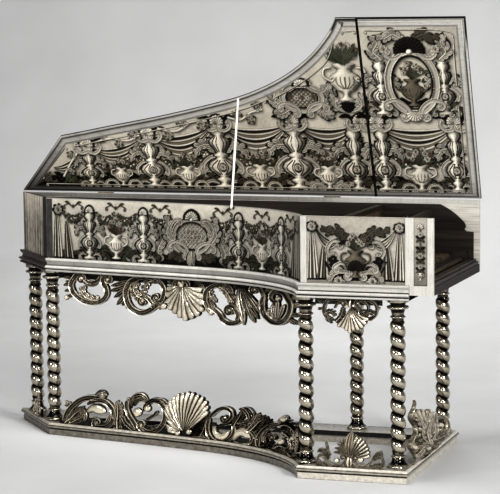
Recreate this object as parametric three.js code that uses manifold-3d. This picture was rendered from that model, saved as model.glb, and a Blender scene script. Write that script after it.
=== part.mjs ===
// A wing-shaped harpsichord on a carved stand, in millimetres, +Z up.
// Plan coordinates used below: u runs along the straight spine from the tail (0) to the keyboard end (LENGTH),
// v runs from the spine (0) to the cheek (WIDTH). X = u - UC, Y = VC - v.
import * as THREE from "three";
import { mergeVertices } from "three/addons/utils/BufferGeometryUtils.js";
import Module from "manifold-3d";

const wasm = await Module();
wasm.setup();

// ---- driving dimensions -------------------------------------------------
const LENGTH = 2000, // case, tail corner of the spine to the keyboard end
  WIDTH = 792, // case, spine to cheek
  UC = 979.06, // centre of the whole object's box along u
  VC = 401, // centre of the whole object's box along v
  GAP = 0.3; // clearance between touching pieces
const TAIL = [220, 258]; // corner between tail and bentside
const BENT = [
  [330, 280], [450, 305], [650, 345], [850, 391], [1050, 445], [1170, 494],
  [1250, 538], [1320, 587], [1380, 640], [1425, 691], [1460, 738],
]; // the bentside's outer face
const CORNER = [1488, WIDTH]; // corner between bentside and cheek
const STAND_END = 1909; // the stand stops short of the case here
const PLINTH_TOP = 50, PLINTH_STEP = 30;
const FRAME_LOW = 688, CASE_LOW = 707, MOULD_TOP = 744, CASE_TOP = 995;
const WALL = 14; // outer case walls
const FLOOR_TOP = 724;
const LID_T = 10, LID_OPEN = 68; // lid board and its angle above the case in the stored pose
const FLAP_U = 1567.5; // where the lid divides
const STICK_R = 5.5, STICK_LEAN = 123.9, STICK_TURN = 3; // prop stick, and how fast it folds away against the lid
const INNER = 20, INNER_WALL = 6, INNER_TOP = 977; // the thin-walled instrument inside the case
const KEY_PITCH = 23.6, LEVER_PITCH = (7 * KEY_PITCH) / 12, NATURALS = 29;
const KEYS_V = (WIDTH - NATURALS * KEY_PITCH) / 2;
const BALANCE_U = 1735, LEVER_LOW = 755, LEVER_TOP = 768, KEY_FRONT = 1940, KEY_BACK = 1575;
const JACK_U = 1590, JACK_TOP = 945;
const SB_LOW = 900, SB_TOP = 903.2; // soundboard
const STRING_Z = 922;

// ---- materials ----------------------------------------------------------
const mat = (color, roughness, metalness = 0) =>
  new THREE.MeshStandardMaterial({ color, roughness, metalness });
const M = {
  gilt: mat(0x8a6b35, 0.42, 0.5),
  dark: mat(0x33261b, 0.55),
  painted: mat(0xcfc6b2, 0.6),
  moulding: mat(0xd9d2c2, 0.5),
  lid: mat(0xa9a08e, 0.6),
  cypress: mat(0x8d6c45, 0.55),
  spruce: mat(0xb98f5c, 0.6),
  walnut: mat(0x4b3523, 0.5),
  boxwood: mat(0xc9a566, 0.45),
  ebony: mat(0x1d1714, 0.4),
  brass: mat(0xb08d4a, 0.35, 0.9),
  steel: mat(0x77777a, 0.35, 0.9),
  ivory: mat(0xe9e2d0, 0.5),
};

// ---- geometry helpers ---------------------------------------------------
// A three.js geometry, placed in the part's frame, as a closed solid.
function solid(geometry) {
  const g = geometry.index ? geometry.toNonIndexed() : geometry.clone();
  g.deleteAttribute("normal");
  g.deleteAttribute("uv");
  const m = mergeVertices(g, 1e-4);
  const tri = new Uint32Array(m.index.array);
  const made = (t) =>
    new wasm.Manifold(
      new wasm.Mesh({ numProp: 3, vertProperties: new Float32Array(m.attributes.position.array), triVerts: t }),
    );
  let s = made(tri);
  if (s.volume() < 0) {
    for (let i = 0; i < tri.length; i += 3) [tri[i + 1], tri[i + 2]] = [tri[i + 2], tri[i + 1]];
    s = made(tri);
  }
  return s;
}
const union = (...parts) => parts.flat().reduce((a, b) => a.add(b));
const X = (u) => u - UC, Y = (v) => VC - v;

function box(u0, u1, v0, v1, z0, z1) {
  const g = new THREE.BoxGeometry(u1 - u0, v1 - v0, z1 - z0);
  g.translate(X((u0 + u1) / 2), Y((v0 + v1) / 2), (z0 + z1) / 2);
  return solid(g);
}
// A plan polygon raised from z0 to z1.
function prism(poly, z0, z1) {
  const shape = new THREE.Shape(poly.map(([u, v]) => new THREE.Vector2(X(u), Y(v))));
  const g = new THREE.ExtrudeGeometry(shape, { depth: z1 - z0, bevelEnabled: false });
  g.translate(0, 0, z0);
  return solid(g);
}
// A turned piece: profile points [radius, z] from the axis at the bottom to the axis at the top.
function turned(u, v, profile, sides) {
  const g = new THREE.LatheGeometry(profile.map(([r, z]) => new THREE.Vector2(r, z)), sides);
  g.rotateX(Math.PI / 2);
  g.translate(X(u), Y(v), 0);
  return solid(g);
}
// A rod between two points given as [u, v, z].
function rod(a, b, r, sides) {
  const A = new THREE.Vector3(X(a[0]), Y(a[1]), a[2]), B = new THREE.Vector3(X(b[0]), Y(b[1]), b[2]);
  const g = new THREE.CylinderGeometry(r, r, A.distanceTo(B), sides);
  g.applyQuaternion(new THREE.Quaternion().setFromUnitVectors(new THREE.Vector3(0, 1, 0), B.clone().sub(A).normalize()));
  g.translate((A.x + B.x) / 2, (A.y + B.y) / 2, (A.z + B.z) / 2);
  return solid(g);
}
// The closed outline moved outwards, edge by edge, by the distances given (negative moves it inwards).
function offset(poly, distances) {
  const n = poly.length, out = [];
  const normal = (i) => {
    const [a, b] = [poly[i], poly[(i + 1) % n]];
    const du = b[0] - a[0], dv = b[1] - a[1], l = Math.hypot(du, dv);
    return [-dv / l, du / l];
  };
  for (let i = 0; i < n; i++) {
    const p = (i + n - 1) % n, n1 = normal(p), n2 = normal(i), d1 = distances[p], d2 = distances[i];
    const det = n1[0] * n2[1] - n1[1] * n2[0];
    if (Math.abs(det) < 1e-6) { out.push([poly[i][0] + n2[0] * d2, poly[i][1] + n2[1] * d2]); continue; }
    const c1 = n1[0] * poly[i][0] + n1[1] * poly[i][1] + d1, c2 = n2[0] * poly[i][0] + n2[1] * poly[i][1] + d2;
    out.push([(c1 * n2[1] - c2 * n1[1]) / det, (n1[0] * c2 - n2[0] * c1) / det]);
  }
  return out;
}
const CASE = [[0, 0], TAIL, ...BENT, CORNER, [LENGTH, WIDTH], [LENGTH, 0]];
const STAND = CASE.map(([u, v]) => [u === LENGTH ? STAND_END : u, v]);
const N = CASE.length, I_TAIL = 1, I_CORNER = 2 + BENT.length, I_CHEEK_END = I_CORNER + 1, I_SPINE_END = I_CORNER + 2;
// Distances for the edges: spine, tail, bentside, cheek, front.
function edges({ spine, tail, bent, cheek, front = 0 }) {
  const d = Array(N).fill(bent);
  d[0] = tail; d[I_CORNER] = cheek; d[I_CHEEK_END] = front; d[I_SPINE_END] = spine;
  return d;
}
const even = (d, front = 0) => edges({ spine: d, tail: d, bent: d, cheek: d, front });
// The strip between two offset outlines, from vertex i to vertex j, kept GAP/2 off both neighbours.
function strip(outer, inner, i, j, gapA = 0.25, gapB = 0.25) {
  const at = (poly, k) => poly[k % N];
  const idx = [];
  for (let k = i; k <= j; k++) idx.push(k);
  const side = (poly) => {
    const pts = idx.map((k) => at(poly, k).slice());
    const shift = (p, q, g) => {
      const l = Math.hypot(q[0] - p[0], q[1] - p[1]);
      p[0] += ((q[0] - p[0]) / l) * g; p[1] += ((q[1] - p[1]) / l) * g;
    };
    shift(pts[0], pts[1], gapA);
    shift(pts[pts.length - 1], pts[pts.length - 2], gapB);
    return pts;
  };
  return [...side(outer), ...side(inner).reverse()];
}
// A board that follows the plan path between stations, with its own top and bottom at each station.
// path: [[u, v], ...]; depth: thickness measured to the inner side; low, high: z at each station.
function board(path, depth, low, high) {
  const n = path.length, ins = path.map((p, i) => {
    const a = path[Math.max(0, i - 1)], b = path[Math.min(n - 1, i + 1)];
    const l = Math.hypot(b[0] - a[0], b[1] - a[1]);
    return [p[0] + ((b[1] - a[1]) / l) * depth, p[1] - ((b[0] - a[0]) / l) * depth];
  });
  const v = [];
  for (let i = 0; i < n; i++) {
    v.push([path[i], low[i]], [path[i], high[i]], [ins[i], high[i]], [ins[i], low[i]]);
  }
  const pos = [], P = (k) => { const [p, z] = v[k]; return [X(p[0]), Y(p[1]), z]; };
  const quad = (a, b, c, d) => pos.push(...P(a), ...P(b), ...P(c), ...P(a), ...P(c), ...P(d));
  for (let i = 0; i + 1 < n; i++)
    for (let k = 0; k < 4; k++) quad(4 * i + k, 4 * i + ((k + 1) % 4), 4 * (i + 1) + ((k + 1) % 4), 4 * (i + 1) + k);
  quad(3, 2, 1, 0);
  const e = 4 * (n - 1);
  quad(e, e + 1, e + 2, e + 3);
  const g = new THREE.BufferGeometry();
  g.setAttribute("position", new THREE.Float32BufferAttribute(pos, 3));
  return solid(g);
}
// The point on the bentside's outer face at u, moved outwards by d.
function bentAt(u, d = 0) {
  const pts = offset(CASE, even(d)).slice(I_TAIL, I_CORNER + 1);
  for (let i = 0; i + 1 < pts.length; i++)
    if (u <= pts[i + 1][0]) {
      const t = (u - pts[i][0]) / (pts[i + 1][0] - pts[i][0]);
      return [u, pts[i][1] + t * (pts[i + 1][1] - pts[i][1])];
    }
  return pts[pts.length - 1];
}

const group = new THREE.Group();
function add(name, shape, material, parent = group) {
  const m = shape.getMesh(), n = m.numProp, p = new Float32Array(m.numVert * 3);
  for (let i = 0; i < m.numVert; i++) p.set(m.vertProperties.subarray(i * n, i * n + 3), i * 3);
  let g = new THREE.BufferGeometry();
  g.setAttribute("position", new THREE.BufferAttribute(p, 3));
  g.setIndex(new THREE.BufferAttribute(new Uint32Array(m.triVerts), 1));
  g = g.toNonIndexed();
  g.computeVertexNormals();
  const mesh = new THREE.Mesh(g, material);
  mesh.name = name;
  parent.add(mesh);
  return mesh;
}

// ---- plinth: five rails, each an upper moulding over a set-back board ----
{
  const out = offset(STAND, edges({ spine: 22, tail: 20, bent: 28, cheek: 32 }));
  const low = offset(STAND, edges({ spine: 16, tail: 14, bent: 22, cheek: 26 }));
  const inn = offset(STAND, edges({ spine: -88, tail: -88, bent: -88, cheek: -88, front: -88 }));
  const rail = (i, j, g0, g1) =>
    union(
      prism(strip(out, inn, i, j, g0, g1), PLINTH_STEP, PLINTH_TOP),
      prism(strip(low, inn, i, j, g0, g1), 0, PLINTH_STEP),
    );
  add("plinth_tail_rail", rail(0, I_TAIL), M.gilt);
  add("plinth_bentside_rail", rail(I_TAIL, I_CORNER), M.gilt);
  const trim = box(STAND_END - 88 - GAP, STAND_END + 40, -60, WIDTH + 60, -1, PLINTH_TOP + 1);
  add("plinth_cheek_rail", rail(I_CORNER, I_CHEEK_END).subtract(trim), M.gilt);
  add("plinth_spine_rail", rail(I_SPINE_END, N).subtract(trim), M.gilt);
  add("plinth_front_rail",
    union(box(STAND_END - 88, STAND_END, -22, WIDTH + 32, PLINTH_STEP, PLINTH_TOP),
      box(STAND_END - 88, STAND_END - 6, -16, WIDTH + 26, 0, PLINTH_STEP)), M.gilt);
}

// ---- six twisted columns ------------------------------------------------
const COLUMNS = {
  column_tail_spine: [63, 36], column_tail_front: [213, 196], column_mid_spine: [1497, 48],
  column_cheek_left: [1492, 742], column_cheek_right: [1852, 745], column_spine_right: [1857, 48],
};
{
  const lo = PLINTH_TOP + GAP, hi = FRAME_LOW - GAP;
  const profile = [[0, lo], [41, lo], [41, lo + 8], [34, lo + 20], [22, lo + 44], [28, lo + 52]];
  const z0 = lo + 58, z1 = hi - 80, lobes = 9;
  for (let k = 0; k < lobes; k++) {
    const s = (z1 - z0) / lobes, z = z0 + k * s;
    profile.push([23, z], [30, z + s / 2]);
  }
  profile.push([23, z1], [30, z1 + 12], [26, z1 + 24], [29, z1 + 44], [40, z1 + 46], [40, z1 + 56], [30, z1 + 62], [41, hi - 10], [41, hi], [0, hi]);
  for (const [name, [u, v]] of Object.entries(COLUMNS)) add(name, turned(u, v, profile, 10), M.gilt);
}

// ---- stand frame with its moulded lip, in which the case sits ------------
{
  const reach = (d) => offset(STAND, edges({ spine: d, tail: d - 4, bent: d, cheek: d }));
  const under = offset(STAND, edges({ spine: -92, tail: -92, bent: -92, cheek: -92, front: -92 }));
  const face = offset(STAND, edges({ spine: GAP, tail: GAP, bent: GAP, cheek: GAP }));
  const rail = (i, j) =>
    union(
      prism(strip(reach(18), under, i, j), FRAME_LOW, CASE_LOW - GAP),
      prism(strip(reach(20), face, i, j), CASE_LOW - GAP, FRAME_LOW + 24),
      prism(strip(reach(13), face, i, j), FRAME_LOW + 24, FRAME_LOW + 42),
      prism(strip(reach(16), face, i, j), FRAME_LOW + 42, MOULD_TOP),
    );
  const trim = box(STAND_END - 92 - GAP, STAND_END + 5, GAP - 0.1, WIDTH - GAP + 0.1, FRAME_LOW - 1, CASE_LOW);
  add("stand_tail_rail", rail(0, I_TAIL), M.dark);
  add("stand_bentside_rail", rail(I_TAIL, I_CORNER), M.moulding);
  add("stand_cheek_rail", rail(I_CORNER, I_CHEEK_END).subtract(trim), M.moulding);
  add("stand_spine_rail", rail(I_SPINE_END, N).subtract(trim), M.dark);
  add("stand_front_rail", box(STAND_END - 92, STAND_END, GAP + 0.4, WIDTH - GAP - 0.4, FRAME_LOW, CASE_LOW - GAP), M.dark);
}

// ---- carved aprons under the mouldings, cresting on the plinth ----------
{
  const span = (u0, u1, n) => Array.from({ length: n + 1 }, (_, i) => u0 + ((u1 - u0) * i) / n);
  const at = (table, u) => {
    for (let i = 0; i + 1 < table.length; i++)
      if (u <= table[i + 1][0]) {
        const t = (u - table[i][0]) / (table[i + 1][0] - table[i][0]);
        return table[i][1] + t * (table[i + 1][1] - table[i][1]);
      }
    return table[table.length - 1][1];
  };
  const top = FRAME_LOW - GAP;
  const ua = span(268, 1436, 20), uc = span(262, 1440, 20);
  const drop = [[268, 110], [400, 128], [497, 122], [580, 108], [664, 150], [723, 105], [784, 117], [873, 168], [964, 105], [996, 135], [1082, 160], [1154, 166], [1199, 149], [1336, 131], [1436, 116]];
  add("apron_bentside", board(ua.map((u) => bentAt(u, -2)), 14, ua.map((u) => top - at(drop, u)), ua.map(() => top)), M.gilt);
  const ub = span(1540, 1805, 8);
  const dropC = [[1540, 60], [1573, 118], [1620, 122], [1672, 132], [1725, 122], [1772, 118], [1805, 60]];
  add("apron_cheek", board(ub.map((u) => [u, WIDTH - 2]), 14, ub.map((u) => top - at(dropC, u)), ub.map(() => top)), M.gilt);
  const low = PLINTH_TOP + GAP;
  const rise = [[262, 70], [373, 107], [480, 143], [560, 100], [663, 48], [783, 100], [884, 179], [983, 128], [1093, 139], [1192, 152], [1368, 148], [1440, 151]];
  add("crest_bentside", board(uc.map((u) => bentAt(u, 12)), 16, uc.map(() => low), uc.map((u) => low + at(rise, u))), M.gilt);
  const riseC = [[1540, 40], [1590, 50], [1640, 100], [1674, 135], [1708, 100], [1758, 50], [1805, 40]];
  add("crest_cheek", board(ub.map((u) => [u, WIDTH + 14]), 16, ub.map(() => low), ub.map((u) => low + at(riseC, u))), M.gilt);
  const vf = span(96, 698, 10);
  const riseF = [[96, 40], [200, 75], [320, 80], [400, 175], [540, 185], [640, 110], [698, 60]];
  add("crest_front", board(vf.slice().reverse().map((v) => [STAND_END - 8, v]), 16, vf.map(() => low), vf.slice().reverse().map((v) => low + at(riseF, v))), M.gilt);
  const vt = span(0, 1, 6);
  const riseT = [[0, 30], [0.3, 55], [0.5, 85], [0.7, 55], [1, 30]];
  const tail = (t) => [68 + 82.4 * t, 92 + 96.6 * t];
  add("crest_tail", board(vt.map(tail), 14, vt.map(() => low), vt.map((t) => low + at(riseT, t))), M.gilt);
}

// ---- outer case ---------------------------------------------------------
const STICK_U = 1110, STICK_V = bentAt(STICK_U)[1] + 12, STICK_Z = 992;
{
  const face = offset(CASE, even(0)), inn = offset(CASE, even(-WALL)), floor = offset(CASE, even(-WALL - GAP, -WALL - GAP));
  add("case_floor", prism(floor, CASE_LOW, FLOOR_TOP), M.dark);
  add("case_tail_wall", prism(strip(face, inn, 0, I_TAIL), CASE_LOW, CASE_TOP), M.dark);
  const ear = (u) => box(u - 2, u + 2, STICK_V - 20, STICK_V + 7, STICK_Z - 9, STICK_Z + 2);
  add("case_bentside_wall",
    union(prism(strip(face, inn, I_TAIL, I_CORNER), CASE_LOW, CASE_TOP), ear(STICK_U - STICK_R - 3), ear(STICK_U + STICK_R + 3)), M.painted);
  add("case_cheek_wall", prism(strip(face, inn, I_CORNER, I_CHEEK_END, 0.25, 0), CASE_LOW, CASE_TOP), M.painted);
  add("case_spine_wall", prism(strip(face, inn, I_SPINE_END, N, 0, 0.25), CASE_LOW, CASE_TOP), M.painted);
  add("case_front_rail", box(LENGTH - WALL, LENGTH, WALL + GAP, WIDTH - WALL - GAP, CASE_LOW, 738), M.dark);
}

// ---- the instrument inside ----------------------------------------------
const IN_V0 = INNER + INNER_WALL + GAP, IN_V1 = WIDTH - INNER - INNER_WALL - GAP;
{
  const END = 1978;
  const inset = CASE.map(([u, v]) => [u === LENGTH ? END : u, v]);
  const o = offset(inset, even(-INNER)), n = offset(inset, even(-INNER - INNER_WALL)), f = offset(inset, even(-INNER - INNER_WALL - GAP));
  const z0 = FLOOR_TOP + GAP;
  add("inner_floor", prism(f, z0, 736), M.cypress);
  add("inner_tail_wall", prism(strip(o, n, 0, I_TAIL), z0, INNER_TOP), M.cypress);
  add("inner_bentside_wall", prism(strip(o, n, I_TAIL, I_CORNER), z0, INNER_TOP), M.cypress);
  // Both long walls step down in a curve beside the keys.
  const cut = [[END + 5, 1010], [1842, 1010], [1842, 977], [1871, 962], [1904, 940], [1925, 921], [1941, 905], [1947, 890],
    [1941, 878], [1949, 870], [END + 5, 868]];
  const shape = new THREE.Shape(cut.map(([u, z]) => new THREE.Vector2(X(u), z)));
  const g = new THREE.ExtrudeGeometry(shape, { depth: 900, bevelEnabled: false });
  g.rotateX(Math.PI / 2);
  g.translate(0, 450, 0);
  const sweep = solid(g);
  add("inner_cheek_wall", prism(strip(o, n, I_CORNER, I_CHEEK_END, 0.25, 0), z0, INNER_TOP).subtract(sweep), M.cypress);
  add("inner_spine_wall", prism(strip(o, n, I_SPINE_END, N, 0, 0.25), z0, INNER_TOP).subtract(sweep), M.cypress);
  add("inner_front_batten", union(box(1960, 1997, INNER, WIDTH - INNER, 738.3, 752).subtract(box(1950, 1979.0, 0, IN_V0, 700, 800)).subtract(box(1950, 1979.0, IN_V1, WIDTH, 700, 800)),
    box(1960, 1988, IN_V0, IN_V1, 751, 761)), M.walnut);
  // Soundboard and what it stands on.
  const sb = f.map(([u, v]) => [Math.min(u, 1571.7), v]);
  const sbPoly = [...sb.slice(0, I_CORNER + 1), [1571.7, IN_V1], [1571.7, IN_V0]];
  const roseU = 1290, roseV = 190, roseR = 52;
  const hole = turned(roseU, roseV, [[0, SB_LOW - 5], [roseR, SB_LOW - 5], [roseR, SB_TOP + 5], [0, SB_TOP + 5]], 24);
  add("soundboard", prism(sbPoly, SB_LOW, SB_TOP).subtract(hole), M.spruce);
  add("rose", union(
    turned(roseU, roseV, [[roseR - 6, SB_LOW - 8], [roseR - GAP, SB_LOW - 8], [roseR - GAP, SB_TOP - 0.4], [roseR - 6, SB_TOP - 0.4], [roseR - 6, SB_LOW - 8]], 24),
    box(roseU - roseR + 2, roseU + roseR - 2, roseV - 4, roseV + 4, SB_LOW - 7, SB_LOW - 4),
    box(roseU - 4, roseU + 4, roseV - roseR + 2, roseV + roseR - 2, SB_LOW - 7, SB_LOW - 4)), M.ivory);
  add("belly_rail", box(1558, 1571.7, IN_V0, IN_V1, 736 + GAP, SB_LOW - GAP), M.cypress);
  add("wrestplank", box(1608, 1800, IN_V0, IN_V1, 862, 905), M.walnut);
}
// Bridge: follows the string lengths from the shortest string by the cheek to the longest by the spine.
const BRIDGE = [[1540, 738], [1500, 690], [1455, 640], [1390, 580], [1325, 530], [1235, 480], [1120, 430], [960, 385], [770, 340], [590, 300], [430, 262], [330, 180], [240, 62]];
add("bridge", board(BRIDGE.slice().reverse(), 9, BRIDGE.map(() => SB_TOP + GAP), BRIDGE.map(() => STRING_Z - GAP)), M.walnut);
add("nut", box(1648, 1656, IN_V0 + 8, IN_V1 - 8, 905 + GAP, STRING_Z - GAP), M.walnut);
const leverV = (i) => KEYS_V + (i + 0.5) * LEVER_PITCH;
{
  const bridgeAt = (v) => {
    for (let i = 0; i + 1 < BRIDGE.length; i++)
      if (v >= BRIDGE[i + 1][1]) {
        const t = (v - BRIDGE[i][1]) / (BRIDGE[i + 1][1] - BRIDGE[i][1]);
        return BRIDGE[i][0] + t * (BRIDGE[i + 1][0] - BRIDGE[i][0]);
      }
    return BRIDGE[BRIDGE.length - 1][0];
  };
  // Each string ends on a hitch just inside the tail or the bentside.
  const wall = offset(CASE, even(-INNER - INNER_WALL)).slice(0, I_CORNER + 1);
  const wallAt = (v) => {
    for (let i = 0; i + 1 < wall.length; i++)
      if (v <= wall[i + 1][1]) {
        const t = (v - wall[i][1]) / (wall[i + 1][1] - wall[i][1]);
        return wall[i][0] + t * (wall[i + 1][0] - wall[i][0]);
      }
    return wall[wall.length - 1][0];
  };
  const s = [box(1690, 1694, KEYS_V, KEYS_V + 49 * LEVER_PITCH, STRING_Z - 1, STRING_Z + 1)];
  const pins = [box(1702, 1786, IN_V0 + 10, IN_V1 - 10, 905 + GAP, 906.5)];
  for (let i = 0; i < 49; i++) {
    const v = leverV(i) - 5.2;
    s.push(box(Math.max(bridgeAt(v) - 70, wallAt(v) + 14), 1691, v - 0.4, v + 0.4, STRING_Z, STRING_Z + 0.8));
    const u = 1712 + (i % 2) * 34 + (i % 4 > 1 ? 8 : 0);
    pins.push(box(u - 1.8, u + 1.8, v - 1.8, v + 1.8, 906, 932));
  }
  add("strings", union(s), M.brass);
  add("tuning_pins", union(pins), M.steel);
}

// ---- keyboard and action ------------------------------------------------
const SHARP = [1, 3, 6, 8, 10];
const isSharp = (i) => SHARP.includes(i % 12);
const naturalIndex = (i) => [0, 0, 1, 1, 2, 3, 3, 4, 4, 5, 5, 6][i % 12] + 7 * Math.floor(i / 12);
const MOVING = { 24: "c", 25: "c_sharp", 26: "d" };
function key(i, low) {
  const v = leverV(i), w = LEVER_PITCH / 2 - 0.55;
  const parts = [box(KEY_BACK, isSharp(i) ? 1893 : 1896, v - w, v + w, low, LEVER_TOP)];
  if (isSharp(i)) parts.push(box(1824, 1892, v - w, v + w, LEVER_TOP - 1, 783));
  else {
    const h = KEYS_V + naturalIndex(i) * KEY_PITCH;
    parts.push(box(1894, KEY_FRONT, h + 0.5, h + KEY_PITCH - 0.5, low, 771));
    parts.push(box(1820, 1896, v - w, v + w, LEVER_TOP - 1, 771));
  }
  return union(parts);
}
const jack = (i, low = LEVER_TOP + GAP) => box(JACK_U - 6, JACK_U + 6, leverV(i) - 2, leverV(i) + 2, low, JACK_TOP);
{
  const fixed = [box(BALANCE_U - 5, BALANCE_U + 5, KEYS_V, KEYS_V + 49 * LEVER_PITCH, LEVER_LOW - 1.4, LEVER_LOW + 0.05)];
  let register = box(1574, 1606, IN_V0, IN_V1, 899, 915);
  for (let i = 0; i < 49; i++) {
    if (MOVING[i]) {
      add("key_" + MOVING[i], key(i, LEVER_LOW + 0.35), isSharp(i) ? M.ebony : M.boxwood);
      add("jack_" + MOVING[i], jack(i), M.walnut);
      const v = leverV(i);
      register = register.subtract(box(JACK_U - 6.5, JACK_U + 6.5, v - 2.5, v + 2.5, 890, 920));
    } else fixed.push(key(i, LEVER_LOW));
  }
  const standing = [];
  for (let i = 0; i < 49; i++) if (!MOVING[i]) standing.push(jack(i));
  add("jack_register", union(register, standing), M.walnut);
  add("keyboard_keys", union(fixed), M.boxwood);
  const f0 = 736 + GAP;
  add("key_frame", union(
    box(1573, 1959, IN_V0, IN_V1, f0, 743),
    box(BALANCE_U - 14, BALANCE_U + 14, IN_V0, IN_V1, 742, LEVER_LOW - 1.7),
    box(1575, 1600, IN_V0, IN_V1, 742, LEVER_LOW - GAP),
    box(1815, 1959, IN_V0, KEYS_V - 0.8, 742, 790),
    box(1815, 1959, KEYS_V + NATURALS * KEY_PITCH + 0.8, IN_V1, 742, 790)), M.walnut);
  add("nameboard", box(1803, 1813, IN_V0, IN_V1, 791, 958), M.cypress);
  add("jack_rail", union(
    box(1575, 1604, IN_V0, IN_V1, 955, 970),
    box(1575, 1604, IN_V0, IN_V0 + 10, 915 + GAP, 956),
    box(1575, 1604, IN_V1 - 10, IN_V1, 915 + GAP, 956)), M.walnut);
}

// ---- lid, flap, hinges and prop stick -----------------------------------
// The lid is drawn shut and turned open about its hinge line on the spine.
{
  const AX_V = -5, AX_Z = CASE_TOP; // hinge line
  const lid = new THREE.Group();
  lid.position.set(0, Y(AX_V), AX_Z);
  lid.rotation.x = -THREE.MathUtils.degToRad(LID_OPEN);
  group.add(lid);
  const z0 = CASE_TOP + GAP, z1 = z0 + LID_T;
  const plan = offset(CASE, edges({ spine: -0.5, tail: 3, bent: 3, cheek: -8, front: 3 }));
  const main = prism(plan, z0, z1).subtract(box(FLAP_U - 0.7, LENGTH + 50, -50, WIDTH + 50, z0 - 5, z1 + 5));
  const flap = prism(plan, z0, z1).subtract(box(-100, FLAP_U + 0.7, -50, WIDTH + 50, z0 - 5, z1 + 5));
  const place = (s) => s.translate([0, -Y(AX_V), -AX_Z]);
  add("main_lid", place(main), M.lid, lid);
  add("front_flap", place(flap), M.lid, lid);
  const hingeZ = z1 + 3.5;
  const flapHinge = (v) => union(box(FLAP_U - 30, FLAP_U - 1.5, v - 30, v + 30, z1 + GAP, z1 + 2.3), rod([FLAP_U, v - 30, hingeZ], [FLAP_U, v + 30, hingeZ], 3.2, 10));
  add("flap_hinge_upper", place(flapHinge(620)), M.brass, lid);
  add("flap_hinge_lower", place(flapHinge(160)), M.brass, lid);
  const spineHinge = (u) => union(box(u - 35, u + 35, -2.3, -GAP, 950, 994), rod([u - 35, AX_V, AX_Z], [u + 35, AX_V, AX_Z], 4, 12));
  add("lid_hinge_tail", spineHinge(380), M.brass);
  add("lid_hinge_front", spineHinge(1380), M.brass);
  // The stick leans back over the case rim to the lid's edge.
  const a = THREE.MathUtils.degToRad(STICK_LEAN), len = 500;
  const foot = [STICK_U, STICK_V, STICK_Z];
  const head = [STICK_U - 62, STICK_V + Math.cos(a) * len, STICK_Z + Math.sin(a) * len];
  add("lid_stick", rod(foot, head, STICK_R - 0.5, 12).add(rod([STICK_U - STICK_R, STICK_V, STICK_Z], [STICK_U + STICK_R, STICK_V, STICK_Z], STICK_R, 12)), M.ivory);
}

export default group;
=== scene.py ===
"""A wing-shaped harpsichord on a carved stand: the looks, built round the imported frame.

Plan coordinates: u runs along the straight spine from the tail to the keyboard end, v from the spine to the cheek,
both in metres. X = u - UC, Y = VC - v, Z up. Every piece rides on a body of the frame.
"""
import math

import bpy
import numpy as np
from mathutils import Matrix, Vector


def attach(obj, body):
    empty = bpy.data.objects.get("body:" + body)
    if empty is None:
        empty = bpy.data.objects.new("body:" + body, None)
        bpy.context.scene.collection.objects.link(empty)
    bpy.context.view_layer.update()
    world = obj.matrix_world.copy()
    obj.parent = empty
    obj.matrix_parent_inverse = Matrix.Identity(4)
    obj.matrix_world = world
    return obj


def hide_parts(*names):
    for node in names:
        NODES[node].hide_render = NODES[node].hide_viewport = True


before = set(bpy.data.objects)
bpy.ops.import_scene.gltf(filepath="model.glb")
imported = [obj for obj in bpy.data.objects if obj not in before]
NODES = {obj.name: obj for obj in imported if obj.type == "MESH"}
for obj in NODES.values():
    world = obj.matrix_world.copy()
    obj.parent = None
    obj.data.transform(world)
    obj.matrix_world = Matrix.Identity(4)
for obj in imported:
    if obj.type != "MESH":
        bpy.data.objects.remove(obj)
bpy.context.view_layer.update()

# ---- the frame's dimensions, in metres -----------------------------------
UC, VC = 0.97906, 0.401
LENGTH, WIDTH = 2.0, 0.792
STAND_END = 1.909
PLINTH_TOP = 0.050
FRAME_LOW, CASE_LOW, MOULD_TOP, CASE_TOP = 0.688, 0.707, 0.744, 0.995
TAIL = (0.220, 0.258)
BENT = [(0.330, 0.280), (0.450, 0.305), (0.650, 0.345), (0.850, 0.391), (1.050, 0.445), (1.170, 0.494),
        (1.250, 0.538), (1.320, 0.587), (1.380, 0.640), (1.425, 0.691), (1.460, 0.738)]
CORNER = (1.488, WIDTH)
FLAP_U = 1.5675
HINGE_Y, HINGE_Z, OPEN = 0.406, 0.995, math.radians(68)
PITCH = 0.0236
LEVER = 7 * PITCH / 12
KEYS_V = (WIDTH - 29 * PITCH) / 2
RNG = np.random.default_rng(7)


def P(u, v, z):
    return (u - UC, VC - v, z)


def PN(uvz):
    """The same for an array of points."""
    uvz = np.asarray(uvz, float)
    return np.stack([uvz[..., 0] - UC, VC - uvz[..., 1], uvz[..., 2]], -1)


def lid_open(pts):
    """Points of the shut lid, in the part's frame, turned open about the hinge line."""
    pts = np.asarray(pts, float)
    dy, dz = pts[..., 1] - HINGE_Y, pts[..., 2] - HINGE_Z
    c, s = math.cos(OPEN), math.sin(OPEN)
    return np.stack([pts[..., 0], HINGE_Y + dy * c + dz * s, HINGE_Z - dy * s + dz * c], -1)


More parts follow.
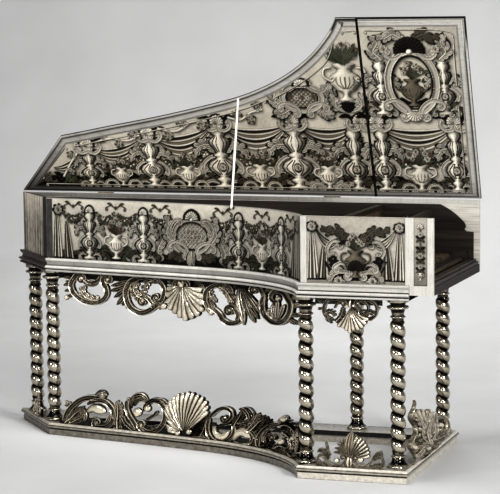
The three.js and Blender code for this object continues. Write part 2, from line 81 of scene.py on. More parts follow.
# ---- outlines ---------------------------------------------------------------
def smooth(points, n):
    """A smooth curve through the points (centripetal Catmull-Rom), resampled evenly."""
    p = np.array(points, float)
    p = np.vstack([2 * p[0] - p[1], p, 2 * p[-1] - p[-2]])
    out = []
    for i in range(1, len(p) - 2):
        p0, p1, p2, p3 = p[i - 1], p[i], p[i + 1], p[i + 2]
        t0 = 0.0
        t1 = t0 + max(np.linalg.norm(p1 - p0), 1e-9) ** 0.5
        t2 = t1 + max(np.linalg.norm(p2 - p1), 1e-9) ** 0.5
        t3 = t2 + max(np.linalg.norm(p3 - p2), 1e-9) ** 0.5
        t = np.linspace(t1, t2, 12, endpoint=False)[:, None]
        a1 = (t1 - t) / (t1 - t0) * p0 + (t - t0) / (t1 - t0) * p1
        a2 = (t2 - t) / (t2 - t1) * p1 + (t - t1) / (t2 - t1) * p2
        a3 = (t3 - t) / (t3 - t2) * p2 + (t - t2) / (t3 - t2) * p3
        b1 = (t2 - t) / (t2 - t0) * a1 + (t - t0) / (t2 - t0) * a2
        b2 = (t3 - t) / (t3 - t1) * a2 + (t - t1) / (t3 - t1) * a3
        out.append((t2 - t) / (t2 - t1) * b1 + (t - t1) / (t2 - t1) * b2)
    out.append(p[-2][None])
    return resample(np.vstack(out), n)


def resample(path, n):
    d = np.r_[0, np.cumsum(np.linalg.norm(np.diff(path, axis=0), axis=1))]
    s = np.linspace(0, d[-1], n)
    return np.stack([np.interp(s, d, path[:, k]) for k in range(path.shape[1])], 1)


NB = 120
BENT_PATH = smooth([TAIL, *BENT, CORNER], NB)
I_TAIL, I_CORNER = 1, NB
OUTLINE = np.vstack([[(0.0, 0.0)], BENT_PATH, [(LENGTH, WIDTH), (LENGTH, 0.0)]])
NV = len(OUTLINE)


def distances(spine, tail, bent, cheek, front=0.0):
    d = np.full(NV, float(bent))
    d[0], d[I_CORNER], d[I_CORNER + 1], d[I_CORNER + 2] = tail, cheek, front, spine
    return d


def offset(poly, dist):
    """The closed outline moved outwards edge by edge."""
    nxt = np.roll(poly, -1, 0)
    e = nxt - poly
    nrm = np.stack([-e[:, 1], e[:, 0]], 1) / np.linalg.norm(e, axis=1)[:, None]
    n1, n2 = np.roll(nrm, 1, 0), nrm
    d1, d2 = np.roll(dist, 1), dist
    det = n1[:, 0] * n2[:, 1] - n1[:, 1] * n2[:, 0]
    c1 = (n1 * poly).sum(1) + d1
    c2 = (n2 * poly).sum(1) + d2
    flat = np.abs(det) < 1e-4
    safe = np.where(flat, 1, det)
    out = np.stack([(c1 * n2[:, 1] - c2 * n1[:, 1]) / safe, (n1[:, 0] * c2 - n2[:, 0] * c1) / safe], 1)
    out[flat] = (poly + (n2 * d2[:, None]))[flat]
    return out


def outline(end=LENGTH, **d):
    o = OUTLINE.copy()
    o[I_CORNER + 1, 0] = o[I_CORNER + 2, 0] = end
    return offset(o, distances(**d))


# The bentside's arc length, and its point and outward normal at an arc position.
_e = np.diff(BENT_PATH, axis=0)
BENT_S = np.r_[0, np.cumsum(np.linalg.norm(_e, axis=1))]
_n = np.stack([-_e[:, 1], _e[:, 0]], 1) / np.linalg.norm(_e, axis=1)[:, None]
BENT_N = np.vstack([_n[0], (_n[:-1] + _n[1:]) / 2, _n[-1]])
BENT_N /= np.linalg.norm(BENT_N, axis=1)[:, None]


def bent_map(x, y, h, out=0.0):
    """Ornament coordinates (arc length, height, relief) on the bentside's face moved out by out."""
    x, y, h = np.broadcast_arrays(x, y, h)
    q = np.stack([np.interp(x, BENT_S, BENT_PATH[:, k]) for k in (0, 1)], -1)
    # past the ends the face goes on straight
    lo, hi = np.minimum(x, 0), np.maximum(x - BENT_S[-1], 0)
    t0, t1 = _e[0] / np.linalg.norm(_e[0]), _e[-1] / np.linalg.norm(_e[-1])
    q = q + lo[..., None] * t0 + hi[..., None] * t1
    n = np.stack([np.interp(x, BENT_S, BENT_N[:, k]) for k in (0, 1)], -1)
    q = q + n * (h + out)[..., None]
    return PN(np.concatenate([q, np.asarray(y)[..., None]], -1))


def line_map(a, b, out=0.0):
    """The same on an upright plane through plan points a and b, relief to the left of a to b in (u, v)."""
    a, b = np.array(a, float), np.array(b, float)
    t = (b - a) / np.linalg.norm(b - a)
    n = np.array([-t[1], t[0]])

    def f(x, y, h):
        x, y, h = np.broadcast_arrays(x, y, h)
        q = a + x[..., None] * t + (h + out)[..., None] * n
        return PN(np.concatenate([q, np.asarray(y)[..., None]], -1))
    return f


# ---- camera -----------------------------------------------------------------
CAM = np.array([2.89907, -8.11963, 1.76161])
CAM_D = np.array([-0.31572558, 0.94262757, -0.1084925])
CAM_R = np.array([0.94852184, 0.31655567, -0.00994081])
CAM_U = np.array([-0.02497344, 0.10604607, 0.99404756])
FOCAL = 2171.64

camera = bpy.data.objects.new("camera", bpy.data.cameras.new("camera"))
bpy.context.scene.collection.objects.link(camera)
m = Matrix.Identity(4)
for i in range(3):
    m[i][0], m[i][1], m[i][2], m[i][3] = CAM_R[i], CAM_U[i], -CAM_D[i], CAM[i]
camera.matrix_world = m
camera.data.sensor_width = 36.0
camera.data.lens = FOCAL * 36.0 / 500.0
camera.data.clip_start, camera.data.clip_end = 0.1, 60.0
bpy.context.scene.camera = camera


def ray(px, py):
    return CAM, CAM_D + CAM_R * (px - 250) / FOCAL - CAM_U * (py - 247) / FOCAL


def on_bent(px, py, out=0.0):
    """Arc position and height where a line of sight meets the bentside's face moved out by out."""
    o, d = ray(px, py)
    best = None
    for i in range(NB - 1):
        a = BENT_PATH[i] + BENT_N[i] * out
        b = BENT_PATH[i + 1] + BENT_N[i + 1] * out
        a, b = PN([a[0], a[1], 0])[:2], PN([b[0], b[1], 0])[:2]
        e = b - a
        det = d[0] * -e[1] + e[0] * d[1]
        if abs(det) < 1e-9:
            continue
        r = a - o[:2]
        t = (r[0] * -e[1] + e[0] * r[1]) / det
        s = (d[0] * r[1] - d[1] * r[0]) / det
        miss = max(0.0, -s if i else 0.0, s - 1 if i < NB - 2 else 0.0)
        if best is None or miss < best[2] - 1e-6:
            best = (BENT_S[i] + s * (BENT_S[i + 1] - BENT_S[i]), o[2] + t * d[2], miss)
    return best[0], best[1]


def on_line(px, py, a, b, out=0.0):
    """Position along a to b and height where a line of sight meets that upright plane moved left by out."""
    o, d = ray(px, py)
    a, b = np.array(a, float), np.array(b, float)
    t = (b - a) / np.linalg.norm(b - a)
    n = np.array([-t[1], t[0]])
    a = a + n * out
    A = np.array([a[0] - UC, VC - a[1]])
    nn = np.array([n[0], -n[1]])
    k = (nn @ (A - o[:2])) / (nn @ d[:2])
    q = o + k * d
    return (np.array([q[0] + UC, VC - q[1]]) - a) @ t, q[2]


# ---- meshes -----------------------------------------------------------------
class Mesh:
    """Collects closed shells with a colour (value 0..1 or rgb) and a height mark at each vertex."""

    def __init__(self):
        self.v, self.f, self.c, self.n = [], [], [], 0

    def add(self, verts, faces, colour=1.0):
        verts = np.asarray(verts, float).reshape(-1, 3)
        c = np.asarray(colour, float)
        if c.ndim == 0:
            c = np.full((len(verts), 3), float(c))
        elif c.shape == (3,):
            c = np.tile(c, (len(verts), 1))
        elif c.ndim == 1:
            c = np.repeat(c[:, None], 3, 1)
        self.v.append(verts)
        self.c.append(c)
        self.f.extend([tuple(int(i) + self.n for i in f) for f in faces])
        self.n += len(verts)

    def add_quads(self, verts, quads, colour=1.0, extra=()):
        self.add(verts, [tuple(q) for q in np.asarray(quads).tolist()] + [tuple(e) for e in extra], colour)


def make(name, mesh, material, body="root", replaces=(), smooth_angle=35.0, bevel=0.0, bevel_angle=40.0):
    me = bpy.data.meshes.new(name)
    v = np.vstack(mesh.v)
    me.from_pydata([], [], [])
    nv, nf = len(v), len(mesh.f)
    lengths = np.array([len(f) for f in mesh.f], np.int32)
    loops = np.array([i for f in mesh.f for i in f], np.int32)
    me.vertices.add(nv)
    me.vertices.foreach_set("co", v.astype(np.float32).ravel())
    me.loops.add(len(loops))
    me.loops.foreach_set("vertex_index", loops)
    me.polygons.add(nf)
    me.polygons.foreach_set("loop_start", np.r_[0, np.cumsum(lengths)[:-1]].astype(np.int32))
    me.polygons.foreach_set("loop_total", lengths)
    me.update(calc_edges=True)
    me.validate()
    attr = me.color_attributes.new("paint", "FLOAT_COLOR", "POINT")
    c = np.vstack(mesh.c)
    c = np.hstack([c, np.ones((len(c), 1))]).astype(np.float32)
    if len(me.vertices) == len(c):
        attr.data.foreach_set("color", c.ravel())
    o = bpy.data.objects.new(name, me)
    bpy.context.scene.collection.objects.link(o)
    fix_normals(me)
    if bevel:
        b = o.modifiers.new("bevel", "BEVEL")
        b.width, b.segments, b.limit_method, b.angle_limit = bevel, 2, "ANGLE", math.radians(bevel_angle)
        b.harden_normals = False
        dg = bpy.context.evaluated_depsgraph_get()
        new = bpy.data.meshes.new_from_object(o.evaluated_get(dg))
        o.modifiers.clear()
        o.data = new
        me = new
        me.name = name
    if smooth_angle:
        me.polygons.foreach_set("use_smooth", np.ones(len(me.polygons), bool))
        me.set_sharp_from_angle(angle=math.radians(smooth_angle))
    me.materials.clear()
    me.materials.append(material)
    for n in replaces:
        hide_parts(n)
    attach(o, body)
    return o


def fix_normals(me):
    import bmesh
    bm = bmesh.new()
    bm.from_mesh(me)
    bmesh.ops.recalc_face_normals(bm, faces=bm.faces)
    bm.to_mesh(me)
    bm.free()


def rings(mesh, grid, colour=1.0, cap=True, closed=True):
    """A closed skin over grid[i][j]: ring j of each section i closes on itself, and the end sections are capped."""
    g = np.asarray(grid, float)
    n, k = g.shape[:2]
    idx = np.arange(n * k).reshape(n, k)
    a, b = idx[:-1], idx[1:]
    a2, b2 = np.roll(a, -1, 1), np.roll(b, -1, 1)
    if not closed:
        a, b, a2, b2 = a[:, :-1], b[:, :-1], a2[:, :-1], b2[:, :-1]
    quads = np.stack([a, a2, b2, b], -1).reshape(-1, 4)
    extra = [tuple(idx[0][::-1]), tuple(idx[-1])] if cap else []
    c = np.asarray(colour, float)
    if c.ndim == 2 and c.shape == (n, k):
        c = c.ravel()
    elif c.ndim == 3:
        c = c.reshape(-1, 3)
    elif c.ndim == 1 and c.shape == (k,):
        c = np.tile(c, n)
    elif c.ndim == 2 and c.shape == (k, 3):
        c = np.tile(c, (n, 1))
    mesh.add_quads(g.reshape(-1, 3), quads, c, extra)


def part(i, j, end=LENGTH, trim=None, scale=None, **base):
    """The run of the outline from vertex i to j, as a function of an extra offset; scale weights that offset edge by edge."""
    scale = scale or {}

    def f(d):
        o = outline(end=end, **{k: w + d * scale.get(k, 1.0) for k, w in base.items()})
        pts = o[[k % NV for k in range(i, j + 1)]]
        if trim is not None:
            pts[:, 0] = np.minimum(pts[:, 0], trim)
        return pts
    return f


def sweep(name, material, profile, path, colours=None, body="root", replaces=(), xf=None, smooth_angle=32.0):
    """A closed profile of (extra offset, z) carried along a path given as a function of the offset."""
    g = PN(np.stack([np.hstack([path(d), np.full((len(path(d)), 1), z)]) for d, z in profile], 1))
    if xf is not None:
        g = xf(g)
    m = Mesh()
    rings(m, g, 1.0 if colours is None else np.asarray(colours, float))
    return make(name, m, material, body, replaces, smooth_angle=smooth_angle)


def slab(mesh, u0, u1, v0, v1, z0, z1, colour=1.0):
    p = [P(u, v, z) for u in (u0, u1) for v in (v0, v1) for z in (z0, z1)]
    mesh.add(p, [(0, 1, 3, 2), (4, 6, 7, 5), (0, 4, 5, 1), (2, 3, 7, 6), (0, 2, 6, 4), (1, 5, 7, 3)], colour)


def turned(mesh, centre, profile, sides=32, colour=1.0):
    """profile: [(radius, z)] from the axis at the bottom to the axis at the top."""
    a = np.arange(sides) * 2 * math.pi / sides
    rows = [(r, z) for r, z in profile if r > 1e-9]
    g = np.array([[(centre[0] + r * math.cos(t), centre[1] + r * math.sin(t), z) for t in a] for r, z in rows])
    rings(mesh, g, colour)


def curve_profile(points, n=6):
    """Points with rounded runs between them: items are (d, z), or ('arc', (d, z), bulge) to reach the point on an arc."""
    out = []
    for p in points:
        if p[0] == "arc":
            a, b, k = np.array(out[-1]), np.array(p[1]), p[2]
            mid, dirn = (a + b) / 2, b - a
            nrm = np.array([dirn[1], -dirn[0]])
            for t in np.linspace(0, 1, n + 1)[1:]:
                out.append(tuple(a + dirn * t + nrm * k * 4 * t * (1 - t)))
        else:
            out.append(tuple(p))
    return out


# ---- materials --------------------------------------------------------------
class Nodes:
    """A small builder for one material's nodes."""

    def __init__(self, name):
        self.m = bpy.data.materials.new(name)
        self.m.use_nodes = True
        self.t = self.m.node_tree
        self.b = next(n for n in self.t.nodes if n.type == "BSDF_PRINCIPLED")
        self.co = self.add("ShaderNodeTexCoord").outputs["Object"]

    def add(self, kind, inputs=None, **props):
        n = self.t.nodes.new(kind)
        for k, v in props.items():
            setattr(n, k, v)
        for k, v in (inputs or {}).items():
            if isinstance(v, bpy.types.NodeSocket):
                self.t.links.new(v, n.inputs[k])
            else:
                n.inputs[k].default_value = v
        return n

    def link(self, a, b):
        self.t.links.new(a, b)

    def noise(self, scale, size, detail=5.0, rough=0.55, distortion=0.0):
        """Noise whose grain has the given scale along each axis, in features per metre."""
        mp = self.add("ShaderNodeMapping", {"Vector": self.co, "Scale": tuple(size)})
        return self.add("ShaderNodeTexNoise", {"Vector": mp.outputs[0], "Scale": scale, "Detail": detail, "Roughness": rough,
                                              "Distortion": distortion}).outputs["Fac"]

    def ramp(self, fac, stops):
        r = self.add("ShaderNodeValToRGB", {"Fac": fac})
        e = r.color_ramp.elements
        while len(e) < len(stops):
            e.new(0.5)
        for el, (pos, c) in zip(e, stops):
            el.position = pos
            el.color = (*(c if hasattr(c, "__len__") else (c, c, c)), 1.0)
        return r.outputs["Color"]

    def mix(self, kind, fac, a, b):
        n = self.add("ShaderNodeMix", data_type="RGBA", blend_type=kind)
        for sock, v in ((n.inputs[0], fac), (n.inputs[6], a), (n.inputs[7], b)):
            if isinstance(v, bpy.types.NodeSocket):
                self.link(v, sock)
            else:
                sock.default_value = v if not hasattr(v, "__len__") or len(v) == 4 else (*v, 1.0)
        return n.outputs[2]

    def range(self, value, a0, a1, b0, b1):
        return self.add("ShaderNodeMapRange", {0: value, 1: a0, 2: a1, 3: b0, 4: b1}).outputs[0]

    def bump(self, height, strength, distance):
        n = self.add("ShaderNodeBump", {"Height": height, "Strength": strength, "Distance": distance})
        self.link(n.outputs[0], self.b.inputs["Normal"])

    def attribute(self, name="paint"):
        return self.add("ShaderNodeAttribute", attribute_name=name).outputs["Color"]

    def base(self, colour):
        self.link(colour, self.b.inputs["Base Color"])

    def rough(self, value):
        self.link(value, self.b.inputs["Roughness"])


def wood(name, dark, light, axis, rough=(0.35, 0.55), grain=70.0, metallic=0.0, coat=0.0, bump=0.25, wear=None):
    """Straight-grained wood, the grain running along axis 0, 1 or 2."""
    k = Nodes(name)
    size = [1.0, 1.0, 1.0]
    size[axis] = 0.045
    fine = k.noise(grain * 4, size, 6.0, 0.62)
    broad = k.noise(grain * 0.55, size, 3.0, 0.5, 0.4)
    blotch = k.noise(3.5, (1, 1, 1), 3.0, 0.5)
    mid = [(a + b) / 2 for a, b in zip(dark, light)]
    c = k.ramp(broad, [(0.30, dark), (0.5, mid), (0.72, light)])
    f = k.ramp(fine, [(0.32, 0.45), (0.52, 1.0), (0.8, 1.12)])
    c = k.mix("MULTIPLY", 0.85, c, f)
    c = k.mix("MULTIPLY", 0.8, c, k.ramp(blotch, [(0.28, 0.62), (0.6, 1.1)]))
    k.base(c)
    k.rough(k.range(fine, 0.3, 0.75, rough[1], rough[0]))
    k.b.inputs["Metallic"].default_value = metallic
    k.b.inputs["Coat Weight"].default_value = coat
    k.b.inputs["Coat Roughness"].default_value = 0.18
    k.bump(fine, bump, 0.0006)
    return k.m


def paint(name, rough=(0.42, 0.66), streak=None, dirt=0.6, coat=0.0, tint=(1.0, 0.965, 0.89), bump=0.35, crackle=0.35):
    """Old paint or gesso: the painted colour, mottled, with dirt, hair cracks and brush marks."""
    k = Nodes(name)
    c = k.mix("MULTIPLY", 1.0, k.attribute(), tint)
    mottle = k.noise(14, (1, 1, 1), 6.0, 0.6)
    fine = k.noise(220, streak or (1, 1, 1), 4.0, 0.6)
    c = k.mix("MULTIPLY", dirt, c, k.ramp(mottle, [(0.25, 0.62), (0.48, 0.97), (0.75, 1.06)]))
    c = k.mix("MULTIPLY", 0.55, c, k.ramp(fine, [(0.28, 0.6), (0.5, 1.0), (0.8, 1.1)]))
    vo = k.add("ShaderNodeTexVoronoi", {"Vector": k.co, "Scale": 95.0}, feature="DISTANCE_TO_EDGE")
    crack = k.ramp(vo.outputs["Distance"], [(0.0, 0.35), (0.035, 1.0)])
    c = k.mix("MULTIPLY", crackle, c, crack)
    k.base(c)
    k.rough(k.range(mottle, 0.3, 0.7, rough[1], rough[0]))
    k.b.inputs["Specular IOR Level"].default_value = 0.12
    k.b.inputs["Coat Weight"].default_value = coat
    k.b.inputs["Coat Roughness"].default_value = 0.25
    k.bump(fine, bump, 0.0004)
    return k.m


def gilt(name, low=(0.004, 0.0034, 0.0026), mid=(0.075, 0.062, 0.042), high=(0.82, 0.74, 0.60), rough=(0.16, 0.36), metallic=0.6, shift=0.0):
    """Worn dark gilding: the mark at each vertex says how proud the carving stands; it sets the wear and also paints
    the hollows dark and the proud parts light, painted shade and painted highlight.
    """
    k = Nodes(name)
    mark = k.attribute()
    n = k.noise(60, (1, 1, 1), 6.0, 0.6)
    fine = k.noise(420, (1, 1, 1), 3.0, 0.6)
    f = k.mix("ADD", 1.0, mark, k.ramp(n, [(0.3, -0.0), (0.7, 0.22)]))
    bw = k.add("ShaderNodeRGBToBW", {0: f}).outputs[0]
    # the mark's ramp: near black in the hollows, light on the proud parts (painted shade and painted highlight)
    c = k.ramp(bw, [(0.14 + shift, low), (0.42 + shift, mid), (0.66, [h * 0.5 for h in high]), (0.95, high)])
    c = k.mix("MULTIPLY", 0.5, c, k.ramp(fine, [(0.3, 0.55), (0.6, 1.1)]))
    k.base(c)
    k.rough(k.range(n, 0.3, 0.7, rough[1], rough[0]))
    k.b.inputs["Metallic"].default_value = metallic
    k.b.inputs["Coat Weight"].default_value = 0.35
    k.b.inputs["Coat Roughness"].default_value = 0.12
    k.bump(n, 0.25, 0.0012)
    return k.m


def metal(name, dark, light, rough=(0.25, 0.45)):
    k = Nodes(name)
    n = k.noise(45, (1, 1, 1), 5.0, 0.6)
    k.base(k.ramp(n, [(0.3, dark), (0.65, light)]))
    k.rough(k.range(n, 0.3, 0.7, rough[1], rough[0]))
    k.b.inputs["Metallic"].default_value = 0.95
    k.bump(n, 0.15, 0.0005)
    return k.m


M_GILT = gilt("gilt_carved")
M_TWIST = gilt("gilt_twisted", high=(0.54, 0.49, 0.40), rough=(0.10, 0.22), metallic=0.86, shift=0.16)
M_PLINTH = gilt("gilt_plinth", low=(0.004, 0.0035, 0.003), mid=(0.13, 0.115, 0.09), high=(0.66, 0.61, 0.52), rough=(0.28, 0.5), metallic=0.2)
# a lighter copy of the plinth gilding for the cheek and front sides: painted light
M_PLINTH_LIT = gilt("gilt_plinth_lit", low=(0.004, 0.0035, 0.003), mid=(0.17, 0.155, 0.125), high=(0.74, 0.69, 0.60), rough=(0.32, 0.5), metallic=0.12)
M_PANEL = paint("painted_panel")
M_LID = paint("painted_lid", rough=(0.42, 0.62), dirt=0.22, crackle=0.10)
M_MOULD = paint("painted_moulding", streak=(0.25, 0.25, 3.0), dirt=0.7)
M_STILE = paint("painted_stile", streak=(1, 1, 0.08), dirt=0.45)
M_BORDER = paint("painted_border", streak=(0.15, 1, 1), dirt=0.75)
M_DARK_Z = wood("dark_wood_upright", (0.018, 0.014, 0.010), (0.115, 0.088, 0.064), 2, coat=0.2)
M_DARK_X = wood("dark_wood_long", (0.014, 0.011, 0.008), (0.085, 0.064, 0.046), 0, coat=0.2)
# the two front rails at the keyboard end are near-black wood: painted shade under the case and keys
M_RAIL_SHADE = wood("rail_wood_shade", (0.004, 0.0032, 0.0025), (0.026, 0.020, 0.015), 1, rough=(0.5, 0.7), coat=0.05)
M_DARK_Y = wood("dark_wood_cross", (0.014, 0.011, 0.008), (0.085, 0.064, 0.046), 1, coat=0.2)
M_BACK = wood("stained_back", (0.07, 0.055, 0.040), (0.20, 0.155, 0.11), 0, rough=(0.42, 0.62))
M_INSIDE = wood("pale_inside", (0.42, 0.39, 0.34), (0.60, 0.57, 0.51), 0, rough=(0.42, 0.6), grain=40)
# the inner walls, nameboard and key frame are near-black wood: painted shade inside the case and keywell
M_INNER_SHADE = wood("inner_wood_shade_long", (0.006, 0.0045, 0.0035), (0.040, 0.030, 0.022), 0, rough=(0.34, 0.55))
M_INNER_SHADE_Y = wood("inner_wood_shade_cross", (0.006, 0.0045, 0.0035), (0.040, 0.030, 0.022), 1, rough=(0.34, 0.55))
M_CYPRESS = wood("cypress_long", (0.10, 0.066, 0.038), (0.30, 0.215, 0.135), 0, rough=(0.35, 0.55))
M_CYPRESS_Y = wood("cypress_cross", (0.10, 0.066, 0.038), (0.30, 0.215, 0.135), 1, rough=(0.35, 0.55))
M_SPRUCE = wood("soundboard_wood", (0.27, 0.185, 0.105), (0.46, 0.34, 0.215), 0, rough=(0.35, 0.5), grain=120, coat=0.2)
M_WALNUT = wood("walnut_cross", (0.014, 0.010, 0.007), (0.060, 0.042, 0.028), 1, rough=(0.3, 0.5))
M_WALNUT_Z = wood("walnut_upright", (0.035, 0.023, 0.014), (0.16, 0.108, 0.068), 2, rough=(0.35, 0.55), grain=160)
M_BOX = wood("boxwood", (0.40, 0.305, 0.18), (0.66, 0.54, 0.36), 0, rough=(0.24, 0.42), grain=110, coat=0.2)
M_KEYWOOD = wood("key_wood", (0.035, 0.025, 0.016), (0.12, 0.088, 0.055), 0, rough=(0.28, 0.46), grain=110, coat=0.15)
M_EBONY = wood("ebony", (0.008, 0.007, 0.006), (0.040, 0.032, 0.026), 0, rough=(0.2, 0.36), grain=150, coat=0.3)
M_BRASS = metal("aged_brass", (0.07, 0.050, 0.026), (0.24, 0.18, 0.10))
M_WIRE = metal("brass_wire", (0.45, 0.36, 0.20), (0.74, 0.62, 0.40), (0.2, 0.32))
M_IRON = metal("drawn_iron", (0.13, 0.125, 0.12), (0.34, 0.335, 0.33))
M_PARCHMENT = wood("parchment", (0.50, 0.42, 0.28), (0.76, 0.68, 0.52), 1, rough=(0.5, 0.7), grain=30)
M_IVORY = paint("ivory_paint", streak=(1, 1, 0.05), dirt=0.25, crackle=0.2)

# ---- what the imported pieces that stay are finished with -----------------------
for node, material in {
    "stand_front_rail": M_RAIL_SHADE, "case_floor": M_DARK_X, "case_tail_wall": M_DARK_Z, "case_front_rail": M_RAIL_SHADE,
    "case_spine_wall": M_INSIDE, "case_cheek_wall": M_INSIDE,
    "lid_hinge_tail": M_BRASS, "lid_hinge_front": M_BRASS, "flap_hinge_upper": M_BRASS, "flap_hinge_lower": M_BRASS,
    "inner_floor": M_CYPRESS, "inner_spine_wall": M_INNER_SHADE, "inner_cheek_wall": M_INNER_SHADE, "inner_tail_wall": M_INNER_SHADE_Y,
    "inner_bentside_wall": M_INNER_SHADE, "inner_front_batten": M_INNER_SHADE_Y, "belly_rail": M_CYPRESS_Y, "soundboard": M_SPRUCE,
    "wrestplank": M_WALNUT, "jack_rail": M_WALNUT, "key_frame": M_INNER_SHADE_Y, "nameboard": M_INNER_SHADE_Y, "nut": M_WALNUT,
    "bridge": M_WALNUT, "rose": M_PARCHMENT, "tuning_pins": M_IRON, "strings": M_WIRE, "jack_register": M_WALNUT,
    "keyboard_keys": M_EBONY, "key_c": M_EBONY, "key_c_sharp": M_EBONY, "key_d": M_EBONY, "jack_c": M_WALNUT_Z,
    "jack_c_sharp": M_WALNUT_Z, "jack_d": M_WALNUT_Z, "lid_stick": M_IVORY,
}.items():
    o = NODES[node]
    o.data.materials.clear()
    o.data.materials.append(material)

# ---- plinth -----------------------------------------------------------------
PLINTH_BASE = dict(spine=0.022, tail=0.020, bent=0.028, cheek=0.032)
plinth_profile = curve_profile([
    (-0.114, 0.0), (-0.0095, 0.0), (-0.008, 0.0015), (-0.008, 0.0235), (-0.0165, 0.0245), (-0.0165, 0.0300), (-0.0015, 0.0308),
    (0.0, 0.0325), (0.0, 0.0375), (-0.0025, 0.0385), (-0.0025, 0.0400), ("arc", (-0.011, 0.050), 0.22), (-0.016, 0.0495),
    (-0.017, 0.050), (-0.100, 0.050), (-0.114, 0.0495)])


# Colours down the plinth's profile, with painted light and shade: the undercut is painted black, the small steps and
# the underside dark, the rounded nose light; low and high set the lower board and the upper faces, lighter on the cheek
# and front than on the tail and bentside.
def plinth_tone(low, high=1.0):
    return [0.25 if z < 0.001 else low if z < 0.0240 else 0.0 if z < 0.0304 else 0.55 * high if z < 0.0384 else 0.15 if z < 0.0401 else 0.80 * high
            if d > -0.0115 else 0.35 if d > -0.0175 else 0.55 * high for d, z in plinth_profile]



trim_u = STAND_END - 0.0883
sweep("plinth_tail_rail_board", M_PLINTH, plinth_profile, part(0, 1, STAND_END, **PLINTH_BASE), plinth_tone(0.30, 0.8), replaces=["plinth_tail_rail"])
sweep("plinth_bentside_rail_board", M_PLINTH, plinth_profile, part(1, I_CORNER, STAND_END, **PLINTH_BASE), plinth_tone(0.40, 0.86), replaces=["plinth_bentside_rail"])
sweep("plinth_cheek_rail_board", M_PLINTH_LIT, plinth_profile, part(I_CORNER, I_CORNER + 1, STAND_END, trim=trim_u, **PLINTH_BASE), plinth_tone(0.70, 0.90), replaces=["plinth_cheek_rail"])
spine_plinth = curve_profile([
    (-0.140, 0.0), (-0.0095, 0.0), (-0.008, 0.0015), (-0.008, 0.0235), (-0.0165, 0.0245), (-0.0165, 0.0300), (-0.0015, 0.0308),
    (0.0, 0.0325), (0.0, 0.0375), (-0.0025, 0.0385), (-0.0025, 0.0400), ("arc", (-0.011, 0.050), 0.22), (-0.016, 0.0495),
    (-0.017, 0.050), (-0.1490, 0.050), (-0.1500, 0.0490), (-0.1500, 0.0305), (-0.1410, 0.0300), (-0.1400, 0.0290)])
# the spine board's inner edge, under the case, is painted black, as is the undercut: painted shade
spine_plinth_tone = [(0.62 if z < 0.0299 else 0.0 if z < 0.0495 else 0.55) if d < -0.1395 else
                     0.55 if z < 0.0240 else 0.0 if z < 0.0304 else 0.55 if z < 0.0384 else 0.15 if z < 0.0401 else 0.8 if d > -0.0115 else 0.35 if d > -0.0175 else 0.55
                     for d, z in spine_plinth]
sweep("plinth_spine_rail_board", M_PLINTH, spine_plinth, part(I_CORNER + 2, NV, STAND_END, trim=trim_u, **PLINTH_BASE), spine_plinth_tone, replaces=["plinth_spine_rail"])
front_profile = [(max(d, -0.0875), z) for d, z in plinth_profile]


def front_path(d):
    a = trim_u + 0.0003
    return np.array([(a, WIDTH + 0.032 + d), (STAND_END + d, WIDTH + 0.032 + d), (STAND_END + d, -0.022 - d), (a, -0.022 - d)])


sweep("plinth_front_rail_board", M_PLINTH_LIT, front_profile, front_path, plinth_tone(0.70, 0.90), replaces=["plinth_front_rail"])

# ---- twisted columns --------------------------------------------------------
COLUMNS = {"column_tail_spine": (0.063, 0.036), "column_tail_front": (0.213, 0.196), "column_mid_spine": (1.497, 0.048),
           "column_cheek_left": (1.492, 0.742), "column_cheek_right": (1.852, 0.745), "column_spine_right": (1.857, 0.048)}


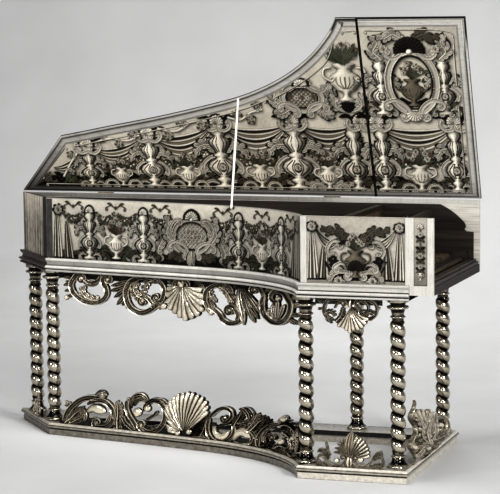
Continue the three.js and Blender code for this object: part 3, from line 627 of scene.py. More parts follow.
def column(name, u, v, turn):
    x, y, _ = P(u, v, 0)
    lo, hi = PLINTH_TOP + 0.0003, FRAME_LOW - 0.0003
    m = Mesh()
    base = curve_profile([
        (0.0401, lo), ("arc", (0.0401, lo + 0.008), 0.35), (0.0375, lo + 0.0095), (0.0375, lo + 0.0115), ("arc", (0.0235, lo + 0.034), -0.16),
        (0.0225, lo + 0.0365), (0.0255, lo + 0.0385), ("arc", (0.0255, lo + 0.0455), 0.4), (0.0222, lo + 0.0475), (0.0215, lo + 0.060)], 6)
    cap = curve_profile([
        (0.0215, hi - 0.086), (0.0225, hi - 0.074), (0.0265, hi - 0.0715), ("arc", (0.0265, hi - 0.0645), 0.45), (0.0230, hi - 0.0625),
        ("arc", (0.0285, hi - 0.0400), -0.05), (0.0300, hi - 0.0385), (0.0385, hi - 0.0365), ("arc", (0.0385, hi - 0.0265), 0.35),
        (0.0290, hi - 0.0245), (0.0290, hi - 0.0205), ("arc", (0.0370, hi - 0.0125), -0.2), (0.0405, hi - 0.0115), (0.0405, hi)], 6)

    # the recesses of the base and cap are painted darker than the rounds beside them: painted shade
    def tone(profile):
        r = np.array([p[0] for p in profile])
        near = np.array([max(r[max(0, i - 4):i + 5]) for i in range(len(r))])
        return np.clip(0.85 - (near - r) * 60, 0.05, 0.85)
    turned(m, (x, y), base, 40, np.repeat(tone(base)[:, None], 40, 1))
    turned(m, (x, y), cap, 40, np.repeat(tone(cap)[:, None], 40, 1))
    # the twist: one rounded strand, falling to the right as seen from outside
    z0, z1, lead = lo + 0.050, hi - 0.078, 0.0497
    zs = np.arange(z0, z1 + 1e-6, 0.0021)
    zs = np.linspace(z0, z1, len(zs))
    th = np.linspace(0, 2 * math.pi, 48, endpoint=False)
    Z, T = np.meshgrid(zs, th, indexing="ij")
    phi = T + 2 * math.pi * (Z - z0) / lead + turn
    w = np.abs(((phi / (2 * math.pi)) % 1.0) * 2 - 1)      # 0 in the middle of the strand, 1 in the groove
    lobe = np.clip(1 - w ** 2, 0, 1) ** 0.62
    fade = np.clip(np.minimum(Z - z0, z1 - Z) / 0.016, 0, 1)
    fade = fade * fade * (3 - 2 * fade)
    r = 0.0166 + (0.0132 * lobe) * fade + 0.0045 * (1 - fade)
    X, Y = x + r * np.cos(T), y + r * np.sin(T)
    # the grooves, and the twist's ends where it meets base and cap, are painted dark and the strands light: painted
    # shade and painted highlight
    rings(m, np.stack([X, Y, Z], -1), np.clip(0.02 + 0.85 * lobe ** 1.2 * (0.35 + 0.65 * fade), 0, 1))
    return make(name + "_carved", m, M_TWIST, replaces=[name], smooth_angle=50)


for i, (name, (u, v)) in enumerate(COLUMNS.items()):
    column(name, u, v, [0.4, 1.1, 2.0, 0.2, 0.9, 1.6][i])

# ---- stand frame with its moulded lip ----------------------------------------
STAND_BASE = dict(spine=0.0, tail=-0.004, bent=0.0, cheek=0.0)
lip = curve_profile([
    (-0.090, 0.6885), (0.0140, 0.688), ("arc", (0.0175, 0.6915), 0.12), ("arc", (0.0160, 0.6965), 0.18), (0.0125, 0.6975), (0.0125, 0.7005),
    (0.0160, 0.7015), ("arc", (0.0165, 0.7125), 0.42), (0.0120, 0.7140), (0.0112, 0.7160), ("arc", (0.0140, 0.7330), -0.17),
    (0.0152, 0.7345), (0.0160, 0.7352), (0.0160, 0.7425), (0.0150, 0.7438), (0.0003, 0.7438), (0.0003, 0.7067), (-0.090, 0.7062)])


# Colours down the moulded lip: the groove under the big bead and the step over it are painted near black, and the cove
# is painted darker towards its foot: painted shade.
def lip_colour(points, scale=1.0):
    out = []
    for d, z in points:
        if z < 0.6883 or d < 0.001:
            t = 0.12
        elif z < 0.6972:
            t = 0.55
        elif z < 0.7012:
            t = 0.06
        elif z < 0.7135:
            t = 0.78
        elif z < 0.7165:
            t = 0.16
        elif z < 0.7335:
            t = 0.34 + 0.16 * (z - 0.7165) / 0.017
        elif z < 0.7350:
            t = 0.35
        else:
            t = 0.80
        out.append(t * scale)
    return out


def flat_lip(points):
    """The lighter version on the cheek side: nearly white, with fine dark lines of painted shade in the groove under
    the big bead and the step over it.
    """
    return [0.10 if (z < 0.6883 or d < 0.001) else 0.03 if 0.6965 <= z < 0.7012 or 0.7130 <= z < 0.7165 else 0.36 if 0.7325 < z < 0.7353 else 0.50 for d, z in points]


trim_f = STAND_END - 0.0923
sweep("moulding_bentside", M_MOULD, lip, part(1, I_CORNER, STAND_END, **STAND_BASE), lip_colour(lip, 0.9), replaces=["stand_bentside_rail"], smooth_angle=28)
sweep("moulding_tail", M_DARK_X, lip, part(0, 1, STAND_END, **STAND_BASE), lip_colour(lip, 0.2), replaces=["stand_tail_rail"], smooth_angle=28)
sweep("moulding_cheek", M_MOULD, lip, part(I_CORNER, I_CORNER + 1, STAND_END, **STAND_BASE), flat_lip(lip), replaces=["stand_cheek_rail"], smooth_angle=28)
sweep("moulding_spine", M_DARK_X, lip, part(I_CORNER + 2, NV, STAND_END, **STAND_BASE), lip_colour(lip, 0.2), replaces=["stand_spine_rail"], smooth_angle=28)


# ---- outer case ---------------------------------------------------------------
def stick_lug(m, u0, u1, reach):
    """A block on the bentside's rim that holds the lid stick's pivot."""
    g = []
    for u in np.linspace(u0, u1, 5):
        k = 1 if u0 + 1e-6 < u < u1 - 1e-6 else 0.86
        v = np.interp(u, BENT_PATH[:, 0], BENT_PATH[:, 1])
        ring = []
        for a, b in ((-0.001, 0.9832), (reach - 0.003, 0.9832), (reach, 0.9862), (reach, 0.9905), (reach - 0.003, 0.9938), (-0.001, 0.9938)):
            ring.append(P(u, v + a * (k if a > 0 else 1), b))
        g.append(ring)
    rings(m, np.array(g), 0.5)


wall = [(-0.014, 0.7070), (-0.0003, 0.7070), (0.0, 0.7076), (0.0, 0.9920), (-0.0015, 0.9945), (-0.0035, 0.9950), (-0.0125, 0.9950), (-0.014, 0.9940)]
sweep("case_bentside_wall_board", M_STILE, wall, part(1, I_CORNER, LENGTH, spine=0.0, tail=-0.0002, bent=0.0, cheek=-0.0002),
      [0.10, 0.10, 0.42, 0.42, 0.30, 0.22, 0.22, 0.30], replaces=["case_bentside_wall"])

# ---- lid and front flap ---------------------------------------------------------
LID_LO, LID_HI = 0.9953, 1.0053
CLOSED_U, LIP_GAP = FLAP_U - 0.0002, 0.0004


def board(name, poly, body, material, replaces, widths, recess=0.0014):
    """A lid board: poly(share, inset) gives its outline with every edge moved in by that share of its own border, and by inset metres."""
    hi, lo = LID_HI, LID_LO
    steps = [
        # (share of the border, plain inset, z, colour)
        (1.00, 0.0, hi, 0.10), (0.92, 0.0, hi, 0.09), (0.915, 0.0, hi, 0.40), (0.84, 0.0, hi, 0.42), (0.835, 0.0, hi, 0.08), (0.0, 0.0060, hi, 0.05), (0.0, 0.0016, hi, 0.04), (0.0, 0.0004, hi - 0.0005, 0.03), (0.0, 0.0, hi - 0.0016, 0.012),
        (0.0, 0.0, lo + 0.0016, 0.012), (0.0, 0.0004, lo + 0.0004, 0.02), (0.0, 0.0014, lo, 0.44), (0.12, 0.0, lo, 0.48), (0.20, 0.0, lo, 0.42), (0.23, 0.0, lo, 0.07),
        (0.33, 0.0, lo, 0.09), (0.37, 0.0, lo, 0.20), (0.45, 0.0, lo, 0.36), (0.60, 0.0, lo, 0.45), (0.80, 0.0, lo, 0.42), (0.83, 0.0, lo, 0.20), (0.90, 0.0, lo, 0.20),
        (0.93, 0.0, lo, 0.30), (0.99, 0.0, lo, 0.26), (1.0, 0.0, lo + 0.0004, 0.10), (1.0, 0.0002, lo + recess, 0.05), (1.0, 0.0012, lo + recess, 0.05)]
    g, c = [], []
    for share, inset, z, colour in steps:
        q = poly(share, inset)
        g.append(PN(np.hstack([q, np.full((len(q), 1), z)])))
        # the hinge side is darker, most of all towards the tail
        k = np.where((q[:, 1] < 0.05) & (z < lo + 0.001), 0.16 + 0.50 * np.clip(q[:, 0] / LENGTH, 0, 1) ** 1.5, 1.0)
        k = np.where((q[:, 0] < 0.12) & (q[:, 1] >= 0.05) & (z < lo + 0.001), 0.75, k)
        # the outermost strip along the far edge, near the front and on the flap, is painted nearly black: painted shade
        # at the lid's edge; on the flap the band inside it is made lighter
        if "bent" in widths and 0.0 < share < 0.22:
            k = np.where((q[:, 1] > 0.735) & (q[:, 0] > 1.2), 0.03, k)
        if "high" in widths and share < 0.13 and z < lo + 0.001:
            k = np.where(q[:, 1] > 0.70, 0.03, k)
        if "high" in widths and 0.22 < share < 0.40:
            k = np.where(q[:, 1] > 0.70, 3.2, k)
        c.append(colour * k)
    m = Mesh()
    rings(m, lid_open(np.array(g)), np.array(c))
    return make(name, m, material, body, replaces, smooth_angle=30)


BORDER = dict(spine=0.024, tail=0.040, bent=0.042, cheek=0.040, front=0.0008)


def lid_poly(share, inset):
    b = {k: -w * share - inset for k, w in BORDER.items()}
    return outline(end=CLOSED_U, spine=-0.0005 + b["spine"], tail=0.003 + b["tail"], bent=0.003 + b["bent"], cheek=-0.008 + b["cheek"], front=b["front"])


FLAP_BORDER = dict(low=0.024, high=0.040, back=0.0008, front=0.040)


def flap_poly(share, inset):
    b = {k: w * share + inset for k, w in FLAP_BORDER.items()}
    u0, u1 = FLAP_U + 0.0002 + b["back"], LENGTH + 0.003 - b["front"]
    v0, v1 = 0.0005 + b["low"], WIDTH - 0.008 - b["high"]
    n = 12
    return np.array([(u0, v0 + (v1 - v0) * t) for t in np.linspace(0, 1, n)] + [(u1, v1 + (v0 - v1) * t) for t in np.linspace(0, 1, n)])


board("lid_board", lid_poly, "lid", M_BORDER, ["main_lid"], BORDER)
board("flap_board", flap_poly, "flap", M_BORDER, ["front_flap"], FLAP_BORDER)

# the black edge strips on both sides of the joint between the boards
JOINT = 0.0050
for name, body, u0, u1 in (("lid_joint_strip", "lid", CLOSED_U - JOINT, CLOSED_U - 0.00005), ("flap_joint_strip", "flap", FLAP_U + 0.00025, FLAP_U + 0.0002 + JOINT)):
    m = Mesh()
    g = []
    for v in np.linspace(0.0012, WIDTH - 0.0092, 40):
        z0, z1, e = LID_LO - 0.00016, LID_LO + 0.0012, 0.0003
        g.append([PN(np.array((u, v, z))) for u, z in ((u0, z1), (u0, z0 + e), (u0 + e, z0), (u1 - e, z0), (u1, z0 + e), (u1, z1))])
    rings(m, lid_open(np.array(g)), 0.004)
    make(name, m, M_BORDER, body, smooth_angle=25)

# ---- ornament -------------------------------------------------------------------
# A motif is a set of strips: sections across a path, with a relief height and a mark (how proud it is; on the carvings
# it sets the wear and a painted shade in the hollows) at each point. The same strips are carved as closed shells and
# laid down as painting.
SECTIONS = {
    "channel": ([-1, -.94, -.80, -.66, -.52, -.25, 0, .25, .52, .66, .80, .94, 1],
                [0, .62, 1, .86, .50, .40, .38, .40, .50, .86, 1, .62, 0],
                [0, .40, 1, .45, .05, .22, .40, .22, .05, .45, 1, .40, 0]),
    "round": (list(np.sin(np.linspace(-math.pi / 2, math.pi / 2, 11))), list(np.cos(np.linspace(-math.pi / 2, math.pi / 2, 11)) ** 0.8),
              list(np.cos(np.linspace(-math.pi / 2, math.pi / 2, 11)) ** 1.3)),
    "ridge": ([-1, -.92, -.70, -.35, -.12, 0, .12, .35, .70, .92, 1], [0, .52, .80, .50, .72, 1, .72, .50, .80, .52, 0],
              [.0, .50, .75, .06, .45, 1, .45, .06, .75, .50, .0]),
    "rib": ([-1, -.8, -.45, 0, .45, .8, 1], [.25, .66, .93, 1, .93, .66, .25], [.0, .45, .85, 1, .85, .45, .0]),
    "hollow": ([-1, -.93, -.8, -.4, 0, .4, .8, .93, 1], [.2, .9, .95, .45, .30, .45, .95, .9, .2], [.1, 1, .8, .35, .15, .35, .8, 1, .1]),
}


def spline(points, n=None):
    points = np.array(points, float)
    if len(points) == 2:
        return resample(points, n or 8)
    length = np.linalg.norm(np.diff(points, axis=0), axis=1).sum()
    return smooth(points, n or int(max(10, min(60, len(points) * 6))))


def headings(path):
    d = np.gradient(path, axis=0)
    return d / np.maximum(np.linalg.norm(d, axis=1), 1e-9)[:, None]


def volute(p, theta, turn, r0, r1, angle, n=None):
    """A spiral that leaves p in the direction theta, its radius falling from r0 to r1 over the angle in degrees."""
    total = math.radians(angle)
    n = n or max(8, int(angle / 14))
    phi = np.linspace(0, total, n * 3)
    r = r0 * (r1 / r0) ** (phi / total)
    th = theta + turn * phi
    step = np.stack([np.cos(th), np.sin(th)], 1) * (r * total / (n * 3 - 1))[:, None]
    path = np.vstack([[p], p + np.cumsum(step, 0)])
    keep = np.unique(np.linspace(0, len(path) - 1, n).astype(int))
    return path[keep], np.interp(keep, np.arange(len(phi) + 1), np.r_[1.0, r / r0])


class Motifs:
    """Collects strips in any flat coordinates."""

    def __init__(self, unit=1.0):
        self.strips, self.unit, self.tone = [], unit, None

    def strip(self, path, width, height, kind="round", base=0.0, gain=1.0, back=-0.006):
        path = np.asarray(path, float)
        n = len(path)
        t, shape, mark = (np.array(a, float) for a in SECTIONS[kind])
        w = np.broadcast_to(np.asarray(width, float), n)
        h = np.broadcast_to(np.asarray(height, float), n)
        b = np.broadcast_to(np.asarray(base, float), n)
        g = np.broadcast_to(np.asarray(gain, float), n)
        d = headings(path)
        nrm = np.stack([-d[:, 1], d[:, 0]], 1)
        q = path[:, None] + nrm[:, None] * (t[None, :, None] * w[:, None, None])
        self.strips.append((q[..., 0], q[..., 1], b[:, None] + h[:, None] * shape[None], np.clip(mark[None] * g[:, None], 0, 1.2), back, self.tone))

    def ball(self, x, y, r, height, base=0.0, gain=1.0, squash=1.0):
        a = np.linspace(0, 2 * math.pi, 17)[:-1]
        rr = np.sin(np.linspace(0.04, math.pi / 2, 6))
        for k in (0,):
            t = np.r_[-rr[::-1], rr]
            q = np.linspace(-math.pi / 2, math.pi / 2, 11)
            X = x + r * np.outer(np.sin(q), np.ones(11))
            Y = y + r * squash * np.outer(np.cos(q) * 1.0, np.sin(np.linspace(-math.pi / 2, math.pi / 2, 11)))
            R = np.clip(1 - ((X - x) / r) ** 2 - ((Y - y) / (r * squash)) ** 2, 0, 1) ** 0.5
            self.strips.append((X, Y, base + height * R, np.clip(R * gain, 0, 1.2), -0.004, self.tone))

    def band(self, points, w, h, kind="channel", start=None, end=None, taper=(1.0, 1.0), base=0.0, gain=1.0, eye=True):
        """A scroll band; start and end are volutes (turn, first radius, last radius, degrees)."""
        path = spline(points)
        d = headings(path)
        n = len(path)
        width = w * np.interp(np.linspace(0, 1, n), [0, 1], taper)
        high = np.full(n, float(h))
        for which, vol in (("end", end), ("start", start)):
            if which == "start":
                path, d, width, high = path[::-1], -d[::-1], width[::-1], high[::-1]
            if vol:
                turn, r0, r1, angle = vol
                p, k = volute(path[-1], math.atan2(d[-1][1], d[-1][0]), turn, r0, r1, angle)
                k2 = np.clip(k, 0.15, 1)
                w_end = np.minimum(width[-1] * k2 ** 0.55, 0.46 * r0 * k * 1.6 + 0.2 * width[-1])
                if eye:
                    c = p[-1] + np.array([-math.sin(math.atan2(*(p[-1] - p[-2])[::-1])), math.cos(math.atan2(*(p[-1] - p[-2])[::-1]))]) * turn * r1 * 0.4
                    self.ball(c[0], c[1], max(r1 * 1.15, w_end[-1] * 1.1), h * 1.15, base, gain)
                path = np.vstack([path, p[1:]])
                width = np.r_[width, w_end[1:]]
                high = np.r_[high, h * (1 + 0.25 * (1 - k[1:]))]
            else:
                m = len(path)
                s = np.linspace(0, 1, m)
                tip = np.sqrt(np.clip((1 - s) / 0.06, 0.02, 1))
                width = width * np.minimum(1, tip)
                high = high * (0.35 + 0.65 * np.minimum(1, tip))
            d = headings(path)
            if which == "start":
                path, d, width, high = path[::-1], -d[::-1], width[::-1], high[::-1]
        self.strip(path, width, high, kind, base, gain)

    def tongue(self, points, w, h, kind="ridge", base=0.0, gain=1.0, root=0.45, lift=0.0):
        """A pointed leaf blade, widest beyond its middle."""
        path = spline(points, 12)
        s = np.linspace(0, 1, 12)
        env = np.interp(s, [0, 0.15, 0.55, 0.78, 0.92, 1.0], [root, root + 0.15, 1.0, 0.86, 0.50, 0.06])
        self.strip(path, w * env, h * np.interp(s, [0, 0.5, 0.85, 1], [0.55, 1, 0.9, 0.45]), kind, base + lift * s, gain * np.interp(s, [0, 0.3, 1], [0.45, 0.85, 1.0]))

    def leaf(self, points, w, h, lobes=5, base=0.0, gain=1.0, sides=(1, -1), lean=0.9):
        """An acanthus leaf: lobes of blades on both sides of a midrib."""
        path = spline(points, 40)
        d = headings(path)
        length = np.linalg.norm(np.diff(path, axis=0), axis=1).sum()
        for i in range(lobes):
            s = (i + 0.15) / lobes * 0.9
            k = int(s * 39)
            env = math.sin(math.pi * (0.22 + 0.72 * s)) ** 0.8
            for side in sides:
                a = math.atan2(d[k][1], d[k][0])
                spread = math.radians(62 - 34 * s) * side
                reach = w * env * 1.25
                wobble = 1 + 0.16 * math.sin(5.1 * i + 2 * side + points[0][0] * 0.37)
                p0 = path[k]
                p1 = p0 + reach * 0.55 * wobble * np.array([math.cos(a + spread), math.sin(a + spread)])
                p2 = p1 + reach * 0.6 * wobble * np.array([math.cos(a + spread * (1 - lean)), math.sin(a + spread * (1 - lean))])
                self.tongue([p0, p1, p2], max(w * 0.24, length / lobes * 0.42) * (0.6 + 0.4 * env), h * (0.72 + 0.28 * env), "ridge", base, gain * (0.8 + 0.2 * wobble), root=0.6)
        self.tongue([path[22], path[31], path[39]], w * 0.34, h, "ridge", base + h * 0.1, gain, root=0.5)
        s = np.linspace(0, 1, 40)
        self.strip(path[:36], (w * 0.13 * (1 - 0.75 * s))[:36], h * 0.45, "round", base + h * 0.62, gain)

    def fan(self, hinge, edge, h, n=11, gain=1.0, base=0.0, dome=0.6, kind="rib", wave=0.06, start=0.06):
        """A scallop shell: ribs from the hinge to points spread along the edge, every rib ending in a round lip."""
        hinge = np.array(hinge, float)
        e = smooth(edge, 2 * n + 1)
        for i in range(n):
            c, l, r = e[2 * i + 1], e[2 * i], e[2 * i + 2]
            half = np.linalg.norm(r - l) / 2 * 1.06
            s = np.r_[np.linspace(start, 0.9, 11), 0.95, 0.985, 1.0]
            bend = (i - (n - 1) / 2) / n
            perp = np.array([-(c - hinge)[1], (c - hinge)[0]])
            path = hinge + (c - hinge) * s[:, None] + perp * (0.10 * bend * np.sin(math.pi * s))[:, None]
            width = half * s ** 0.95 * np.interp(s, [0, 0.9, 0.95, 0.985, 1], [1, 1, 0.93, 0.68, 0.2])
            height = h * (0.42 + dome * np.sin(math.pi * np.clip(s, 0, 1) * 0.86) ** 1.0) * (0.80 + 0.2 * math.cos(2.2 * bend)) * np.interp(s, [0, 0.9, 0.985, 1], [1, 1, 0.8, 0.4])
            ripple = 1 + wave * np.sin(s * 26 + i)
            # the mark falls towards the hinge: on the carvings the ribs are painted darker where they crowd together,
            # painted shade
            self.strip(path, width, height * ripple, kind, base, gain * np.interp(s, [0, 0.25, 0.7, 0.93, 1], [0.30, 0.58, 0.74, 0.98, 0.55]) * (0.88 + 0.24 * ((i * 37) % 7) / 7))


def carve(mesh, motifs, to_plane, place):
    """The strips as closed shells: to_plane takes the motif coordinates to (x, z), place sets them on the body."""
    for X, Y, H, C, back, tone in motifs.strips:
        x, z = to_plane(X, Y)
        n, k = X.shape
        front = place(x, z, H)
        lo = place(x[:, [-1, 0]], z[:, [-1, 0]], np.full((n, 2), back))
        g = np.concatenate([front, lo], 1)
        c = np.concatenate([C, np.zeros((n, 2))], 1)
        rings(mesh, g, c)


class Table:
    """Picture positions to positions on a surface, by interpolation in a coarse table."""

    def __init__(self, box, f, nx=40, ny=16):
        self.x, self.y = np.linspace(box[0], box[2], nx), np.linspace(box[1], box[3], ny)
        self.t = np.array([[f(x, y) for y in self.y] for x in self.x])

    def __call__(self, px, py):
        fx = np.clip((px - self.x[0]) / (self.x[1] - self.x[0]), 0, len(self.x) - 1.001)
        fy = np.clip((py - self.y[0]) / (self.y[1] - self.y[0]), 0, len(self.y) - 1.001)
        i, j = fx.astype(int), fy.astype(int)
        a, b = fx - i, fy - j
        t = self.t
        out = (t[i, j] * ((1 - a) * (1 - b))[..., None] + t[i + 1, j] * (a * (1 - b))[..., None]
               + t[i, j + 1] * ((1 - a) * b)[..., None] + t[i + 1, j + 1] * (a * b)[..., None])
        return out[..., 0], out[..., 1]


def strip_board(mesh, place, x0, x1, z0, z1, h0, h1, n=60, mark=0.03):
    """A plain dark strip that ties the carving together along its root: its low mark paints it near black, painted
    shade behind the carving.
    """
    g = []
    for x in np.linspace(x0, x1, n):
        zz = [z0, z1, z1, z0]
        hh = [h0, h0, h1, h1]
        g.append(place(np.full(4, x), np.array(zz), np.array(hh)))
    rings(mesh, np.array(g), mark)


# The apron under the bentside, drawn in an enlargement whose corner and scale are given below.
def frame_of(corner, scale, table, z_min=None, z_max=None, x_min=None, x_max=None):
    def f(X, Y):
        x, z = table(corner[0] + X / scale, corner[1] + Y / scale)
        if z_min is not None:
            z = np.maximum(z, z_min)
        if z_max is not None:
            z = np.minimum(z, z_max)
        # motifs that run past an end are drawn together towards it
        r = 0.045
        if x_min is not None:
            x = np.where(x < x_min + r, x_min + r * np.exp((np.minimum(x, x_min + r) - x_min - r) / r), x)
        if x_max is not None:
            x = np.where(x > x_max - r, x_max - r * np.exp((x_max - r - np.maximum(x, x_max - r)) / r), x)
        return x, z
    return f


A = Motifs()
H1 = 0.012
# left leaves and scroll A
for pts, w in (([(196, 88), (165, 78), (128, 70)], 12), ([(192, 118), (160, 112), (126, 118)], 12), ([(190, 148), (165, 146), (134, 152)], 11),
               ([(212, 182), (180, 178), (142, 190)], 13), ([(200, 100), (175, 98), (140, 94)], 9)):
    A.tongue(pts, w, 0.010)
A.ball(146, 190, 16, 0.010)
A.band([(200, 70), (179, 108), (186, 150), (215, 187), (262, 213), (318, 220), (362, 204), (385, 170), (381, 135), (368, 112)], 16, H1, start=(1, 36, 9, 420), end=(1, 36, 9, 430))
A.leaf([(335, 206), (290, 200), (254, 180), (240, 150), (266, 120)], 30, 0.009, base=0.002, lobes=5)
A.band([(248, 74), (275, 99), (310, 101), (339, 86), (350, 62)], 11, 0.009)
A.tongue([(240, 92), (262, 110), (300, 118), (330, 108)], 12, 0.008)
A.tongue([(350, 84), (372, 76), (388, 62)], 10, 0.008)
# folded leaf and scroll B
for pts, w in (([(560, 82), (480, 106), (405, 122)], 17), ([(540, 92), (470, 134), (400, 152)], 18), ([(525, 110), (470, 160), (424, 190)], 18),
               ([(515, 130), (480, 190), (440, 234)], 19), ([(512, 160), (495, 210), (470, 238)], 15), ([(516, 190), (505, 232), (498, 254)], 12)):
    A.tongue(pts, w, 0.013, gain=0.9)
A.band([(575, 78), (524, 98), (498, 150), (503, 207), (532, 256), (586, 279), (642, 259), (680, 230), (710, 238)], 18, H1)
A.ball(712, 240, 20, 0.012)
A.band([(560, 80), (612, 70), (664, 80), (702, 106), (722, 150), (714, 188)], 14, H1, end=(1, 40, 8, 430), base=0.003)
A.band([(655, 252), (652, 222), (630, 196)], 12, 0.011, end=(-1, 38, 9, 430), base=0.003)
A.leaf([(608, 205), (560, 176), (543, 134), (570, 96)], 28, 0.010, base=0.002)
A.leaf([(650, 88), (616, 112), (598, 150), (600, 182)], 20, 0.009, lobes=4)
A.tongue([(700, 215), (690, 240), (690, 262)], 12, 0.010)
# the shell
A.fan((824, 112), [(742, 122), (728, 165), (732, 215), (750, 270), (790, 292), (824, 322), (862, 326), (900, 304), (936, 288), (948, 228), (944, 170), (930, 130)], 0.020, n=13, gain=1.0)
A.band([(782, 122), (790, 98), (812, 90)], 10, 0.012, end=(1, 18, 6, 330), base=0.010)
A.band([(872, 122), (862, 98), (842, 90)], 10, 0.012, end=(-1, 18, 6, 330), base=0.010)
A.ball(826, 116, 15, 0.010, 0.014)
for pts in ([(760, 112), (745, 96), (735, 92)], [(890, 108), (915, 96), (935, 102)], [(900, 120), (930, 122), (950, 140)]):
    A.tongue(pts, 12, 0.010)
# drop and scroll C
A.tongue([(952, 205), (966, 245), (990, 296)], 17, 0.012)
A.tongue([(974, 205), (1000, 238), (1012, 276)], 13, 0.011)
A.ball(988, 276, 17, 0.012)
A.band([(980, 262), (956, 205), (964, 156), (1000, 125), (1052, 117), (1096, 134), (1114, 168)], 15, H1)
A.band([(972, 236), (1008, 258), (1040, 286), (1062, 322), (1104, 340), (1152, 326), (1184, 288)], 16, H1)
A.band([(1140, 332), (1150, 296), (1138, 262)], 13, H1, end=(-1, 38, 10, 430), base=0.003)
A.leaf([(1040, 126), (1078, 150), (1102, 190), (1094, 230)], 30, 0.010, base=0.002)
A.leaf([(982, 150), (990, 190), (1022, 220)], 20, 0.009, lobes=4)
for pts, w, g in (([(1150, 138), (1152, 200), (1170, 280), (1178, 352)], 20, 1.1), ([(1164, 138), (1190, 208), (1216, 280), (1240, 338)], 20, 0.9),
                  ([(1180, 138), (1216, 190), (1252, 240), (1278, 286)], 17, 0.9), ([(1142, 148), (1138, 210), (1148, 262), (1150, 316)], 14, 0.8),
                  ([(1172, 170), (1222, 250), (1262, 316)], 15, 0.8)):
    A.tongue(pts, w, 0.014, gain=g)
A.band([(1200, 214), (1242, 238), (1282, 216), (1292, 172), (1274, 138)], 13, H1, end=(-1, 34, 8, 400))
# scroll D and the end leaf
A.band([(1302, 168), (1287, 222), (1300, 286), (1346, 330), (1400, 331), (1440, 288), (1450, 228), (1428, 182)], 18, H1, end=(-1, 62, 14, 330))
for pts in ([(1366, 328), (1345, 280), (1344, 222)], [(1368, 328), (1366, 270), (1376, 205)], [(1372, 328), (1392, 275), (1410, 228)], [(1360, 326), (1328, 290), (1322, 250)]):
    A.tongue(pts, 15, 0.010, base=0.001)
for pts in ([(1428, 300), (1460, 332), (1494, 342)], [(1438, 272), (1468, 292), (1496, 290)], [(1446, 240), (1476, 238), (1500, 220)], [(1440, 205), (1470, 192), (1492, 166)],
            [(1300, 160), (1320, 145), (1345, 150)], [(1400, 165), (1420, 150), (1450, 155)]):
    A.tongue(pts, 15, 0.011)
APRON_OUT = -0.008
apron_table = Table((56, 268, 302, 330), lambda x, y: on_bent(x, y, APRON_OUT + 0.010), nx=60)
s_min, s_max = BENT_S[0] + 0.046, BENT_S[-1] - 0.082
m = Mesh()
place_apron = lambda x, z, h: bent_map(x, z, h, APRON_OUT)
carve(m, A, frame_of((40, 265), 5.807, apron_table, z_max=0.6872, x_min=s_min), place_apron)
strip_board(m, place_apron, s_min + 0.004, s_max, 0.662, 0.6874, -0.007, 0.001, 90)
make("apron_bentside_carving", m, M_GILT, replaces=["apron_bentside"], smooth_angle=50)

# ---- the cresting on the plinth below the bentside --------------------------------
C = Motifs()
H2 = 0.014
for pts, w in (([(402, 222), (386, 196), (362, 172)], 12), ([(404, 214), (380, 214), (352, 206)], 10), ([(398, 232), (404, 200), (396, 178)], 9)):
    C.tongue(pts, w, 0.010)
C.band([(350, 350), (378, 286), (430, 216), (500, 164), (585, 146), (652, 152)], 25, H2, gain=1.0)
C.tongue([(600, 152), (660, 110), (716, 128)], 30, 0.016, kind="round", gain=0.45)
C.ball(676, 130, 34, 0.016, gain=0.6)
C.band([(545, 205), (612, 172), (696, 178), (754, 232), (770, 300), (748, 358), (704, 388), (650, 392)], 21, H2, end=(1, 44, 9, 420))
C.tongue([(548, 262), (596, 236), (650, 246), (700, 268)], 44, 0.014, kind="round", gain=1.1)
C.leaf([(366, 352), (420, 312), (466, 268), (528, 236)], 46, 0.011, lobes=6, base=0.002)
C.leaf([(402, 358), (452, 336), (506, 308), (540, 262)], 30, 0.011, lobes=5, base=0.002)
C.tongue([(524, 246), (534, 292), (520, 345)], 20, 0.012, gain=1.1)
C.tongue([(560, 330), (600, 322), (640, 335)], 18, 0.011)
C.tongue([(680, 372), (722, 340), (736, 290)], 24, 0.012, gain=1.1)
# upright leaf and the stems
C.leaf([(800, 410), (798, 340), (806, 260), (800, 168)], 44, 0.012, lobes=6)
C.tongue([(778, 300), (780, 230), (790, 172)], 16, 0.010)
C.tongue([(838, 330), (840, 260), (826, 200)], 16, 0.010)
C.band([(880, 168), (877, 225), (896, 285), (932, 342), (968, 402)], 19, H2, gain=1.1)
C.band([(846, 300), (868, 350), (912, 392), (950, 420)], 14, H2, gain=0.9)
C.tongue([(884, 200), (886, 160), (876, 146)], 14, 0.012)
C.tongue([(898, 236), (922, 158), (992, 128), (1052, 170)], 28, 0.015, gain=0.9)
C.tongue([(930, 214), (968, 168), (1018, 168), (1040, 200)], 18, 0.013)
C.tongue([(925, 190), (932, 150), (938, 124)], 12, 0.012)
C.ball(962, 268, 38, 0.015, gain=1.1)
C.band([(1010, 262), (1040, 205), (1088, 172), (1148, 182), (1190, 238), (1196, 300), (1172, 372), (1112, 424), (1044, 430), (992, 398)], 22, H2, end=(1, 34, 10, 380), gain=1.1)
C.band([(1040, 200), (1100, 166), (1152, 172)], 20, 0.017, gain=0.5)
C.ball(1047, 238, 30, 0.017, gain=1.0)
C.band([(1036, 332), (1070, 310), (1104, 290), (1128, 258)], 13, 0.012, gain=0.9)
C.tongue([(1168, 372), (1120, 396), (1066, 396)], 24, 0.015, kind="round", gain=0.35)
C.band([(1112, 160), (1180, 168), (1222, 220), (1232, 290)], 11, 0.012, base=0.002)
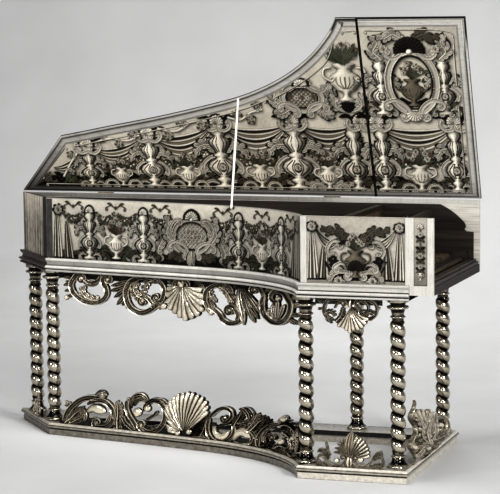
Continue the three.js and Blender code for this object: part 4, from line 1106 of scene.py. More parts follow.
# the shell with its lower lobes
C.fan((1348, 432), [(1198, 262), (1188, 226), (1206, 198), (1244, 158), (1300, 112), (1350, 106), (1402, 96), (1452, 118), (1506, 146), (1540, 190), (1548, 244), (1540, 280)], 0.026, n=13, gain=1.15)
for pts, w, g in (([(1320, 420), (1262, 372), (1196, 316)], 20, 1.1), ([(1316, 428), (1258, 400), (1194, 366)], 16, 1.0), ([(1318, 434), (1270, 430), (1206, 416)], 18, 1.1)):
    C.tongue(pts, w, 0.016, kind="round", gain=g)
C.ball(1236, 400, 30, 0.017, gain=1.1)
C.ball(1392, 428, 26, 0.014, 0.006, gain=0.8)
C.ball(1300, 440, 22, 0.014, 0.006, gain=0.9)
for pts in ([(1378, 444), (1470, 380), (1536, 300)], [(1384, 448), (1470, 412), (1530, 352)], [(1390, 452), (1460, 446), (1510, 410)]):
    C.tongue(pts, 22, 0.015, gain=0.35)
C.leaf([(1420, 470), (1470, 466), (1530, 472), (1580, 478)], 20, 0.010, lobes=4)

D = Motifs()
D.leaf([(226, 700), (276, 610), (302, 510), (330, 416)], 46, 0.011, lobes=6, gain=0.6)
D.leaf([(236, 712), (300, 680), (330, 640), (336, 590)], 34, 0.010, lobes=4, gain=0.6)
D.leaf([(190, 700), (240, 690), (290, 690), (330, 712)], 24, 0.012, lobes=4, gain=1.1)
D.band([(352, 462), (328, 560), (346, 662), (402, 732), (482, 757), (562, 737), (622, 684), (650, 606), (630, 540)], 26, H2, gain=1.1)
D.tongue([(394, 560), (420, 650), (500, 690), (590, 620)], 46, 0.014, kind="round", gain=1.2)
D.band([(356, 452), (416, 392), (482, 348), (556, 342), (612, 376), (626, 440), (590, 486)], 24, 0.016, end=(1, 62, 18, 300), gain=0.9)
D.tongue([(620, 520), (560, 530), (480, 545), (440, 560)], 22, 0.012, gain=0.7)
D.leaf([(640, 575), (680, 500), (730, 420), (760, 350)], 60, 0.013, lobes=6, gain=0.7)
D.leaf([(690, 520), (740, 520), (790, 500), (830, 470)], 34, 0.013, lobes=5, gain=1.1)
D.band([(700, 350), (756, 350), (806, 396), (832, 470)], 16, 0.016, gain=1.0)
D.band([(752, 336), (826, 352), (872, 410), (880, 450)], 15, 0.013, gain=0.6)
D.leaf([(800, 604), (862, 540), (906, 470), (940, 396)], 46, 0.013, lobes=6, gain=1.0)
D.tongue([(690, 620), (740, 560), (800, 560)], 26, 0.012, gain=1.1)
D.tongue([(636, 724), (676, 660), (752, 626), (846, 706)], 62, 0.017, kind="round", gain=1.1)
D.tongue([(640, 740), (700, 780), (780, 790), (850, 760)], 34, 0.013, kind="round", gain=1.0)
D.band([(796, 794), (856, 748), (862, 672), (818, 622), (752, 616)], 15, 0.016, gain=1.15)
D.band([(880, 802), (912, 734), (892, 656), (836, 606)], 14, 0.014, gain=0.9)
D.band([(924, 812), (946, 736), (920, 660), (874, 612)], 12, 0.012, gain=0.8)
D.leaf([(836, 618), (902, 560), (962, 500), (1050, 462)], 66, 0.013, lobes=6, gain=0.8)
D.leaf([(900, 630), (960, 590), (1030, 560), (1080, 470)], 40, 0.012, lobes=5, gain=0.5)
D.band([(942, 812), (946, 708), (996, 622), (1072, 560), (1158, 536), (1240, 538)], 28, 0.017, gain=0.95)
D.band([(1000, 752), (1016, 664), (1062, 604), (1130, 574)], 16, 0.013, base=0.003, gain=1.1)
D.tongue([(1190, 552), (1200, 500), (1216, 452)], 34, 0.017, kind="round", gain=0.5)
D.ball(1244, 470, 48, 0.020, gain=0.9)
D.leaf([(1204, 556), (1290, 548), (1370, 612), (1404, 720)], 76, 0.016, lobes=6, gain=0.6)
D.band([(1030, 766), (1022, 702), (1058, 656), (1110, 664)], 15, 0.014, end=(1, 36, 10, 400), base=0.002)
D.ball(1204, 742, 48, 0.018, gain=1.1)
D.ball(1350, 704, 34, 0.017, gain=1.0)
D.leaf([(1128, 828), (1200, 796), (1290, 820), (1362, 756)], 56, 0.014, lobes=6, gain=0.8)
D.leaf([(1236, 630), (1306, 690), (1344, 780), (1330, 860)], 50, 0.014, lobes=6, gain=0.8)
D.leaf([(1376, 624), (1420, 700), (1410, 800), (1390, 880)], 44, 0.013, lobes=6, gain=0.7)
D.leaf([(1040, 830), (1100, 850), (1160, 880), (1220, 930)], 40, 0.012, lobes=5, gain=0.9)
D.leaf([(1210, 900), (1280, 880), (1340, 920), (1400, 900)], 40, 0.012, lobes=5, gain=0.9)
D.leaf([(960, 800), (1010, 790), (1060, 780), (1100, 740)], 40, 0.012, lobes=5, gain=0.6)
CREST_OUT = 0.000
crest_table = Table((56, 384, 306, 466), lambda x, y: on_bent(x, y, CREST_OUT + 0.011), nx=60)
place_crest = lambda x, z, h: bent_map(x, z, h, CREST_OUT)
c_min, c_max = BENT_S[0] + 0.046, BENT_S[-1] - 0.070
m = Mesh()
carve(m, C, frame_of((20, 380), 8.25, crest_table, z_min=0.0508, x_min=c_min), place_crest)
carve(m, D, frame_of((180, 380), 12.06, crest_table, z_min=0.0508, x_max=c_max + 0.02), place_crest)
strip_board(m, place_crest, c_min, c_max, 0.0506, 0.074, -0.004, 0.004, 90)
strip_board(m, place_crest, 0.74, 0.82, 0.0506, 0.120, -0.004, 0.003, 10)
make("crest_bentside_carving", m, M_GILT, replaces=["crest_bentside"], smooth_angle=50)

# ---- the cheek's cresting and apron ---------------------------------------------------
def line_table(box, a, b, out):
    return Table(box, lambda x, y: on_line(x, y, a, b, out), 30, 24)


CH_A, CH_B = (1.480, WIDTH), (1.980, WIDTH)
E = Motifs()
E.band([(212, 1040), (240, 1008), (280, 1012), (322, 1056), (370, 1096), (420, 1102), (464, 1080), (484, 1044)], 15, 0.011, start=(-1, 32, 8, 420), end=(-1, 32, 8, 420))
E.band([(838, 1062), (806, 1030), (762, 1030), (712, 1060), (660, 1098), (604, 1106), (566, 1082), (548, 1048)], 15, 0.011, start=(1, 32, 8, 420), end=(1, 32, 8, 420))
for pts, w, g in (([(338, 1036), (300, 968), (250, 956), (214, 982)], 17, 0.7), ([(320, 1010), (280, 976), (236, 972)], 10, 0.9), ([(712, 1048), (752, 996), (800, 984), (832, 1022)], 17, 0.8), ([(722, 1050), (770, 1012), (816, 1030)], 11, 1.0)):
    E.tongue(pts, w, 0.013, gain=g)
E.tongue([(334, 992), (320, 940), (307, 882)], 13, 0.009, gain=0.9)
E.tongue([(350, 1010), (330, 975), (312, 950)], 12, 0.009, gain=0.8)
for pts in ([(492, 1030), (430, 984), (374, 978)], [(494, 1022), (436, 956), (384, 940)], [(496, 1016), (450, 930), (406, 902)], [(498, 1010), (466, 920), (432, 880)], [(500, 1005), (482, 920), (460, 866)]):
    E.tongue(pts, 15, 0.013, gain=0.85)
E.tongue([(514, 1024), (508, 950), (518, 870), (536, 802)], 40, 0.018, gain=1.1)
E.tongue([(502, 1020), (488, 940), (492, 870), (512, 822)], 20, 0.015, gain=0.8)
E.tongue([(530, 1020), (552, 940), (566, 880), (568, 826)], 22, 0.015, gain=0.9)
E.fan((522, 1030), [(566, 846), (596, 846), (624, 858), (650, 880), (668, 912), (684, 950), (694, 1000), (690, 1030)], 0.017, n=7, gain=0.85)
E.ball(404, 1052, 24, 0.014, gain=1.1)
E.ball(612, 1046, 28, 0.014, gain=1.1)
E.tongue([(506, 1118), (500, 1070), (510, 1018)], 17, 0.014, kind="round", gain=1.0)
E.tongue([(524, 1116), (532, 1070), (522, 1020)], 13, 0.012, kind="round", gain=0.9)
E.leaf([(700, 1118), (740, 1100), (780, 1095), (820, 1108)], 24, 0.011, lobes=4)
E.leaf([(330, 1110), (300, 1090), (270, 1080), (250, 1100)], 22, 0.011, lobes=4)
cheek_out = 0.004
cheek_low = line_table((300, 424, 410, 486), CH_A, CH_B, cheek_out + 0.008)
m = Mesh()
place = line_map(CH_A, CH_B, cheek_out)
# the front of the cheek lies to the left of the line run from low to high u
carve(m, E, frame_of((290, 340), 8.71, cheek_low, z_min=0.0508, x_min=0.050, x_max=0.346), place)
strip_board(m, place, 0.064, 0.320, 0.0506, 0.060, -0.005, 0.002, 12)
# the hollows of this carving are kept at a mid tone: less painted shade than on the other carvings
m.c = [np.maximum(c, 0.40) for c in m.c]
make("crest_cheek_carving", m, M_GILT, replaces=["crest_cheek"], smooth_angle=50)

F = Motifs()
F.band([(505, 1146), (442, 1130), (374, 1140), (326, 1190), (320, 1254), (352, 1306), (412, 1338)], 19, 0.012, start=(1, 30, 8, 320))
F.band([(646, 1146), (712, 1134), (776, 1152), (824, 1206), (820, 1268), (776, 1312), (716, 1334)], 19, 0.012, start=(-1, 30, 8, 320))
F.leaf([(330, 1270), (372, 1250), (404, 1262), (420, 1300)], 30, 0.011, lobes=5)
F.leaf([(428, 1350), (474, 1306), (496, 1256), (500, 1200)], 34, 0.011, lobes=5)
F.leaf([(810, 1290), (772, 1262), (742, 1262), (716, 1300)], 30, 0.011, lobes=5)
F.leaf([(716, 1340), (676, 1300), (650, 1256), (640, 1200)], 34, 0.011, lobes=5)
F.band([(606, 1190), (630, 1156), (676, 1150), (722, 1174), (742, 1214), (728, 1252)], 12, 0.012, end=(1, 28, 7, 380), base=0.003)
F.band([(548, 1190), (524, 1160), (480, 1160), (440, 1185), (420, 1220)], 12, 0.011, base=0.003)
for pts, w in (([(330, 1184), (290, 1160), (236, 1132)], 18), ([(316, 1206), (272, 1226), (244, 1214)], 14), ([(326, 1170), (300, 1140), (262, 1138)], 12), ([(820, 1190), (860, 1168), (908, 1164)], 18), ([(826, 1210), (856, 1224), (884, 1214)], 13), ([(800, 1150), (850, 1140), (900, 1150)], 12),
               ([(332, 1290), (350, 1330), (392, 1348)], 16), ([(800, 1290), (770, 1326), (736, 1336)], 14), ([(390, 1330), (380, 1350), (400, 1362)], 12)):
    F.tongue(pts, w, 0.012, gain=0.8)
F.ball(252, 1222, 14, 0.011)
F.ball(866, 1226, 15, 0.011)
F.fan((572, 1208), [(436, 1376), (452, 1400), (478, 1404), (510, 1416), (552, 1462), (584, 1448), (618, 1428), (656, 1428), (700, 1396), (742, 1342), (740, 1310)], 0.018, n=9, gain=1.05)
F.ball(540, 1196, 17, 0.013, 0.006)
F.ball(604, 1194, 17, 0.013, 0.006)
F.tongue([(572, 1230), (566, 1180), (576, 1136)], 16, 0.014, kind="round")
apron_out = -0.010
cheek_top = line_table((300, 292, 410, 342), CH_A, CH_B, apron_out + 0.010)
m = Mesh()
place = line_map(CH_A, CH_B, apron_out)
carve(m, F, frame_of((290, 180), 9.5, cheek_top, z_max=0.6872, x_min=0.050, x_max=0.334), place)
strip_board(m, place, 0.062, 0.322, 0.664, 0.6874, -0.006, 0.001, 12)
make("apron_cheek_carving", m, M_GILT, replaces=["apron_cheek"], smooth_angle=50)

# ---- the cresting at the keyboard end and the small one at the tail --------------------
FR_A, FR_B = (STAND_END - 0.011, WIDTH), (STAND_END - 0.011, 0.0)
G = Motifs()
for pts, w, g in (([(1068, 790), (1050, 700), (1060, 620), (1078, 538)], 24, 0.9), ([(1046, 780), (1028, 712), (1036, 650)], 15, 0.6), ([(1080, 760), (1090, 690), (1090, 600)], 16, 0.7),
                  ([(1060, 740), (1040, 700), (1026, 700)], 14, 0.5)):
    G.tongue(pts, w, 0.012, gain=g)
G.fan((1196, 900), [(1090, 640), (1104, 606), (1130, 596), (1162, 602), (1196, 612), (1216, 600), (1250, 618), (1272, 660), (1284, 720), (1296, 780)], 0.022, n=10, gain=0.9)
G.leaf([(1190, 900), (1166, 800), (1186, 700), (1170, 610)], 40, 0.010, lobes=7, gain=1.0, base=0.016)
G.leaf([(1200, 900), (1232, 820), (1236, 730), (1256, 640)], 34, 0.010, lobes=6, gain=0.8, base=0.014)
G.leaf([(1180, 900), (1128, 830), (1118, 740), (1100, 660)], 34, 0.010, lobes=6, gain=0.85, base=0.014)
G.band([(1266, 700), (1296, 674), (1340, 678), (1376, 724), (1370, 780), (1326, 806)], 15, 0.014, end=(1, 36, 9, 400))
G.ball(1322, 742, 26, 0.015, gain=1.1)
G.leaf([(1182, 905), (1120, 866), (1072, 800), (1046, 736)], 42, 0.012, lobes=6, gain=0.7)
G.leaf([(1180, 912), (1110, 922), (1046, 886), (1000, 836)], 44, 0.012, lobes=6, gain=1.0)
G.leaf([(1186, 905), (1120, 980), (1060, 1020), (1012, 1052)], 44, 0.012, lobes=6, gain=0.9)
G.leaf([(1226, 880), (1300, 856), (1370, 808), (1404, 740)], 40, 0.012, lobes=6, gain=0.8)
G.leaf([(1146, 920), (1200, 960), (1220, 1010), (1150, 1040)], 30, 0.012, lobes=5, gain=0.9)
G.leaf([(1260, 860), (1300, 890), (1290, 930), (1250, 960)], 26, 0.012, lobes=4, gain=0.7)
G.ball(1098, 934, 30, 0.016, gain=1.1)
G.ball(1214, 944, 22, 0.014, gain=1.0)
G.ball(1170, 900, 20, 0.016, gain=0.5)
G.leaf([(1010, 1050), (1000, 980), (990, 920), (1000, 860)], 26, 0.012, lobes=4, gain=0.7)
front_table = line_table((400, 396, 462, 474), FR_A, FR_B, 0.010)
m = Mesh()
front_plane = line_map(FR_A, FR_B, 0.0)


def place(x, z, h):
    """The keyboard end's plane, the carving near its middle swaying in and out a little."""
    near = np.exp(-np.abs(x - 0.07) / 0.06)
    return front_plane(x + 0.018 * np.sin((z - 0.05) * 55) * near, z, h + 0.007 * np.sin((z - 0.05) * 60) * near)


carve(m, G, frame_of((290, 340), 8.71, front_table, z_min=0.0508, x_min=0.070, x_max=0.700), place)
strip_board(m, place, 0.100, 0.690, 0.0506, 0.072, -0.006, 0.003, 20)
# the hollows of this carving are kept at a mid tone: less painted shade than on the other carvings
m.c = [np.maximum(c, 0.40) for c in m.c]
make("crest_front_carving", m, M_GILT, replaces=["crest_front"], smooth_angle=50)

TA, TB = (0.068, 0.092), (0.1504, 0.1886)
K = Motifs()
K.leaf([(0.088, 0.050), (0.090, 0.080), (0.096, 0.118), (0.104, 0.152)], 0.015, 0.010, lobes=6, gain=0.8)
for pts, w, g in (([(0.060, 0.052), (0.040, 0.072), (0.018, 0.104)], 0.008, 0.8), ([(0.062, 0.052), (0.052, 0.084), (0.044, 0.118)], 0.008, 0.9), ([(0.066, 0.052), (0.070, 0.086), (0.068, 0.112)], 0.008, 0.7),
                  ([(0.052, 0.052), (0.030, 0.060), (0.010, 0.078)], 0.007, 0.9), ([(0.100, 0.052), (0.112, 0.070), (0.118, 0.094)], 0.006, 0.8)):
    K.tongue(pts, w, 0.010, gain=g)
K.leaf([(0.022, 0.056), (0.050, 0.060), (0.080, 0.058), (0.112, 0.062)], 0.010, 0.012, lobes=5, gain=0.9)
K.ball(0.062, 0.060, 0.009, 0.014, gain=0.9)
m = Mesh()
place = line_map(TA, TB, 0.0)
carve(m, K, lambda X, Y: (np.clip(X, 0.003, 0.124), np.maximum(Y, 0.0508)), place)
strip_board(m, place, 0.006, 0.121, 0.0506, 0.066, -0.006, 0.002, 6)
make("crest_tail_carving", m, M_GILT, replaces=["crest_tail"], smooth_angle=50)

# ---- painting ---------------------------------------------------------------------
STONE = ((0.010, 0.009, 0.007), (0.90, 0.87, 0.80))
PALE = ((0.045, 0.040, 0.032), (1.0, 0.98, 0.92))
BRONZE = ((0.0015, 0.0014, 0.0012), (0.19, 0.17, 0.135))
DEEP = ((0.0006, 0.0006, 0.0005), (0.024, 0.021, 0.018))
GREEN = ((0.002, 0.0025, 0.002), (0.17, 0.185, 0.135))
RED = ((0.006, 0.004, 0.003), (0.38, 0.28, 0.235))
BLUE = ((0.010, 0.012, 0.015), (0.40, 0.42, 0.44))


def blur(a, r):
    """Three passes of a running mean of radius r pixels."""
    r = int(max(1, r))
    for _ in range(3):
        for ax in (0, 1):
            pad = [(r + 1, r) if k == ax else (0, 0) for k in range(a.ndim)]
            c = np.cumsum(np.pad(a, pad, mode="edge"), axis=ax)
            hi = np.take(c, range(2 * r + 1, c.shape[ax]), axis=ax)
            lo = np.take(c, range(0, c.shape[ax] - 2 * r - 1), axis=ax)
            a = (hi - lo) / (2 * r + 1)
    return a


class Canvas:
    """A painted field: colours on a raster in the field's own metres, used only to colour the vertices of its mesh."""

    def __init__(self, x0, y0, x1, y1, step=0.001):
        self.x0, self.y0, self.step = x0, y0, step
        self.nx, self.ny = int((x1 - x0) / step) + 1, int((y1 - y0) / step) + 1
        self.c = np.zeros((self.ny, self.nx, 3))
        self.X, self.Y = np.meshgrid(x0 + np.arange(self.nx) * step, y0 + np.arange(self.ny) * step)

    def clouds(self, size, seed, octaves=4):
        out = np.zeros((self.ny, self.nx))
        rng = np.random.default_rng(seed)
        amp, tot = 1.0, 0.0
        for o in range(octaves):
            k = size / 2 ** o / self.step
            gx, gy = int(self.nx / k) + 3, int(self.ny / k) + 3
            g = rng.random((gy, gx))
            fx, fy = np.arange(self.nx) / k, np.arange(self.ny) / k
            i, j = fx.astype(int), fy.astype(int)
            a, b = fx - i, fy - j
            a, b = a * a * (3 - 2 * a), b * b * (3 - 2 * b)
            row = g[j][:, i] * (1 - a) + g[j][:, i + 1] * a
            row2 = g[j + 1][:, i] * (1 - a) + g[j + 1][:, i + 1] * a
            out += amp * (row * (1 - b)[:, None] + row2 * b[:, None])
            tot += amp
            amp *= 0.55
        return out / tot

    def ground(self, value, tint=(1.0, 0.965, 0.90)):
        self.c = np.clip(value, 0, 1)[..., None] * np.array(tint)

    def lay(self, motifs, tone=STONE, shadow=(0.004, -0.005, 3, 0.6), light=(-0.52, 0.60, 0.61), relief=1.0, alpha=1.0, outline=0.0):
        layer, mask = np.zeros_like(self.c), np.zeros((self.ny, self.nx))
        L = np.array(light) / np.linalg.norm(light)
        for X, Y, H, C, back, t in motifs.strips:
            dark, bright = (np.array(a) for a in (t or tone))
            du = np.hypot(np.diff(X, axis=0), np.diff(Y, axis=0)).max() / self.step
            dv = np.hypot(np.diff(X, axis=1), np.diff(Y, axis=1)).max() / self.step
            fu, fv = max(1, int(math.ceil(du / 0.7))), max(1, int(math.ceil(dv / 0.7)))

            def up(a):
                n, k = a.shape
                i = np.linspace(0, n - 1, (n - 1) * fu + 1)
                i0 = np.minimum(i.astype(int), n - 2)
                a = a[i0] + (a[i0 + 1] - a[i0]) * (i - i0)[:, None]
                j = np.linspace(0, k - 1, (k - 1) * fv + 1)
                j0 = np.minimum(j.astype(int), k - 2)
                return a[:, j0] + (a[:, j0 + 1] - a[:, j0]) * (j - j0)[None]
            x, y, h, c = up(X), up(Y), up(H) * relief, up(C)
            gu = [np.gradient(q, axis=0) for q in (x, y, h)]
            gv = [np.gradient(q, axis=1) for q in (x, y, h)]
            nx = gu[1] * gv[2] - gu[2] * gv[1]
            ny = gu[2] * gv[0] - gu[0] * gv[2]
            nz = gu[0] * gv[1] - gu[1] * gv[0]
            ln = np.sqrt(nx ** 2 + ny ** 2 + nz ** 2) + 1e-12
            s = np.sign(nz) / ln
            shade = np.clip((nx * L[0] + ny * L[1] + nz * L[2]) * s, 0, 1)
            k = np.clip(0.10 * c + 0.90 * shade ** 1.3 * (0.25 + 0.75 * c), 0, 1) ** 0.9
            col = dark + (bright - dark) * k[..., None]
            ix = np.clip(((x - self.x0) / self.step).astype(int), 0, self.nx - 1).ravel()
            iy = np.clip(((y - self.y0) / self.step).astype(int), 0, self.ny - 1).ravel()
            layer[iy, ix] = col.reshape(-1, 3)
            mask[iy, ix] = 1.0
        if shadow:
            dx, dy, r, k = shadow
            sh = np.roll(np.roll(mask, int(round(dx / self.step)), 1), int(round(dy / self.step)), 0)
            sh = blur(sh, r)
            self.c *= (1 - k * np.clip(sh, 0, 1))[..., None]
        if outline:
            o = np.clip(blur(mask, 1) * 2.2, 0, 1) * outline
            self.c *= (1 - o)[..., None]
        m = (mask * alpha)[..., None]
        self.c = self.c * (1 - m) + layer * m

    def sample(self, x, y):
        fx = np.clip((x - self.x0) / self.step, 0, self.nx - 1.001)
        fy = np.clip((y - self.y0) / self.step, 0, self.ny - 1.001)
        i, j = fx.astype(int), fy.astype(int)
        a, b = (fx - i)[..., None], (fy - j)[..., None]
        c = self.c
        return c[j, i] * (1 - a) * (1 - b) + c[j, i + 1] * a * (1 - b) + c[j + 1, i] * (1 - a) * b + c[j + 1, i + 1] * a * b


def with_tone(motifs, tone):
    motifs.tone = tone
    return motifs


# Ready-made ornaments, in metres with y up.
def rosette(M, x, y, r, petals=8, tone=None, core=None):
    M.tone = tone
    for i in range(petals):
        a = 2 * math.pi * i / petals + 0.2
        M.tongue([(x + 0.15 * r * math.cos(a), y + 0.15 * r * math.sin(a)), (x + 0.6 * r * math.cos(a + 0.08), y + 0.6 * r * math.sin(a + 0.08)), (x + r * math.cos(a + 0.2), y + r * math.sin(a + 0.2))], r * 0.36, r * 0.35)
    M.tone = core or tone
    M.ball(x, y, r * 0.30, r * 0.4)
    M.tone = None


def garland(M, p0, p1, sag, thick, seed=1, tones=(GREEN, BRONZE, RED)):
    rng = np.random.default_rng(seed)
    p0, p1 = np.array(p0, float), np.array(p1, float)
    n = int(np.linalg.norm(p1 - p0) / (thick * 0.42)) + 4
    for i in range(n):
        t = (i + 0.5) / n
        q = p0 * (1 - t) + p1 * t - np.array([0, sag * 4 * t * (1 - t)])
        fat = thick * (0.45 + 0.75 * math.sin(math.pi * t) ** 0.8)
        d = (p1 - p0) + np.array([0, -sag * 4 * (1 - 2 * t)])
        a = math.atan2(d[1], d[0])
        for side in (1, -1, 0.2):
            b = a + side * (0.9 + 0.5 * rng.random()) + (math.pi if rng.random() < 0.3 else 0)
            M.tone = tones[int(rng.integers(0, 2))]
            M.tongue([q, q + fat * 0.55 * np.array([math.cos(b), math.sin(b)]), q + fat * 0.95 * np.array([math.cos(b + 0.3 * side), math.sin(b + 0.3 * side)])], fat * 0.22, fat * 0.3)
        for _ in range(2):
            o = (rng.random(2) - 0.5) * fat * 0.9
            M.tone = [RED, STONE, BRONZE, PALE][int(rng.integers(0, 4))]
            M.ball(q[0] + o[0], q[1] + o[1], fat * (0.12 + 0.13 * rng.random()), fat * 0.3)
    M.tone = None


def festoon(M, p0, p1, sag, thick, folds=6, tones=(STONE, RED)):
    """Hanging drapery: nested folds between two points."""
    p0, p1 = np.array(p0, float), np.array(p1, float)
    for j in range(folds):
        f = j / (folds - 1)
        t = np.linspace(0.0, 1.0, 26)
        depth = sag + thick * (f - 0.2)
        path = p0 * (1 - t[:, None]) + p1 * t[:, None] - np.outer((4 * t * (1 - t)) ** 0.9 * depth, [0, 1])
        w = thick / folds * (0.22 + 0.78 * np.sin(math.pi * t) ** 0.8) * (0.9 if j % 2 else 0.7)
        M.tone = tones[j % len(tones)]
        M.strip(path, w, thick * 0.22, "round", 0.0, 0.6 + 0.4 * (j % 2))
    M.tone = None


def hanging(M, x, y0, y1, width, folds=5, tones=(STONE, RED), sway=0.0):
    """A fall of drapery, its folds opening downwards."""
    for j in range(folds):
        f = (j + 0.5) / folds - 0.5
        t = np.linspace(0, 1, 20)
        path = np.stack([x + sway * t + f * width * (0.25 + 0.75 * t ** 0.7), y0 + (y1 - y0) * t - 0.03 * width * math.cos(j * 2.1) * t], 1)
        M.tone = tones[j % len(tones)]
        M.strip(path, width / folds * (0.2 + 0.5 * t ** 0.7), width * 0.16, "round", 0.0, 0.7 + 0.3 * (j % 2))
    M.tone = None


def urn(M, x, y, h, tone=STONE, flowers=True, seed=3):
    prof = [(0, .16), (.03, .18), (.05, .10), (.12, .06), (.17, .09), (.22, .20), (.34, .30), (.46, .33), (.54, .27), (.60, .17), (.66, .14), (.72, .22), (.76, .24), (.78, .20)]
    t = np.linspace(0, 0.78, 40)
    w = np.interp(t, [q[0] for q in prof], [q[1] for q in prof]) * h
    M.tone = tone
    M.strip(np.stack([np.full(40, x), y + t * h], 1), w, h * 0.16, "round")
    for k in (-1, 1):
        M.band([(x + k * 0.24 * h, y + 0.70 * h), (x + k * 0.40 * h, y + 0.66 * h), (x + k * 0.42 * h, y + 0.50 * h), (x + k * 0.31 * h, y + 0.42 * h)], 0.026 * h, 0.04 * h, "round", end=(-k, 0.06 * h, 0.02 * h, 300))
    for i in range(-2, 3):
        M.tone = BRONZE
        M.strip(spline([(x + i * 0.02 * h, y + 0.24 * h), (x + i * 0.085 * h, y + 0.36 * h), (x + i * 0.09 * h, y + 0.50 * h)], 12), 0.010 * h, 0.01 * h, "round")
    if flowers:
        rng = np.random.default_rng(seed)
        for i in range(15):
            a = math.pi * (0.08 + 0.84 * rng.random())
            r = h * (0.10 + 0.42 * rng.random())
            q = np.array([x + r * math.cos(a) * 1.05, y + 0.80 * h + r * math.sin(a)])
            M.tone = GREEN if i % 2 else BRONZE
            M.tongue([(x, y + 0.76 * h), ((x + q[0]) / 2, (y + 0.76 * h + q[1]) / 2 + 0.03 * h), q], 0.05 * h, 0.06 * h)
        for i in range(9):
            a = math.pi * (0.12 + 0.76 * (i + 0.5) / 9)
            r = h * (0.20 + 0.20 * rng.random())
            rosette(M, x + r * math.cos(a) * 1.05, y + 0.84 * h + r * math.sin(a), h * (0.055 + 0.04 * rng.random()), 6, [PALE, RED, STONE][i % 3], BRONZE)
    M.tone = None


def oval(M, x, y, rx, ry, w, tone=STONE, h=0.006):
    a = np.linspace(0, 2 * math.pi, 73)
    M.tone = tone
    M.strip(np.stack([x + rx * np.cos(a), y + ry * np.sin(a)], 1), w, h, "channel")
    M.tone = None


def c_scroll(M, p, q, bulge, w, tone=None, r=None, h=None, kind="channel"):
    """A C-scroll from p to q, bulging to the left of the way, a volute at each end."""
    p, q = np.array(p, float), np.array(q, float)
    d = q - p
    L = np.linalg.norm(d)
    n = np.array([-d[1], d[0]]) / L
    s = 1 if bulge > 0 else -1
    r = r or L * 0.16
    M.tone = tone
    M.band([p, p + d * 0.16 + n * bulge * 0.72, p + d * 0.5 + n * bulge, p + d * 0.84 + n * bulge * 0.72, q], w, h or w * 0.7, kind,
           start=(s, r, r * 0.28, 380), end=(-s, r, r * 0.28, 380), taper=(0.8, 0.8))
    M.tone = None


def rinceau(M, points, r, w, tone=BRONZE, leaf_tone=None, rose=True, side=1):
    """A running scroll: a stem through the points with a leafy spiral at each of them."""
    path = spline(points, 80)
    M.tone = tone
    M.strip(path, w, w * 0.7, "round")
    d = headings(path)
    m = len(points)
    for i in range(m - 1):
        k = int((i + 0.55) / (m - 1) * 79)
        s = side if i % 2 == 0 else -side
        a = math.atan2(d[k][1], d[k][0])
        M.tone = tone
        vol, kk = volute(path[k], a, s, r, r * 0.30, 470)
        M.strip(vol, w * (0.9 * kk + 0.25), w * 0.8, "channel")
        c = vol[-1]
        M.tone = leaf_tone or tone
        for t in (6, 11, 16, 21, 26):
            if t < len(vol) - 2:
                dd = vol[t + 1] - vol[t]
                aa = math.atan2(dd[1], dd[0])
                for sd, ln in ((-s, 0.75), (s, 0.4)):
                    z = r * ln * (1 - 0.02 * t)
                    b = aa + sd * 0.75
                    M.tongue([vol[t], vol[t] + 0.5 * z * np.array([math.cos(b), math.sin(b)]), vol[t] + z * np.array([math.cos(b - sd * 0.5), math.sin(b - sd * 0.5)])], z * 0.30, z * 0.25)
        if rose:
            rosette(M, c[0], c[1], r * 0.42, 7, STONE, BRONZE)
    M.tone = None


# The lid's field: u along, v up from the hinge line.
def plume(M, pts, w, light=STONE, dark=DEEP, lobes=7):
    """A light leaf on a dark one."""
    M.tone = dark
    M.leaf(pts, w * 1.30, 0.004, lobes=lobes)
    M.tone = light
    M.leaf(pts, w, 0.009, lobes=lobes)
    M.tone = None


STAND_PROFILE = [(0, .17), (.03, .17), (.045, .08), (.08, .05), (.11, .10), (.14, .12), (.17, .06), (.20, .09), (.27, .185), (.34, .215), (.41, .18), (.46, .09), (.49, .065), (.51, .11),
                 (.54, .11), (.56, .06), (.62, .09), (.70, .145), (.76, .155), (.80, .10), (.83, .06), (.86, .10), (.90, .13), (.93, .13), (.96, .10), (1.0, .12)]


def stand(M, u, v0, h, tone=PALE, arms=True, slim=1.0):
    """A baluster stand with leaf arms and an oval boss."""
    a = lambda x, y: (u + x * h * slim, v0 + y * h)
    for s in (-1, 1):
        if arms:
            plume(M, [a(s * .03, .52), a(s * .15, .68), a(s * .32, .66), a(s * .40, .48)], .085 * h, STONE, DEEP, 6)
            c_scroll(M, a(s * .05, .50), a(s * .30, .30), s * 0.07 * h, .034 * h, PALE, .065 * h)
        plume(M, [a(s * .04, .06), a(s * .18, .14), a(s * .34, .07), a(s * .46, .15)], .075 * h, BRONZE, DEEP, 6)
        c_scroll(M, a(s * .07, .03), a(s * .30, .04), s * 0.07 * h, .030 * h, STONE, .055 * h)
    t = np.linspace(0, 1.0, 60)
    w = np.interp(t, [q[0] for q in STAND_PROFILE], [q[1] for q in STAND_PROFILE]) * h * slim
    path = np.stack([np.full(60, u), v0 + t * h], 1)
    M.tone = DEEP
    M.strip(path, w + 0.006, h * 0.05, "round")
    M.tone = tone
    M.strip(path, w, h * 0.15, "round")
    for i in (-2, -1, 1, 2):
        M.tone = DEEP
        M.strip(spline([a(i * .025, .21), a(i * .082, .33), a(i * .030, .45)], 14), .007 * h, .01 * h, "round")
        M.strip(spline([a(i * .020, .58), a(i * .056, .72), a(i * .030, .82)], 12), .006 * h, .01 * h, "round")
    M.tone = BRONZE
    M.ball(u, v0 + .33 * h, .062 * h, .05 * h, squash=1.25)
    rosette(M, u, v0 + .33 * h, .052 * h, 8, PALE, RED)


lid = Canvas(0.0, 0.0, 2.0, 0.80, 0.001)


def LID_GAIN(u):
    """The drawing is a little lighter towards the tail, where the lid turns from the light."""
    return np.interp(u, [0.2, 0.5, 0.9, 1.3, 1.55, 1.7, 2.0], [1.40, 1.34, 1.20, 1.06, 1.06, 1.12, 1.12])


